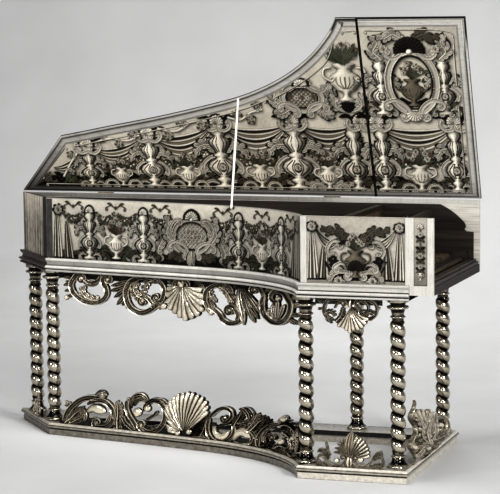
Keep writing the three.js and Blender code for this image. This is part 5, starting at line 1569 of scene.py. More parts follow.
gx, gy = lid.X, lid.Y
cl = lid.clouds(0.16, 11)
fine = lid.clouds(0.012, 12, 3)
value = 0.56 + 0.24 * (cl - 0.5) + 0.09 * (fine - 0.5)
# the lower edge and the tail are darker, the middle of the field lighter
edge_darkening = 0.14 + 0.20 * np.clip(gx / 1.6, 0, 1)
value *= edge_darkening + (1 - edge_darkening) * np.clip((gy - 0.035) / 0.075, 0, 1) ** 0.8
value *= 1.0 - 0.16 * np.clip((gx - 1.50) / 0.12, 0, 1) * np.clip((gy - 0.32) / 0.20, 0, 1)
value *= 0.84 + 0.16 * np.clip((gx - 0.16) / 0.30, 0, 1) + 0.18 * np.clip((1.3 - gx) / 1.0, 0, 1)
value *= 0.88 / LID_GAIN(gx)
lid.ground(value, (1.0, 0.955, 0.875))


def lid_edge(u, inset=0.0):
    """Height of the lid's curved edge at u, less an inset."""
    return np.interp(u, BENT_PATH[:, 0], BENT_PATH[:, 1]) - inset if u > TAIL[0] else u * TAIL[1] / TAIL[0] - inset


# soft background scrolls and leaves
B0 = Motifs()
for u, v, r, s in ((0.42, 0.20, 0.04, 1), (0.60, 0.20, 0.04, -1), (0.80, 0.26, 0.05, 1), (1.06, 0.25, 0.05, -1), (1.24, 0.24, 0.05, 1), (1.44, 0.25, 0.05, -1), (1.70, 0.25, 0.05, 1), (1.88, 0.20, 0.04, -1), (1.20, 0.40, 0.05, 1), (1.40, 0.36, 0.045, -1)):
    v0, _ = volute((u - r, v), math.pi / 2, -s, r, r * 0.3, 420)
    B0.tone = STONE
    B0.strip(v0, 0.006, 0.004, "round", gain=0.5)
lid.lay(B0, alpha=0.30, shadow=None)

# drapery hung between the stands, and garlands below it
HOOKS = [(0.330, 0.205), (0.612, 0.262), (0.925, 0.315), (1.250, 0.322), (1.535, 0.322)]
V = Motifs()
for i, (a, b) in enumerate(zip(HOOKS[:-1], HOOKS[1:])):
    festoon(V, (a[0] + 0.018, a[1]), (b[0] - 0.018, b[1]), 0.040, 0.066 + 0.020 * (i > 0), 9, (PALE, DEEP, STONE, BRONZE))
festoon(V, (1.600, 0.322), (1.925, 0.322), 0.042, 0.086, 9, (PALE, DEEP, STONE, BRONZE))
festoon(V, (0.16, 0.112), (0.318, 0.205), 0.024, 0.044, 7, (STONE, DEEP))
lid.lay(V, relief=1.5, shadow=(0.006, -0.012, 5, 0.62))
V = Motifs()
for i, (a, b) in enumerate(zip(HOOKS[:-1], HOOKS[1:])):
    mid = (a[0] + b[0]) / 2
    garland(V, (a[0], a[1] - 0.05), (mid - 0.020, 0.125 + 0.008 * i), 0.026, 0.024, seed=20 + i)
    garland(V, (mid + 0.020, 0.125 + 0.008 * i), (b[0], b[1] - 0.05), 0.026, 0.024, seed=40 + i)
garland(V, (1.600, 0.275), (1.735, 0.140), 0.026, 0.026, seed=60)
garland(V, (1.795, 0.140), (1.930, 0.275), 0.026, 0.026, seed=61)
lid.lay(V, relief=1.2, shadow=(0.005, -0.007, 4, 0.60))

# a dark running leaf along the lower edge
V = Motifs()
rng = np.random.default_rng(5)
for i, u in enumerate(np.arange(0.065, 1.93, 0.058)):
    room = max(0.006, min(0.050, lid_edge(u, 0.055) - 0.030))
    s = 1 if i % 2 else -1
    V.tone = [DEEP, BRONZE, DEEP, GREEN][i % 4]
    V.leaf([(u - s * 0.030, 0.027), (u - s * 0.008, 0.027 + 0.55 * room), (u + s * 0.014, 0.027 + 0.90 * room), (u + s * 0.036, 0.027 + 0.60 * room)], 0.40 * room + 0.004, 0.006, lobes=6)
for u in np.arange(0.07, 1.94, 0.012):
    h = min(0.010 + 0.014 * rng.random(), max(0.004, lid_edge(u, 0.055) - 0.03))
    V.tone = DEEP
    V.tongue([(u, 0.025), (u + 0.004 * (rng.random() - 0.5), 0.025 + h * 0.6), (u + 0.016 * (rng.random() - 0.5), 0.025 + h)], 0.008, 0.005)
lid.lay(V, shadow=(0.002, 0.003, 7, 0.6))

# stands under the hooks, flowering urns between them
V = Motifs()
for i, (u, v) in enumerate(HOOKS[:-1]):
    stand(V, u, 0.030, v - 0.030, PALE if i % 2 else STONE)
stand(V, 1.500, 0.030, 0.275, STONE, slim=0.8)
stand(V, 1.618, 0.030, 0.275, PALE, slim=0.72)
stand(V, 1.915, 0.030, 0.275, PALE, slim=0.66)
lid.lay(V, relief=1.3, shadow=(0.005, -0.006, 4, 0.66), outline=0.42)
V = Motifs()
for i, (u, v) in enumerate(HOOKS + [(1.605, 0.322), (1.920, 0.322)]):
    for s in (-1, 1):
        c_scroll(V, (u + s * 0.012, v - 0.020), (u + s * 0.056, v + 0.022), -s * 0.020, 0.009, PALE, 0.017)
        V.tone = DEEP
        V.tongue([(u + s * 0.020, v + 0.012), (u + s * 0.050, v + 0.040), (u + s * 0.086, v + 0.034)], 0.010, 0.006)
    V.tone = DEEP
    V.fan((u, v + 0.004), [(u - 0.036, v + 0.004), (u - 0.036, v + 0.030), (u - 0.018, v + 0.050), (u, v + 0.056), (u + 0.018, v + 0.050), (u + 0.036, v + 0.030), (u + 0.036, v + 0.004)], 0.010, n=9)
    V.tone = PALE if i % 2 else STONE
    V.fan((u, v + 0.004), [(u - 0.028, v + 0.006), (u - 0.028, v + 0.026), (u - 0.014, v + 0.042), (u, v + 0.047), (u + 0.014, v + 0.042), (u + 0.028, v + 0.026), (u + 0.028, v + 0.006)], 0.010, n=9)
for i, u in enumerate((0.470, 0.768, 1.088, 1.378, 1.766)):
    h = (0.110, 0.125, 0.140, 0.135, 0.150)[i]
    for k in (-1, 1):
        if i > 1:
            plume(V, [(u + k * 0.020, 0.034), (u + k * 0.050, 0.056), (u + k * 0.082, 0.046), (u + k * 0.104, 0.070)], 0.017, STONE if i % 2 else BRONZE, DEEP, 6)
        c_scroll(V, (u + k * 0.026, 0.040), (u + k * 0.080, 0.040), k * 0.018, 0.007, PALE, 0.014)
    urn(V, u, 0.030, h, PALE if i % 2 else STONE, seed=70 + i)
lid.lay(V, relief=1.3, shadow=(0.005, -0.006, 4, 0.70), outline=0.42)

# the narrow field under the curved edge: a running scroll, light on its own shadow
V = Motifs()
rinceau(V, [(0.37, 0.232), (0.44, 0.252), (0.52, 0.242), (0.575, 0.268)], 0.020, 0.0045, STONE, BRONZE)
rinceau(V, [(0.66, 0.300), (0.74, 0.288), (0.82, 0.330), (0.885, 0.334)], 0.024, 0.0050, STONE, BRONZE, side=-1)
rinceau(V, [(0.975, 0.352), (1.03, 0.342), (1.08, 0.375), (1.13, 0.388)], 0.024, 0.0050, STONE, BRONZE)
rinceau(V, [(0.20, 0.070), (0.24, 0.130), (0.28, 0.180)], 0.020, 0.0045, STONE, BRONZE, side=-1)
lid.lay(V, relief=1.2, shadow=(0.005, -0.006, 4, 0.8), outline=0.5)

# a trellised cartouche with leaf sprays at its sides
CX, CY = 1.305, 0.440
V = Motifs()
for f in np.linspace(0.05, 1, 12):
    a = np.linspace(0, 2 * math.pi, 40)
    V.tone = (tuple(np.array([0.34, 0.32, 0.28]) * (1.25 - 0.6 * f)), tuple(np.array([0.66, 0.64, 0.58]) * (1.2 - 0.45 * f)))
    V.strip(np.stack([CX + 0.070 * f * np.cos(a), CY + 0.046 * f * np.sin(a)], 1), 0.0065, 0.0, "round")
lid.lay(V, shadow=None)
V = Motifs()
V.tone = BRONZE
for t in np.linspace(-0.9, 0.9, 8):
    for sg in (-1, 1):
        q = [np.array([CX + t * 0.070 + sg * w * 0.042, CY + w * 0.042]) for w in np.linspace(-1, 1, 21)]
        q = [a for a in q if ((a[0] - CX) / 0.066) ** 2 + ((a[1] - CY) / 0.042) ** 2 < 1]
        if len(q) > 3:
            V.strip(np.array(q), 0.0016, 0.002, "round")
for k in range(-2, 3):
    rosette(V, CX + k * 0.0235, CY + (0.0 if k % 2 else 0.004), 0.010, 7, PALE if k % 2 else RED, BRONZE)
lid.lay(V, shadow=(0.002, -0.002, 2, 0.6))
V = Motifs()
for k in (-1, 1):
    plume(V, [(CX + k * 0.084, CY - 0.040), (CX + k * 0.118, CY - 0.010), (CX + k * 0.112, CY + 0.034), (CX + k * 0.134, CY + 0.062)], 0.026, STONE if k > 0 else PALE, DEEP, 7)
    plume(V, [(CX + k * 0.060, CY - 0.056), (CX + k * 0.098, CY - 0.074), (CX + k * 0.126, CY - 0.058)], 0.020, STONE, DEEP, 5)
oval(V, CX, CY, 0.082, 0.056, 0.013, PALE, 0.010)
oval(V, CX, CY, 0.067, 0.043, 0.003, DEEP, 0.003)
for k in (-1, 1):
    c_scroll(V, (CX + k * 0.018, CY - 0.062), (CX + k * 0.098, CY - 0.030), k * 0.020, 0.009, PALE, 0.017)
    c_scroll(V, (CX + k * 0.022, CY + 0.062), (CX + k * 0.094, CY + 0.032), -k * 0.016, 0.008, STONE, 0.015)
V.tone = DEEP
V.fan((CX, CY + 0.048), [(CX - 0.040, CY + 0.050), (CX - 0.034, CY + 0.076), (CX, CY + 0.090), (CX + 0.034, CY + 0.076), (CX + 0.040, CY + 0.050)], 0.012, n=9)
V.tone = PALE
V.fan((CX, CY + 0.050), [(CX - 0.028, CY + 0.054), (CX - 0.024, CY + 0.072), (CX, CY + 0.081), (CX + 0.024, CY + 0.072), (CX + 0.028, CY + 0.054)], 0.010, n=7)
lid.lay(V, relief=1.3, shadow=(0.006, -0.008, 5, 0.85), outline=0.55)

# a tall flowering urn on a bracket beside the joint
V = Motifs()
UX = 1.494
for k in (-1, 1):
    plume(V, [(UX + k * 0.010, 0.420), (UX + k * 0.040, 0.404), (UX + k * 0.058, 0.426), (UX + k * 0.060, 0.462)], 0.022, STONE, DEEP, 6)
    c_scroll(V, (UX + k * 0.006, 0.392), (UX + k * 0.054, 0.420), -k * 0.016, 0.009, PALE, 0.016)
V.tone = DEEP
V.fan((UX, 0.424), [(UX - 0.030, 0.420), (UX - 0.024, 0.392), (UX, 0.376), (UX + 0.024, 0.392), (UX + 0.030, 0.420)], 0.012, n=7)
urn(V, UX, 0.430, 0.205, STONE, seed=91)
lid.lay(V, relief=1.3, shadow=(0.006, -0.006, 5, 0.85), outline=0.5)
V = Motifs()
for k in (-1, 1):
    for r, a in ((0.075, 1.30), (0.088, 0.95), (0.080, 0.60)):
        q = np.array([k * math.cos(a), math.sin(a)])
        V.tone = GREEN
        V.tongue([(UX, 0.585), np.array([UX, 0.600]) + q * r * 0.5, np.array([UX, 0.592]) + q * r], 0.010, 0.006)
lid.lay(V, shadow=(0.003, -0.004, 4, 0.6), outline=0.3)

# the flap: a tall cartouche holding a vase of flowers, stands at its sides, a dark shell above
FX, FY = 1.768, 0.508
V = Motifs()
a = np.linspace(0, 2 * math.pi, 40)
for f in np.linspace(0.06, 1, 18):
    V.tone = (tuple(np.array([0.40, 0.38, 0.33]) * (1.25 - 0.6 * f)), tuple(np.array([0.76, 0.74, 0.67]) * (1.2 - 0.45 * f)))
    V.strip(np.stack([FX + 0.086 * f * np.cos(a), FY + 0.118 * f * np.sin(a)], 1), 0.0080, 0.0, "round")
lid.lay(V, shadow=None)
V = Motifs()
for k in (-1, 1):
    V.tone = DEEP
    V.leaf([(FX, 0.412), (FX + k * 0.030, 0.418), (FX + k * 0.058, 0.440)], 0.016, 0.005, lobes=5)
urn(V, FX, 0.408, 0.150, BRONZE, seed=95)
lid.lay(V, relief=1.2, shadow=(0.004, -0.004, 3, 0.7), outline=0.4)
V = Motifs()
for k in (-1, 1):
    stand(V, FX + k * 0.128, 0.372, 0.225, PALE if k < 0 else STONE, slim=0.80)
    plume(V, [(FX + k * 0.118, 0.606), (FX + k * 0.146, 0.640), (FX + k * 0.128, 0.676), (FX + k * 0.152, 0.708)], 0.026, STONE, DEEP, 7)
    plume(V, [(FX + k * 0.020, 0.690), (FX + k * 0.060, 0.712), (FX + k * 0.100, 0.694), (FX + k * 0.128, 0.714)], 0.022, STONE if k < 0 else BRONZE, DEEP, 6)
lid.lay(V, relief=1.3, shadow=(0.006, -0.007, 5, 0.85), outline=0.5)
V = Motifs()
oval(V, FX, FY, 0.098, 0.132, 0.015, PALE, 0.011)
oval(V, FX, FY, 0.082, 0.115, 0.0035, DEEP, 0.003)
for k in (-1, 1):
    c_scroll(V, (FX + k * 0.026, 0.366), (FX + k * 0.104, 0.426), k * 0.026, 0.011, PALE, 0.022)
    c_scroll(V, (FX + k * 0.096, 0.620), (FX + k * 0.030, 0.650), k * 0.022, 0.010, PALE, 0.018)
    rosette(V, FX + k * 0.104, 0.650, 0.019, 7, PALE, RED)
V.tone = DEEP
V.fan((FX, 0.634), [(FX - 0.064, 0.630), (FX - 0.062, 0.664), (FX - 0.034, 0.694), (FX, 0.704), (FX + 0.034, 0.694), (FX + 0.062, 0.664), (FX + 0.064, 0.630)], 0.014, n=13, gain=1.0)
V.tone = PALE
V.ball(FX, 0.638, 0.013, 0.012)
V.fan((FX, 0.378), [(FX - 0.036, 0.376), (FX - 0.030, 0.350), (FX, 0.338), (FX + 0.030, 0.350), (FX + 0.036, 0.376)], 0.012, n=9)
lid.lay(V, relief=1.3, shadow=(0.006, -0.008, 5, 0.9), outline=0.55)
# strapwork lines beside the border, each light line with its shadow
STRAPS = [[(u, float(lid_edge(u, 0.054))) for u in np.linspace(a, b, 8)] for a, b in ((0.27, 0.52), (0.56, 0.84), (0.88, 1.14))]
STRAPS.append([(1.19, float(lid_edge(1.19, 0.062))), (1.28, float(lid_edge(1.28, 0.068))), (1.36, float(lid_edge(1.36, 0.078))), (1.43, float(lid_edge(1.43, 0.090))), (1.476, 0.725)])
STRAPS += [[(1.505, 0.728), (1.55, 0.730)], [(1.60, 0.730), (1.75, 0.733), (1.90, 0.730), (1.944, 0.716), (1.946, 0.62), (1.946, 0.50)], [(1.946, 0.40), (1.947, 0.25), (1.946, 0.10)],
           [(0.10, 0.070), (0.16, 0.134), (0.225, 0.205)], [(0.12, 0.036), (0.60, 0.035), (1.10, 0.035), (1.54, 0.035)], [(1.60, 0.035), (1.76, 0.036), (1.93, 0.036)]]
for off, tone, w in ((0.0022, DEEP, 0.0024), (0.0, PALE, 0.0015)):
    M = Motifs()
    M.tone = tone
    for pts in STRAPS:
        M.band([(x + off, y - off) for x, y in pts], w, 0.002, "round", start=(1, 0.008, 0.003, 280), end=(-1, 0.008, 0.003, 280))
    lid.lay(M, shadow=None, alpha=0.8)
lid.c = np.clip(lid.c * (0.90 + 0.20 * lid.clouds(0.05, 31))[..., None], 0, 1)


def painted_slab(name, U, Vv, place, colours, material, body, back):
    """Front grid U x V (u, v positions), its back straight behind: each column is one ring."""
    front = place(U, Vv, 0.0)
    rear = place(U[:, [-1, 0]], Vv[:, [-1, 0]], back)
    g = np.concatenate([front, rear], 1)
    c = np.concatenate([colours, colours[:, [-1, 0]] * 0.4], 1)
    m = Mesh()
    rings(m, g, c)
    return make(name, m, material, body, smooth_angle=30)


def lid_place(u, v, h):
    """On the open lid: h is how far the point stands out of the recess's floor towards the room."""
    u, v = np.broadcast_arrays(u, v)
    return lid_open(PN(np.stack([u, v, np.full(u.shape, LID_LO + 0.0005) - h], -1)))


INNER = outline(end=CLOSED_U, spine=-0.0005 - BORDER["spine"], tail=0.003 - BORDER["tail"], bent=0.003 - BORDER["bent"], cheek=-0.008 - BORDER["cheek"], front=-BORDER["front"])
top_edge = INNER[0:I_CORNER + 2]


def inner_high(u):
    return np.interp(u, top_edge[:, 0], top_edge[:, 1])


def lid_piece(name, u0, u1, step, body, high, low):
    us = np.linspace(u0, u1, max(3, int((u1 - u0) / step)))
    hi = high(us) - 0.0002
    rows = max(6, int(hi.max() / step))
    t = np.linspace(0, 1, rows)
    V2 = low + np.maximum(hi - low, 0.0006)[:, None] * t[None]
    U2 = np.repeat(us[:, None], rows, 1)
    painted_slab(name, U2, V2, lid_place, np.clip(lid.sample(U2, V2) * LID_GAIN(U2)[..., None], 0, 1), M_LID, body, -0.0006)


low_edge = 0.0005 + BORDER["spine"] + 0.0002
u_start = float(INNER[0, 0]) + 0.001
lid_piece("lid_painting_tail", u_start, 0.70, 0.0026, "lid", inner_high, low_edge)
lid_piece("lid_painting_middle", 0.70, 1.16, 0.0024, "lid", inner_high, low_edge)
lid_piece("lid_painting_front", 1.16, CLOSED_U - JOINT - 0.0002, 0.0026, "lid", inner_high, low_edge)
f_lo, f_hi = 0.0005 + FLAP_BORDER["low"] + 0.0002, WIDTH - 0.008 - FLAP_BORDER["high"] - 0.0002
lid_piece("flap_painting", FLAP_U + 0.0002 + JOINT + 0.0002, LENGTH + 0.003 - FLAP_BORDER["front"] - 0.0002, 0.0026, "flap", lambda u: np.full(len(u), f_hi + 0.0002), f_lo)

# ---- the bentside's painting ----------------------------------------------------------
S_END = float(BENT_S[-1])
B_LO, B_HI = 0.7452, 0.9915
side = Canvas(0.0, 0.740, S_END, 1.0, 0.001)
cl, fine = side.clouds(0.10, 51), side.clouds(0.010, 52, 3)
zz = (side.Y - B_LO) / (B_HI - B_LO)
value = 0.50 + 0.20 * (cl - 0.5) + 0.07 * (fine - 0.5) + 0.12 * np.clip((zz - 0.80) / 0.2, 0, 1)
value *= 0.60 + 0.40 * np.clip(zz / 0.45, 0, 1)
# the ground darkens towards the keyboard end, where the curved side turns from the light: painted shade
value *= 1 - 0.60 * np.clip((side.X - 1.26) / 0.14, 0, 1)
side.ground(value, (1.0, 0.965, 0.895))
MID = S_END * 0.5
V = Motifs()
# dark leaves along the bottom
rng = np.random.default_rng(8)
for i, x in enumerate(np.arange(0.045, S_END - 0.045, 0.034)):
    sg = 1 if i % 2 else -1
    V.tone = [DEEP, BRONZE, GREEN, DEEP][i % 4]
    V.leaf([(x - sg * 0.020, B_LO), (x - sg * 0.006, B_LO + 0.016), (x + sg * 0.012, B_LO + 0.026), (x + sg * 0.030, B_LO + 0.014)], 0.015, 0.006, lobes=5)
for x in np.arange(0.03, S_END - 0.02, 0.010):
    h = 0.006 + 0.010 * rng.random()
    V.tone = DEEP
    V.tongue([(x, B_LO), (x + 0.004 * (rng.random() - 0.5), B_LO + h * 0.6), (x + 0.014 * (rng.random() - 0.5), B_LO + h)], 0.008, 0.005)
side.lay(V, shadow=(0, 0, 5, 0.55))
# hangings at both ends
V = Motifs()
hanging(V, 0.052, 0.945, 0.752, 0.050, 8, (STONE, DEEP, PALE, DEEP, BRONZE))
hanging(V, 0.100, 0.900, 0.752, 0.044, 7, (BRONZE, DEEP, STONE, DEEP), 0.012)
hanging(V, S_END - 0.052, 0.945, 0.752, 0.054, 8, (STONE, DEEP, PALE, DEEP, BRONZE))
hanging(V, S_END - 0.100, 0.900, 0.752, 0.044, 7, (BRONZE, DEEP, STONE, DEEP), -0.012)
side.lay(V, relief=1.5, shadow=(0.004, -0.003, 3, 0.7))
V = Motifs()
for x, z in ((0.060, 0.948), (S_END - 0.060, 0.948)):
    V.tone = DEEP
    for a in range(7):
        t = math.pi * (0.15 + a * 0.28)
        V.tongue([(x, z), (x + 0.018 * math.cos(t), z + 0.014 * math.sin(t)), (x + 0.032 * math.cos(t + 0.2), z + 0.026 * math.sin(t + 0.2))], 0.009, 0.006)
    rosette(V, x, z, 0.020, 8, STONE, BRONZE)
# garlands from stand to stand
STANDS = [0.215, 0.478, S_END - 0.478, S_END - 0.215]
for i, (x0, x1) in enumerate(((0.085, 0.185), (0.245, 0.340), (0.350, 0.448), (0.508, MID - 0.095), (MID + 0.095, S_END - 0.508), (S_END - 0.448, S_END - 0.350), (S_END - 0.340, S_END - 0.245), (S_END - 0.185, S_END - 0.085))):
    garland(V, (x0, 0.944), (x1, 0.944), 0.034, 0.017, seed=200 + i)
side.lay(V, relief=1.2, shadow=(0.004, -0.005, 3, 0.7), outline=0.45)
# light flourishes above them
V = Motifs()
for i, x in enumerate((0.135, 0.345, 0.560, S_END - 0.560, S_END - 0.345, S_END - 0.135)):
    for k in (-1, 1):
        V.tone = BRONZE
        V.band([(x + k * 0.004, 0.962), (x + k * 0.022, 0.974), (x + k * 0.044, 0.966)], 0.0026, 0.002, "round", end=(-k, 0.009, 0.003, 330))
        V.tongue([(x + k * 0.012, 0.968), (x + k * 0.026, 0.980), (x + k * 0.042, 0.982)], 0.0050, 0.003)
    rosette(V, x, 0.964, 0.0085, 6, RED, DEEP)
side.lay(V, shadow=(0.002, -0.002, 2, 0.4))
# dark leafy scrolls behind the urns
V = Motifs()
for x in (0.345, S_END - 0.345):
    for k in (-1, 1):
        V.tone = BRONZE
        vol, kk = volute((x + k * 0.012, 0.770), math.pi / 2 - k * 0.60, -k, 0.050, 0.012, 450)
        V.strip(vol, 0.0095 * (0.35 + 0.65 * kk), 0.008, "channel")
        for t in range(3, len(vol) - 4, 2):
            dd = vol[t + 1] - vol[t]
            aa = math.atan2(dd[1], dd[0])
            for sd in (1, -1):
                ln = (0.034 if sd * k > 0 else 0.018) * (1.0 - 0.02 * t)
                b = aa + sd * 0.8
                V.tone = [DEEP, GREEN][t % 2]
                V.tongue([vol[t], vol[t] + 0.5 * ln * np.array([math.cos(b), math.sin(b)]), vol[t] + ln * np.array([math.cos(b - sd * 0.6), math.sin(b - sd * 0.6)])], ln * 0.26, ln * 0.2)
        rosette(V, vol[-1][0], vol[-1][1], 0.016, 8, PALE, RED)
for x in (MID - 0.150, MID + 0.150):
    k = 1 if x > MID else -1
    plume(V, [(x, 0.760), (x + k * 0.014, 0.800), (x - k * 0.008, 0.850), (x + k * 0.012, 0.905)], 0.026, STONE, DEEP, 8)
    plume(V, [(x + k * 0.004, 0.758), (x + k * 0.034, 0.776), (x + k * 0.054, 0.806), (x + k * 0.044, 0.838)], 0.020, BRONZE, DEEP, 6)
side.lay(V, relief=1.2, shadow=(0.004, -0.005, 4, 0.75), outline=0.45)
V = Motifs()
for i, x in enumerate(STANDS):
    stand(V, x, 0.751, 0.190, PALE if i % 2 else STONE, slim=0.92)
    V.tone = DEEP
    V.fan((x, 0.938), [(x - 0.026, 0.938), (x - 0.022, 0.960), (x, 0.974), (x + 0.022, 0.960), (x + 0.026, 0.938)], 0.010, n=9)
    V.tone = PALE
    V.fan((x, 0.940), [(x - 0.019, 0.941), (x - 0.016, 0.956), (x, 0.966), (x + 0.016, 0.956), (x + 0.019, 0.941)], 0.008, n=7)
for i, x in enumerate((0.345, S_END - 0.345)):
    urn(V, x, 0.756, 0.128, PALE, seed=110 + i)
side.lay(V, relief=1.3, shadow=(0.005, -0.005, 4, 0.8), outline=0.5)
# the middle: a wide cartouche with a lattice of leaves
V = Motifs()
a = np.linspace(0, 2 * math.pi, 44)
for f in np.linspace(0.05, 1, 14):
    V.tone = (tuple(np.array([0.10, 0.095, 0.08]) * (0.6 + 0.7 * f)), tuple(np.array([0.36, 0.34, 0.29]) * (0.6 + 0.8 * f)))
    V.strip(np.stack([MID + 0.078 * f * np.cos(a), 0.866 + 0.058 * f * np.sin(a)], 1), 0.0062, 0.0, "round")
side.lay(V, shadow=None)
V = Motifs()
V.tone = STONE
for t in np.linspace(-0.9, 0.9, 9):
    for sg in (-1, 1):
        c0 = np.array([MID + t * 0.078, 0.866])
        q = [c0 + np.array([sg * w * 0.050, w * 0.050]) for w in np.linspace(-1, 1, 21)]
        q = [a for a in q if ((a[0] - MID) / 0.076) ** 2 + ((a[1] - 0.866) / 0.056) ** 2 < 1]
        if len(q) > 3:
            V.strip(np.array(q), 0.0016, 0.002, "round")
side.lay(V, shadow=(0.002, -0.002, 2, 0.6))
V = Motifs()
for k in range(7):
    for r in range(3):
        x, z = MID + (k - 3) * 0.0208 + (r % 2) * 0.0104, 0.845 + r * 0.021
        if ((x - MID) / 0.066) ** 2 + ((z - 0.866) / 0.048) ** 2 < 1:
            rosette(V, x, z, 0.0075, 6, PALE, RED)
side.lay(V, shadow=(0.002, -0.003, 3, 0.5))
V = Motifs()
for k in (-1, 1):
    plume(V, [(MID + k * 0.098, 0.840), (MID + k * 0.120, 0.870), (MID + k * 0.112, 0.915), (MID + k * 0.128, 0.946)], 0.022, STONE, DEEP, 6)
    plume(V, [(MID + k * 0.020, 0.790), (MID + k * 0.060, 0.776), (MID + k * 0.096, 0.784), (MID + k * 0.116, 0.766)], 0.020, BRONZE, DEEP, 6)
oval(V, MID, 0.866, 0.086, 0.066, 0.012, STONE, 0.009)
oval(V, MID, 0.866, 0.075, 0.055, 0.003, DEEP, 0.003)
for k in (-1, 1):
    c_scroll(V, (MID + k * 0.020, 0.792), (MID + k * 0.106, 0.828), k * 0.026, 0.009, PALE, 0.016)
    c_scroll(V, (MID + k * 0.100, 0.872), (MID + k * 0.062, 0.930), -k * 0.018, 0.008, STONE, 0.014)
V.tone = DEEP
V.fan((MID, 0.926), [(MID - 0.044, 0.928), (MID - 0.036, 0.956), (MID, 0.976), (MID + 0.036, 0.956), (MID + 0.044, 0.928)], 0.014, n=11)
V.tone = STONE
V.fan((MID, 0.928), [(MID - 0.032, 0.930), (MID - 0.026, 0.950), (MID, 0.965), (MID + 0.026, 0.950), (MID + 0.032, 0.930)], 0.012, n=9)
V.tone = PALE
V.ball(MID, 0.930, 0.008, 0.008)
plume(V, [(MID, 0.802), (MID - 0.003, 0.780), (MID, 0.752)], 0.024, STONE, DEEP, 5)
side.lay(V, relief=1.3, shadow=(0.005, -0.005, 4, 0.8), outline=0.5)
side.c = np.clip(side.c * (0.90 + 0.20 * side.clouds(0.04, 55))[..., None], 0, 1)
# a dark stile at the tail corner
edge = np.clip((0.030 - side.X) / 0.0015, 0, 1)[..., None]
side.c = side.c * (1 - edge) + edge * 0.07 * (0.6 + 0.9 * side.clouds(0.02, 56, 2))[..., None]

xs = np.linspace(0.0006, S_END - 0.0006, int(S_END / 0.0022))
zs = np.linspace(B_LO, B_HI, int((B_HI - B_LO) / 0.0021))
U2, Z2 = np.meshgrid(xs, zs, indexing="ij")
painted_slab("bentside_painting", U2, Z2, lambda x, z, h: bent_map(x, z, h, 0.0009), side.sample(U2, Z2), M_PANEL, "root", -0.0008)

# ---- the cheek: pale stiles and rails, a painted panel and a painted strip --------------
CK_A, CK_B = CORNER, (LENGTH, WIDTH)
ck = line_map(CK_A, CK_B, 0.0)
cheek = Canvas(0.0, 0.70, 0.512, 1.0, 0.001)
cl, fine = cheek.clouds(0.08, 61), cheek.clouds(0.009, 62, 3)
zz = (cheek.Y - 0.757) / 0.228
value = 0.36 + 0.14 * (cl - 0.5) + 0.05 * (fine - 0.5)
value *= 0.78 + 0.22 * np.clip(zz / 0.5, 0, 1)
strip_zone = cheek.X > 0.43
value = np.where(strip_zone, 0.16 + 0.20 * np.clip(zz, 0, 1) + 0.04 * (fine - 0.5), value)
cheek.ground(value, (1.0, 0.965, 0.90))
V = Motifs()
V.tone = DEEP
for x in np.arange(0.028, 0.404, 0.009):
    h = 0.008 + 0.010 * rng.random()
    V.tongue([(x, 0.757), (x + 0.003, 0.757 + h * 0.5), (x + 0.012 * (rng.random() - 0.5), 0.757 + h)], 0.007, 0.004)
cheek.lay(V, shadow=(0, 0, 3, 0.5))
V = Motifs()
for k, x in ((1, 0.046), (-1, 0.384)):
    hanging(V, x, 0.945, 0.762, 0.046, 8, (STONE, DEEP, PALE, DEEP, BRONZE), 0.004 * k)
    hanging(V, x + k * 0.048, 0.892, 0.764, 0.044, 7, (BRONZE, DEEP, STONE, DEEP), -0.006 * k)
    festoon(V, (x + k * 0.010, 0.955), (x + k * 0.100, 0.900), 0.020, 0.036, 7, (PALE, DEEP, STONE, BRONZE))
    festoon(V, (x + k * 0.050, 0.830), (x + k * 0.145, 0.800), 0.020, 0.034, 6, (STONE, DEEP, PALE, DEEP))
cheek.lay(V, relief=1.5, shadow=(0.004, -0.003, 3, 0.6))
V = Motifs()
for k, x in ((1, 0.046), (-1, 0.384)):
    V.tone = DEEP
    for a in range(8):
        t = 2 * math.pi * a / 8
        V.tongue([(x, 0.956), (x + 0.014 * math.cos(t), 0.956 + 0.012 * math.sin(t)), (x + 0.026 * math.cos(t + 0.2), 0.956 + 0.022 * math.sin(t + 0.2))], 0.008, 0.005)
    rosette(V, x, 0.956, 0.017, 8, STONE, RED)
    c_scroll(V, (x + k * 0.104, 0.904), (x + k * 0.066, 0.850), -k * 0.022, 0.010, STONE, 0.016)
    V.tone = DEEP
    V.leaf([(x + k * 0.074, 0.842), (x + k * 0.096, 0.808), (x + k * 0.126, 0.786), (x + k * 0.150, 0.790)], 0.022, 0.007, lobes=6)
cheek.lay(V, relief=1.3, shadow=(0.004, -0.004, 3, 0.65), outline=0.4)
V = Motifs()
cx = 0.215
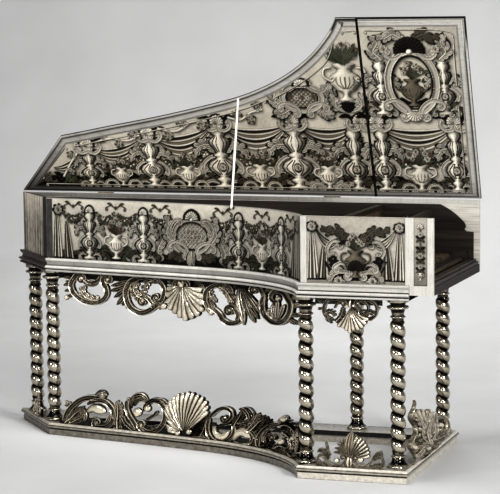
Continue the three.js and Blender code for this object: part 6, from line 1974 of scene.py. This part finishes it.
for k in (-1, 1):
    V.tone = STONE
    vol, kk = volute((cx + k * 0.012, 0.770), math.pi / 2 - k * 0.75, -k, 0.058, 0.014, 430)
    V.strip(vol, 0.0085 * (0.35 + 0.65 * kk), 0.007, "channel")
    for t in range(3, len(vol) - 5, 2):
        dd = vol[t + 1] - vol[t]
        aa = math.atan2(dd[1], dd[0]) + k * 0.75
        ln = 0.030 * (1.1 - 0.03 * t)
        V.tongue([vol[t], vol[t] + 0.55 * ln * np.array([math.cos(aa), math.sin(aa)]), vol[t] + ln * np.array([math.cos(aa - k * 0.7), math.sin(aa - k * 0.7)])], ln * 0.26, ln * 0.2)
    rosette(V, vol[-1][0], vol[-1][1], 0.017, 8, PALE, BRONZE)
    V.tone = DEEP
    for r, a in ((0.052, 1.25), (0.066, 0.98), (0.074, 0.70), (0.070, 0.42), (0.056, 0.16)):
        q = np.array([k * math.cos(a), math.sin(a)])
        V.tone = DEEP if a in (1.25, 0.70, 0.16) else GREEN
        V.tongue([(cx + k * 0.010, 0.884), np.array([cx + k * 0.010, 0.884]) + q * r * 0.55 + np.array([0, 0.010]), np.array([cx + k * 0.010, 0.884]) + q * r], 0.0075, 0.006)
    c_scroll(V, (cx + k * 0.018, 0.774), (cx + k * 0.076, 0.812), k * 0.024, 0.009, PALE, 0.015)
    plume(V, [(cx + k * 0.040, 0.916), (cx + k * 0.074, 0.944), (cx + k * 0.110, 0.938), (cx + k * 0.132, 0.962)], 0.016, BRONZE, DEEP, 6)
cheek.lay(V, relief=1.3, shadow=(0.004, -0.004, 3, 0.7), outline=0.4)
V = Motifs()
urn(V, cx, 0.768, 0.132, BRONZE, seed=131)
V.tone = DEEP
V.fan((cx, 0.792), [(cx - 0.030, 0.796), (cx - 0.024, 0.822), (cx, 0.834), (cx + 0.024, 0.822), (cx + 0.030, 0.796)], 0.010, n=7)
cheek.lay(V, relief=1.4, shadow=(0.005, -0.005, 4, 0.8), outline=0.5)
# the strip: a small candelabrum
V = Motifs()
sx = 0.463
V.tone = BRONZE
V.strip(spline([(sx, 0.775), (sx, 0.960)], 20), 0.0026, 0.003, "round")
for z in (0.795, 0.832, 0.872, 0.912):
    for k in (-1, 1):
        V.tone = DEEP
        V.tongue([(sx, z), (sx + k * 0.008, z + 0.012), (sx + k * 0.018, z + 0.016)], 0.0055, 0.003)
        V.tone = BRONZE
        V.tongue([(sx, z + 0.006), (sx + k * 0.008, z + 0.002), (sx + k * 0.015, z - 0.006)], 0.0045, 0.003)
rosette(V, sx, 0.855, 0.012, 7, STONE, BRONZE)
rosette(V, sx, 0.934, 0.010, 7, PALE, BRONZE)
rosette(V, sx, 0.815, 0.010, 7, STONE, BRONZE)
urn(V, sx, 0.766, 0.034, STONE, flowers=False)
V.tone = STONE
V.fan((sx, 0.955), [(sx - 0.013, 0.957), (sx - 0.010, 0.968), (sx, 0.975), (sx + 0.010, 0.968), (sx + 0.013, 0.957)], 0.005, n=5)
cheek.lay(V, relief=1.2, shadow=(0.002, -0.002, 2, 0.6), outline=0.4)
cheek.c = np.clip(cheek.c * (0.92 + 0.16 * cheek.clouds(0.03, 65))[..., None], 0, 1)
# thin dark lines round the fields
for x0, x1, z0, z1 in ((0.0245, 0.4045, 0.7475, 0.9940), (0.4375, 0.4885, 0.7445, 0.9940)):
    inside = (cheek.X > x0) & (cheek.X < x1) & (cheek.Y > z0) & (cheek.Y < z1)
    d = np.minimum(np.minimum(cheek.X - x0, x1 - cheek.X), np.minimum(cheek.Y - z0, z1 - cheek.Y))
    line = np.where(inside, np.clip(1 - d / 0.0025, 0, 1), 0)[..., None]
    cheek.c *= 1 - 0.85 * line


def flat_field(name, x0, x1, z0, z1, out, step=0.0020):
    xs = np.linspace(x0, x1, max(4, int((x1 - x0) / step)))
    zs = np.linspace(z0, z1, max(4, int((z1 - z0) / step)))
    U2, Z2 = np.meshgrid(xs, zs, indexing="ij")
    f = line_map(CK_A, CK_B, out)
    painted_slab(name, U2, Z2, lambda x, z, h: f(x, z, h), cheek.sample(U2, Z2), M_PANEL, "root", -0.0006)


flat_field("cheek_painting", 0.0242, 0.4048, 0.7446, 0.9944, 0.0008)
flat_field("strip_painting", 0.4372, 0.4888, 0.7432, 0.9944, 0.0008, 0.0015)


def bar(mesh, x0, x1, z0, z1, out, colour, along="z", n=10, back=0.0002, f=None):
    """A flat bar with softened edges on the cheek's face."""
    f = f or line_map(CK_A, CK_B, 0.0)
    e = 0.0006
    g = []
    if along == "z":
        for z in np.linspace(z0, z1, n):
            g.append(f(np.array([x0, x0, x0 + e, x1 - e, x1, x1]), np.full(6, z), np.array([back, out - e, out, out, out - e, back])))
    else:
        for x in np.linspace(x0, x1, n):
            g.append(f(np.full(6, x), np.array([z0, z0, z0 + e, z1 - e, z1, z1]), np.array([back, out - e, out, out, out - e, back])))
    rings(mesh, np.array(g), colour)


m = Mesh()
PALE_PAINT = 0.52
bar(m, 0.0004, 0.0240, 0.7442, 0.9946, 0.0018, PALE_PAINT)
bar(m, 0.4050, 0.4370, 0.7072, 0.9946, 0.0018, PALE_PAINT)
bar(m, 0.4890, 0.5118, 0.7072, 0.9946, 0.0018, PALE_PAINT)
bar(m, 0.4372, 0.4888, 0.7072, 0.7430, 0.0016, PALE_PAINT * 0.95, "x")
make("cheek_frame", m, M_STILE, smooth_angle=20)

# ---- the tail's boards: streaky dark wood under worn paint --------------------------------
TL = math.hypot(*TAIL)
tail = Canvas(0.0, 0.74, TL, 1.0, 0.001)
streak = tail.clouds(0.02, 71, 3)
rows = np.linspace(0, 1, tail.ny)[:, None]
rng2 = np.random.default_rng(72)
cols = np.interp(np.arange(tail.nx), np.arange(0, tail.nx + 7, 7), rng2.random(len(np.arange(0, tail.nx + 7, 7))))[None, :]
big = tail.clouds(0.09, 73, 3)
value = 0.34 + 0.36 * np.clip((tail.Y - 0.86) / 0.13, 0, 1) ** 1.4 + 0.62 * (cols - 0.45) * (0.4 + big) + 0.30 * (streak - 0.5)
tail.ground(np.clip(value, 0.05, 0.85), (1.0, 0.95, 0.87))
xs = np.linspace(0.0006, TL - 0.0006, 150)
zs = np.linspace(0.7446, 0.9940, 100)
U2, Z2 = np.meshgrid(xs, zs, indexing="ij")
tl = line_map((0.0, 0.0), TAIL, 0.0009)
painted_slab("tail_paint", U2, Z2, lambda x, z, h: tl(x, z, h), tail.sample(U2, Z2), M_PANEL, "root", -0.0007)
m = Mesh()
f = line_map((0.0, 0.0), TAIL, 0.0)
bar(m, TL - 0.046, TL - 0.001, 0.7448, 0.9938, 0.0026, 0.055, f=f, back=0.0010)
bar(m, 0.001, 0.012, 0.7448, 0.9938, 0.0022, 0.20, f=f, back=0.0010)
make("tail_stiles", m, M_PANEL, smooth_angle=20)

# ---- the inside of the spine, seen between lid and bentside -------------------------------
m = Mesh()
sp = line_map((LENGTH, 0.0142), (0.0, 0.0142), 0.0)


def spine_bar(x0, x1, z0, z1, out, colour, n=60):
    g = []
    for u in np.linspace(x0, x1, n):
        g.append([P(u, 0.0142, z0), P(u, 0.0142 + out, z0), P(u, 0.0142 + out, z1 - 0.0008), P(u, 0.0142 + out - 0.0008, z1), P(u, 0.0142, z1)])
    u = np.linspace(x0, x1, n)
    tone = np.interp(u, [0.0, 0.25, 0.75, 0.85, 1.25, 1.50, 2.0], [0.16, 0.24, 0.22, 0.16, 0.25, 0.48, 0.52])
    rings(m, np.array(g), np.repeat(tone[:, None], 5, 1))


spine_bar(0.020, LENGTH - 0.001, 0.9790, 0.9948, 0.0016, 0.30)
make("spine_strip", m, M_STILE, smooth_angle=20)

# ---- lid stick: a turned rod --------------------------------------------------------------
o = NODES["lid_stick"]
pts = np.array([o.matrix_world @ v.co for v in o.data.vertices])
mean = pts.mean(0)
axis = np.linalg.svd(pts - mean, full_matrices=False)[2][0]
axis = axis if axis[2] > 0 else -axis
t = (pts - mean) @ axis
lo_end, hi_end = mean + axis * t.min(), mean + axis * t.max()
length = t.max() - t.min()
side_a = np.cross(axis, [1.0, 0, 0])
side_a /= np.linalg.norm(side_a)
side_b = np.cross(axis, side_a)
prof = curve_profile([(0.0022, 0.0), (0.0044, 0.0006), (0.0048, 0.0015), (0.0048, 0.0150), (0.0043, 0.0160), (0.0040, 0.0190), (0.0045, 0.0215), (0.0038, 0.0240),
                      (0.0040, 0.0400), (0.0047, length * 0.45), (0.0038, length - 0.060), (0.0036, length - 0.030), (0.0046, length - 0.027), (0.0046, length - 0.023),
                      (0.0036, length - 0.020), ("arc", (0.0036, length - 0.004), 0.06), (0.0020, length - 0.0012), (0.0008, length - 0.0002)])
m = Mesh()
a = np.linspace(0, 2 * math.pi, 21)[:-1]
rings(m, np.array([[lo_end + axis * z + (side_a * math.cos(q) + side_b * math.sin(q)) * r for q in a] for r, z in prof]), 0.88)
make("lid_stick_turned", m, M_IVORY, "stick", ["lid_stick"], smooth_angle=40)

# ---- the inside: strings, bridge, pins -------------------------------------------------
MM = 0.001
KEYS_V, PITCH, NAT = 0.0538, 0.013767, 0.0236
SHARPS = (1, 3, 6, 8, 10)
MOVING = {24: "key_c", 25: "key_c_sharp", 26: "key_d"}
JACKS = {24: "jack_c", 25: "jack_c_sharp", 26: "jack_d"}


def lever_v(i):
    return KEYS_V + (i + 0.5) * PITCH


def natural_index(i):
    return (0, 0, 1, 1, 2, 3, 3, 4, 4, 5, 5, 6)[i % 12] + 7 * (i // 12)


BRIDGE = np.array([(1540, 738), (1500, 690), (1455, 640), (1390, 580), (1325, 530), (1235, 480), (1120, 430), (960, 385), (770, 340), (590, 300), (430, 262), (330, 180), (240, 62)]) * MM
wall_line = outline(spine=-0.026, tail=-0.026, bent=-0.026, cheek=-0.026)[:I_CORNER + 1]


def tube(mesh, points, r, sides, colour):
    """A thin round rod through points given as (u, v, z)."""
    pts = np.array([P(*q) for q in points], float)
    d = np.gradient(pts, axis=0)
    d /= np.linalg.norm(d, axis=1)[:, None]
    a = np.cross(d, [0.0, 0.0, 1.0])
    a /= np.maximum(np.linalg.norm(a, axis=1), 1e-9)[:, None]
    b = np.cross(d, a)
    t = np.arange(sides) * 2 * math.pi / sides
    rings(mesh, pts[:, None] + r * (np.cos(t)[None, :, None] * a[:, None] + np.sin(t)[None, :, None] * b[:, None]), colour)


m, pins = Mesh(), Mesh()
for i in range(49):
    v = lever_v(i) - 0.0052
    ub = float(np.interp(v, BRIDGE[::-1, 1], BRIDGE[::-1, 0]))
    uw = float(np.interp(v, wall_line[:, 1], wall_line[:, 0]))
    us = max(ub - 0.070, uw + 0.014)
    up = 1.712 + (i % 2) * 0.034 + (0.008 if i % 4 > 1 else 0.0)
    r = 0.00036 - 0.00014 * i / 48
    tube(m, [(us, v, 0.9165), (us + 0.010, v, 0.9190), (ub, v, 0.9224), (ub + 0.010, v, 0.9224), (1.640, v, 0.9224), (1.652, v, 0.9224), (1.690, v, 0.9205), (up - 0.0028, v + 0.0021, 0.9180)], r, 5, 0.7)
    # the coil round the pin
    t = np.linspace(0, 5 * math.pi, 26)
    tube(m, [(up + 0.00235 * math.cos(a + 2.2), v + 0.00235 * math.sin(a + 2.2), 0.9180 - 0.0004 * a) for a in t], 0.0003, 4, 0.7)
    x, y, _ = P(up, v, 0)
    turned(pins, (x, y), [(0.0019, 0.9053), (0.00195, 0.9140), (0.0020, 0.9230), (0.0017, 0.9238), (0.0017, 0.9246)], 10, 0.6)
    e = 0.0002
    pins.add(np.array([P(up + a * w, v + b * h, z) for z, w, h in ((0.9244, 0.0021, 0.0013), (0.9312, 0.0019, 0.0011), (0.9318, 0.0015, 0.0008)) for a, b in ((-1, -1), (1, -1), (1, 1), (-1, 1))]),
             [(3, 2, 1, 0), (0, 1, 5, 4), (1, 2, 6, 5), (2, 3, 7, 6), (3, 0, 4, 7), (4, 5, 9, 8), (5, 6, 10, 9), (6, 7, 11, 10), (7, 4, 8, 11), (8, 9, 10, 11)], 0.6)
    # hitch pin and bridge pin
    for u, z0, z1 in ((us, 0.9035, 0.9190), (ub - 0.0012, 0.9200, 0.9245)):
        x, y, _ = P(u, v - 0.0009, 0)
        turned(pins, (x, y), [(0.0006, z0), (0.00062, z1 - 0.0004), (0.0003, z1)], 6, 0.6)
make("strings_drawn", m, M_WIRE, replaces=["strings"], smooth_angle=50)
make("pins_turned", pins, M_IRON, replaces=["tuning_pins"], smooth_angle=40)

bridge_line = smooth(BRIDGE, 150)
d = headings(bridge_line)
nrm = np.stack([-d[:, 1], d[:, 0]], 1)
section = [(-4.5, 903.5), (-4.4, 907.0), (-3.5, 908.6), (-3.5, 912.5), (-2.7, 916.5), (-1.9, 920.4), (-1.2, 921.5), (1.2, 921.5), (1.9, 920.4), (2.7, 916.5), (3.5, 912.5), (3.5, 908.6), (4.4, 907.0), (4.5, 903.5)]
m = Mesh()
rings(m, np.array([[P(q[0] + n[0] * w * MM, q[1] + n[1] * w * MM, z * MM) for w, z in section] for q, n in zip(bridge_line, nrm)]), 0.5)
make("bridge_moulded", m, M_WALNUT, replaces=["bridge"], smooth_angle=30)
m = Mesh()
section = [(-4.0, 905.35), (-3.9, 909.5), (-3.0, 911.0), (-2.6, 917.0), (-1.0, 921.4), (1.0, 921.5), (2.6, 919.0), (3.0, 911.0), (3.9, 909.5), (4.0, 905.35)]
rings(m, np.array([[P(1.652 + w * MM, v, z * MM) for w, z in section] for v in np.linspace(0.0345, 0.7575, 50)]), 0.5)
make("nut_moulded", m, M_WALNUT, replaces=["nut"], smooth_angle=30)

# ---- rose: a pierced star in a moulded ring -----------------------------------------------
m = Mesh()
RU, RV = 1.290, 0.190
cx, cy, _ = P(RU, RV, 0)
t = np.linspace(0, 2 * math.pi, 73)[:-1]
ring = [(0.0462, 0.8930), (0.0515, 0.8930), (0.0516, 0.9012), (0.0508, 0.9024), (0.0500, 0.9012), (0.0490, 0.9022), (0.0480, 0.9000), (0.0462, 0.8988)]
g = np.array([[(cx + r * math.cos(a), cy + r * math.sin(a), z) for r, z in ring] for a in np.r_[t, t[:1]]])
rings(m, g, 0.7, cap=False)
ROSE = Motifs()
for k in range(6):
    a0 = k * math.pi / 3
    for tilt in (-1, 1):
        q = [(0.0475 * math.cos(a0 + tilt * f * 1.1) * (1 - 0.62 * math.sin(f * math.pi)), 0.0475 * math.sin(a0 + tilt * f * 1.1) * (1 - 0.62 * math.sin(f * math.pi))) for f in np.linspace(0, 1, 24)]
        ROSE.strip(np.array(q), 0.0017, 0.0022, "round", base=0.001, back=-0.0022)
for r, w in ((0.030, 0.0016), (0.0145, 0.0016), (0.040, 0.0013)):
    ROSE.strip(np.array([(r * math.cos(a), r * math.sin(a)) for a in np.linspace(0, 2 * math.pi * 1.004, 60)]), w, 0.0020, "round", base=0.0005, back=-0.0022)
for k in range(12):
    a0 = (k + 0.5) * math.pi / 6
    ROSE.tongue([(0.0145 * math.cos(a0), 0.0145 * math.sin(a0)), (0.030 * math.cos(a0 + 0.10), 0.030 * math.sin(a0 + 0.10)), (0.046 * math.cos(a0), 0.046 * math.sin(a0))], 0.0036, 0.0022)
ROSE.ball(0.0, 0.0, 0.0062, 0.004)
for k in range(6):
    a0 = k * math.pi / 3
    ROSE.tongue([(0, 0), (0.008 * math.cos(a0), 0.008 * math.sin(a0)), (0.0150 * math.cos(a0), 0.0150 * math.sin(a0))], 0.003, 0.003)
carve(m, ROSE, lambda X, Y: (X, Y), lambda x, y, h: np.stack([cx + x, cy + y, 0.8965 + np.clip(h, -0.003, 0.0045)], -1))
make("rose_pierced", m, M_PARCHMENT, replaces=["rose"], smooth_angle=40)

# ---- keys ------------------------------------------------------------------------------------


def taper(mesh, u0, u1, v0, v1, z0, z1, du0=0.0, du1=0.0, dv=0.0, colour=0.6):
    """A block whose top is drawn in by du0, du1 and dv."""
    p = [P(u, v, z0) for u, v in ((u0, v0), (u1, v0), (u1, v1), (u0, v1))] + [P(u, v, z1) for u, v in ((u0 + du0, v0 + dv), (u1 - du1, v0 + dv), (u1 - du1, v1 - dv), (u0 + du0, v1 - dv))]
    mesh.add(np.array(p), [(3, 2, 1, 0), (4, 5, 6, 7), (0, 1, 5, 4), (1, 2, 6, 5), (2, 3, 7, 6), (3, 0, 4, 7)], colour)


W = PITCH / 2 - 0.00056
levers, covers, caps = Mesh(), Mesh(), Mesh()
strip = (KEYS_V, KEYS_V + 49 * PITCH)
taper(levers, 1.7302, 1.7398, strip[0], strip[1], 0.7537, 0.7550)
for i in range(49):
    v, sharp = lever_v(i), i % 12 in SHARPS
    low = 0.75537 if i in MOVING else 0.75502
    lev, cov = (Mesh(), Mesh()) if i in MOVING else (levers, caps if sharp else covers)
    taper(lev, 1.5752, 1.8928 if sharp else 1.8958, v - W, v + W, low, 0.7669)
    if sharp:
        taper(cov, 1.8242, 1.8918, v - 0.0049, v + 0.0049, 0.7670, 0.7765, 0.0, 0.0020, 0.0004)
        taper(cov, 1.8244, 1.8896, v - 0.0044, v + 0.0044, 0.7766, 0.7829, 0.0, 0.0030, 0.0009)
    else:
        h = KEYS_V + natural_index(i) * NAT
        taper(lev, 1.8960, 1.9385, h + 0.0006, h + NAT - 0.0006, low, 0.7669)
        # a turned arch on the key's front
        a = np.linspace(0, math.pi, 15)
        c = h + NAT / 2
        arch = [(c + 0.0088 * math.cos(q), 0.7562 + 0.0088 * math.sin(q)) for q in a] + [(c + 0.0062 * math.cos(q), 0.7562 + 0.0062 * math.sin(q)) for q in a[::-1]]
        ring_pts = np.array([[P(1.9384, y, z) for y, z in arch], [P(1.9394, y, z) for y, z in arch]])
        rings(lev, ring_pts, 0.6)
        taper(cov, 1.8202, 1.8958, v - W, v + W, 0.7670, 0.7708)
        taper(cov, 1.8960, 1.9396, h + 0.00055, h + NAT - 0.00055, 0.7670, 0.7709, 0.0, 0.0004, 0.0002)
        for uu in (1.8985, 1.9010):
            taper(cov, uu, uu + 0.0006, h + 0.0012, h + NAT - 0.0012, 0.7706, 0.77098)
    if i in MOVING:
        node = MOVING[i]
        make(node + "_lever", lev, M_KEYWOOD, node + "_body", [node], smooth_angle=20, bevel=0.00035)
        # a sharp's top is dark key wood here too: painted shade
        make(node + "_cover", cov, M_KEYWOOD if sharp else M_EBONY, node + "_body", [node], smooth_angle=20, bevel=0.00035)
make("key_levers", levers, M_KEYWOOD, replaces=["keyboard_keys"], smooth_angle=20, bevel=0.00035)
make("key_covers", covers, M_EBONY, replaces=["keyboard_keys"], smooth_angle=20, bevel=0.00035)
# the sharps' tops are dark key wood, standing for the shade in the keywell: painted shade
make("key_sharp_tops", caps, M_KEYWOOD, replaces=["keyboard_keys"], smooth_angle=20, bevel=0.00035)

# ---- register and jacks -------------------------------------------------------------------------
register, standing = Mesh(), Mesh()
taper(register, 1.5741, 1.5833, 0.0264, 0.7656, 0.8991, 0.9149)
taper(register, 1.5967, 1.6059, 0.0264, 0.7656, 0.8991, 0.9149)
edges = [0.0264] + [lever_v(i) + s2 * 0.00255 for i in range(49) for s2 in (-1, 1)] + [0.7656]
for a, b in zip(edges[0::2], edges[1::2]):
    taper(register, 1.5834, 1.5966, a, b, 0.8991, 0.9149)
for i in range(49):
    v = lever_v(i)
    q = Mesh() if i in JACKS else standing
    taper(q, 1.5841, 1.5959, v - 0.0019, v + 0.0019, 0.7684, 0.9300)
    taper(q, 1.5841, 1.5872, v - 0.0019, v + 0.0019, 0.9301, 0.9448, 0.0003, 0.0, 0.0002)
    taper(q, 1.5928, 1.5959, v - 0.0019, v + 0.0019, 0.9301, 0.9448, 0.0, 0.0003, 0.0002)
    taper(q, 1.5876, 1.5924, v - 0.0012, v + 0.0012, 0.9301, 0.9436, 0.0004, 0.0004, 0.0002)
    taper(q, 1.5892, 1.5908, v - 0.0044, v - 0.0012, 0.9190, 0.9197)
    if i in JACKS:
        make(JACKS[i] + "_cut", q, M_WALNUT_Z, JACKS[i] + "_body", [JACKS[i]], smooth_angle=20, bevel=0.0003)
make("register_bars", register, M_WALNUT, replaces=["jack_register"], smooth_angle=20, bevel=0.0004)
make("jacks_standing", standing, M_WALNUT_Z, replaces=["jack_register"], smooth_angle=20, bevel=0.0003)

# ---- the lid stick's pivot lugs --------------------------------------------------------------------
m = Mesh()
for u0 in (1.1002, 1.1162):
    stick_lug(m, u0, u0 + 0.0036, 0.0188)
make("stick_lugs", m, M_DARK_Y, replaces=["case_bentside_wall"], smooth_angle=25)

# ---- the back of the case: a dark board with stiles and rails round three plain panels --------------
m = Mesh()
f = line_map((LENGTH, 0.0), (0.0, 0.0), 0.0)
bar(m, 0.0008, LENGTH - 0.0008, 0.7446, 0.9480, 0.0011, 0.5, "x", n=40, f=f)
for x0, x1 in ((0.0008, LENGTH - 1.4165), (LENGTH - 1.3435, LENGTH - 0.4165), (LENGTH - 0.3435, LENGTH - 0.0008)):
    bar(m, x0, x1, 0.9481, 0.9946, 0.0011, 0.5, "x", n=20, f=f)
for z0, z1 in ((0.7448, 0.7800), (0.8990, 0.9300)):
    bar(m, 0.001, LENGTH - 0.001, z0, z1, 0.0038, 0.5, "x", n=30, f=f, back=0.0012)
for x in (0.001, 0.6500, 1.3000, LENGTH - 0.0460):
    bar(m, x, x + 0.045, 0.7802, 0.8988, 0.0036, 0.5, f=f, back=0.0012)
make("spine_back_frame", m, M_BACK, smooth_angle=20)

# ---- light and floor ------------------------------------------------------------
scene = bpy.context.scene
world = scene.world or bpy.data.worlds.new("world")
scene.world = world
world.use_nodes = True
bg = next(n for n in world.node_tree.nodes if n.type == "BACKGROUND")
bg.inputs["Color"].default_value = (0.93, 0.96, 1.0, 1.0)
bg.inputs["Strength"].default_value = 0.08


def area(name, where, at, size, power, spread=None):
    d = bpy.data.lights.new(name, "AREA")
    d.shape, d.size, d.size_y, d.energy = "RECTANGLE", size[0], size[1], power
    if spread:
        d.spread = math.radians(spread)
    o = bpy.data.objects.new(name, d)
    scene.collection.objects.link(o)
    o.location = where
    o.rotation_euler = (Vector(at) - Vector(where)).to_track_quat("-Z", "Y").to_euler()
    return o


area("key_light", (4.7, -3.8, 2.6), (0.0, 0.0, 0.9), (1.3, 1.7), 285)
area("fill_light", (-3.4, -4.8, 2.4), (-0.3, 0.0, 0.8), (1.0, 1.6), 75)
area("front_light", (0.6, -5.6, 1.0), (0.2, 0.3, 1.3), (2.0, 0.8), 34)
area("top_light", (-0.2, -0.6, 4.2), (0.0, 0.1, 0.6), (2.2, 1.2), 62)
area("under_light", (0.0, 0.12, 0.66), (0.0, 0.12, 0.0), (1.7, 0.34), 1.7, 120).visible_camera = False
area("floor_light", (1.7, -4.4, 3.4), (1.5, -2.2, 0.0), (2.4, 0.8), 8, 100)
area("backdrop_light_left", (-3.4, 2.7, 4.6), (-2.4, 6.0, 1.2), (1.6, 1.0), 45)
area("back_floor_light", (-0.4, 2.9, 3.3), (-0.4, 3.6, 0.0), (5.0, 0.8), 28, 120)
area("backdrop_light_right", (2.6, 2.7, 4.6), (2.6, 6.0, 1.2), (1.6, 1.0), 44)

k = Nodes("floor_paper")
n = k.noise(1.3, (1, 1, 1), 3.0, 0.5)
k.base(k.ramp(n, [(0.3, (0.537, 0.537, 0.532)), (0.7, (0.594, 0.594, 0.589))]))
k.b.inputs["Roughness"].default_value = 0.85
m = Mesh()
prof = [(-14.0, 0.0)] + [(t, 0.0) for t in np.linspace(-10, 3.4, 12)]
prof += [(3.4 + 2.4 * math.sin(a), 2.4 - 2.4 * math.cos(a)) for a in np.linspace(0, math.pi / 2, 14)[1:]] + [(5.8, 5.0), (5.8, 8.0)]
m_rows = np.array([[(x, y, z) for x in np.linspace(-14, 14, 15)] for y, z in prof])
idx = np.arange(m_rows.shape[0] * 15).reshape(-1, 15)
m.add_quads(m_rows.reshape(-1, 3), np.stack([idx[:-1, :-1], idx[:-1, 1:], idx[1:, 1:], idx[1:, :-1]], -1).reshape(-1, 4), 1.0)
me = bpy.data.meshes.new("floor")
me.from_pydata([tuple(p) for p in np.vstack(m.v)], [], m.f)
me.polygons.foreach_set("use_smooth", np.ones(len(me.polygons), bool))
floor = bpy.data.objects.new("floor", me)
scene.collection.objects.link(floor)
me.materials.append(k.m)

scene.view_settings.view_transform = "Standard"
scene.view_settings.look = "High Contrast"
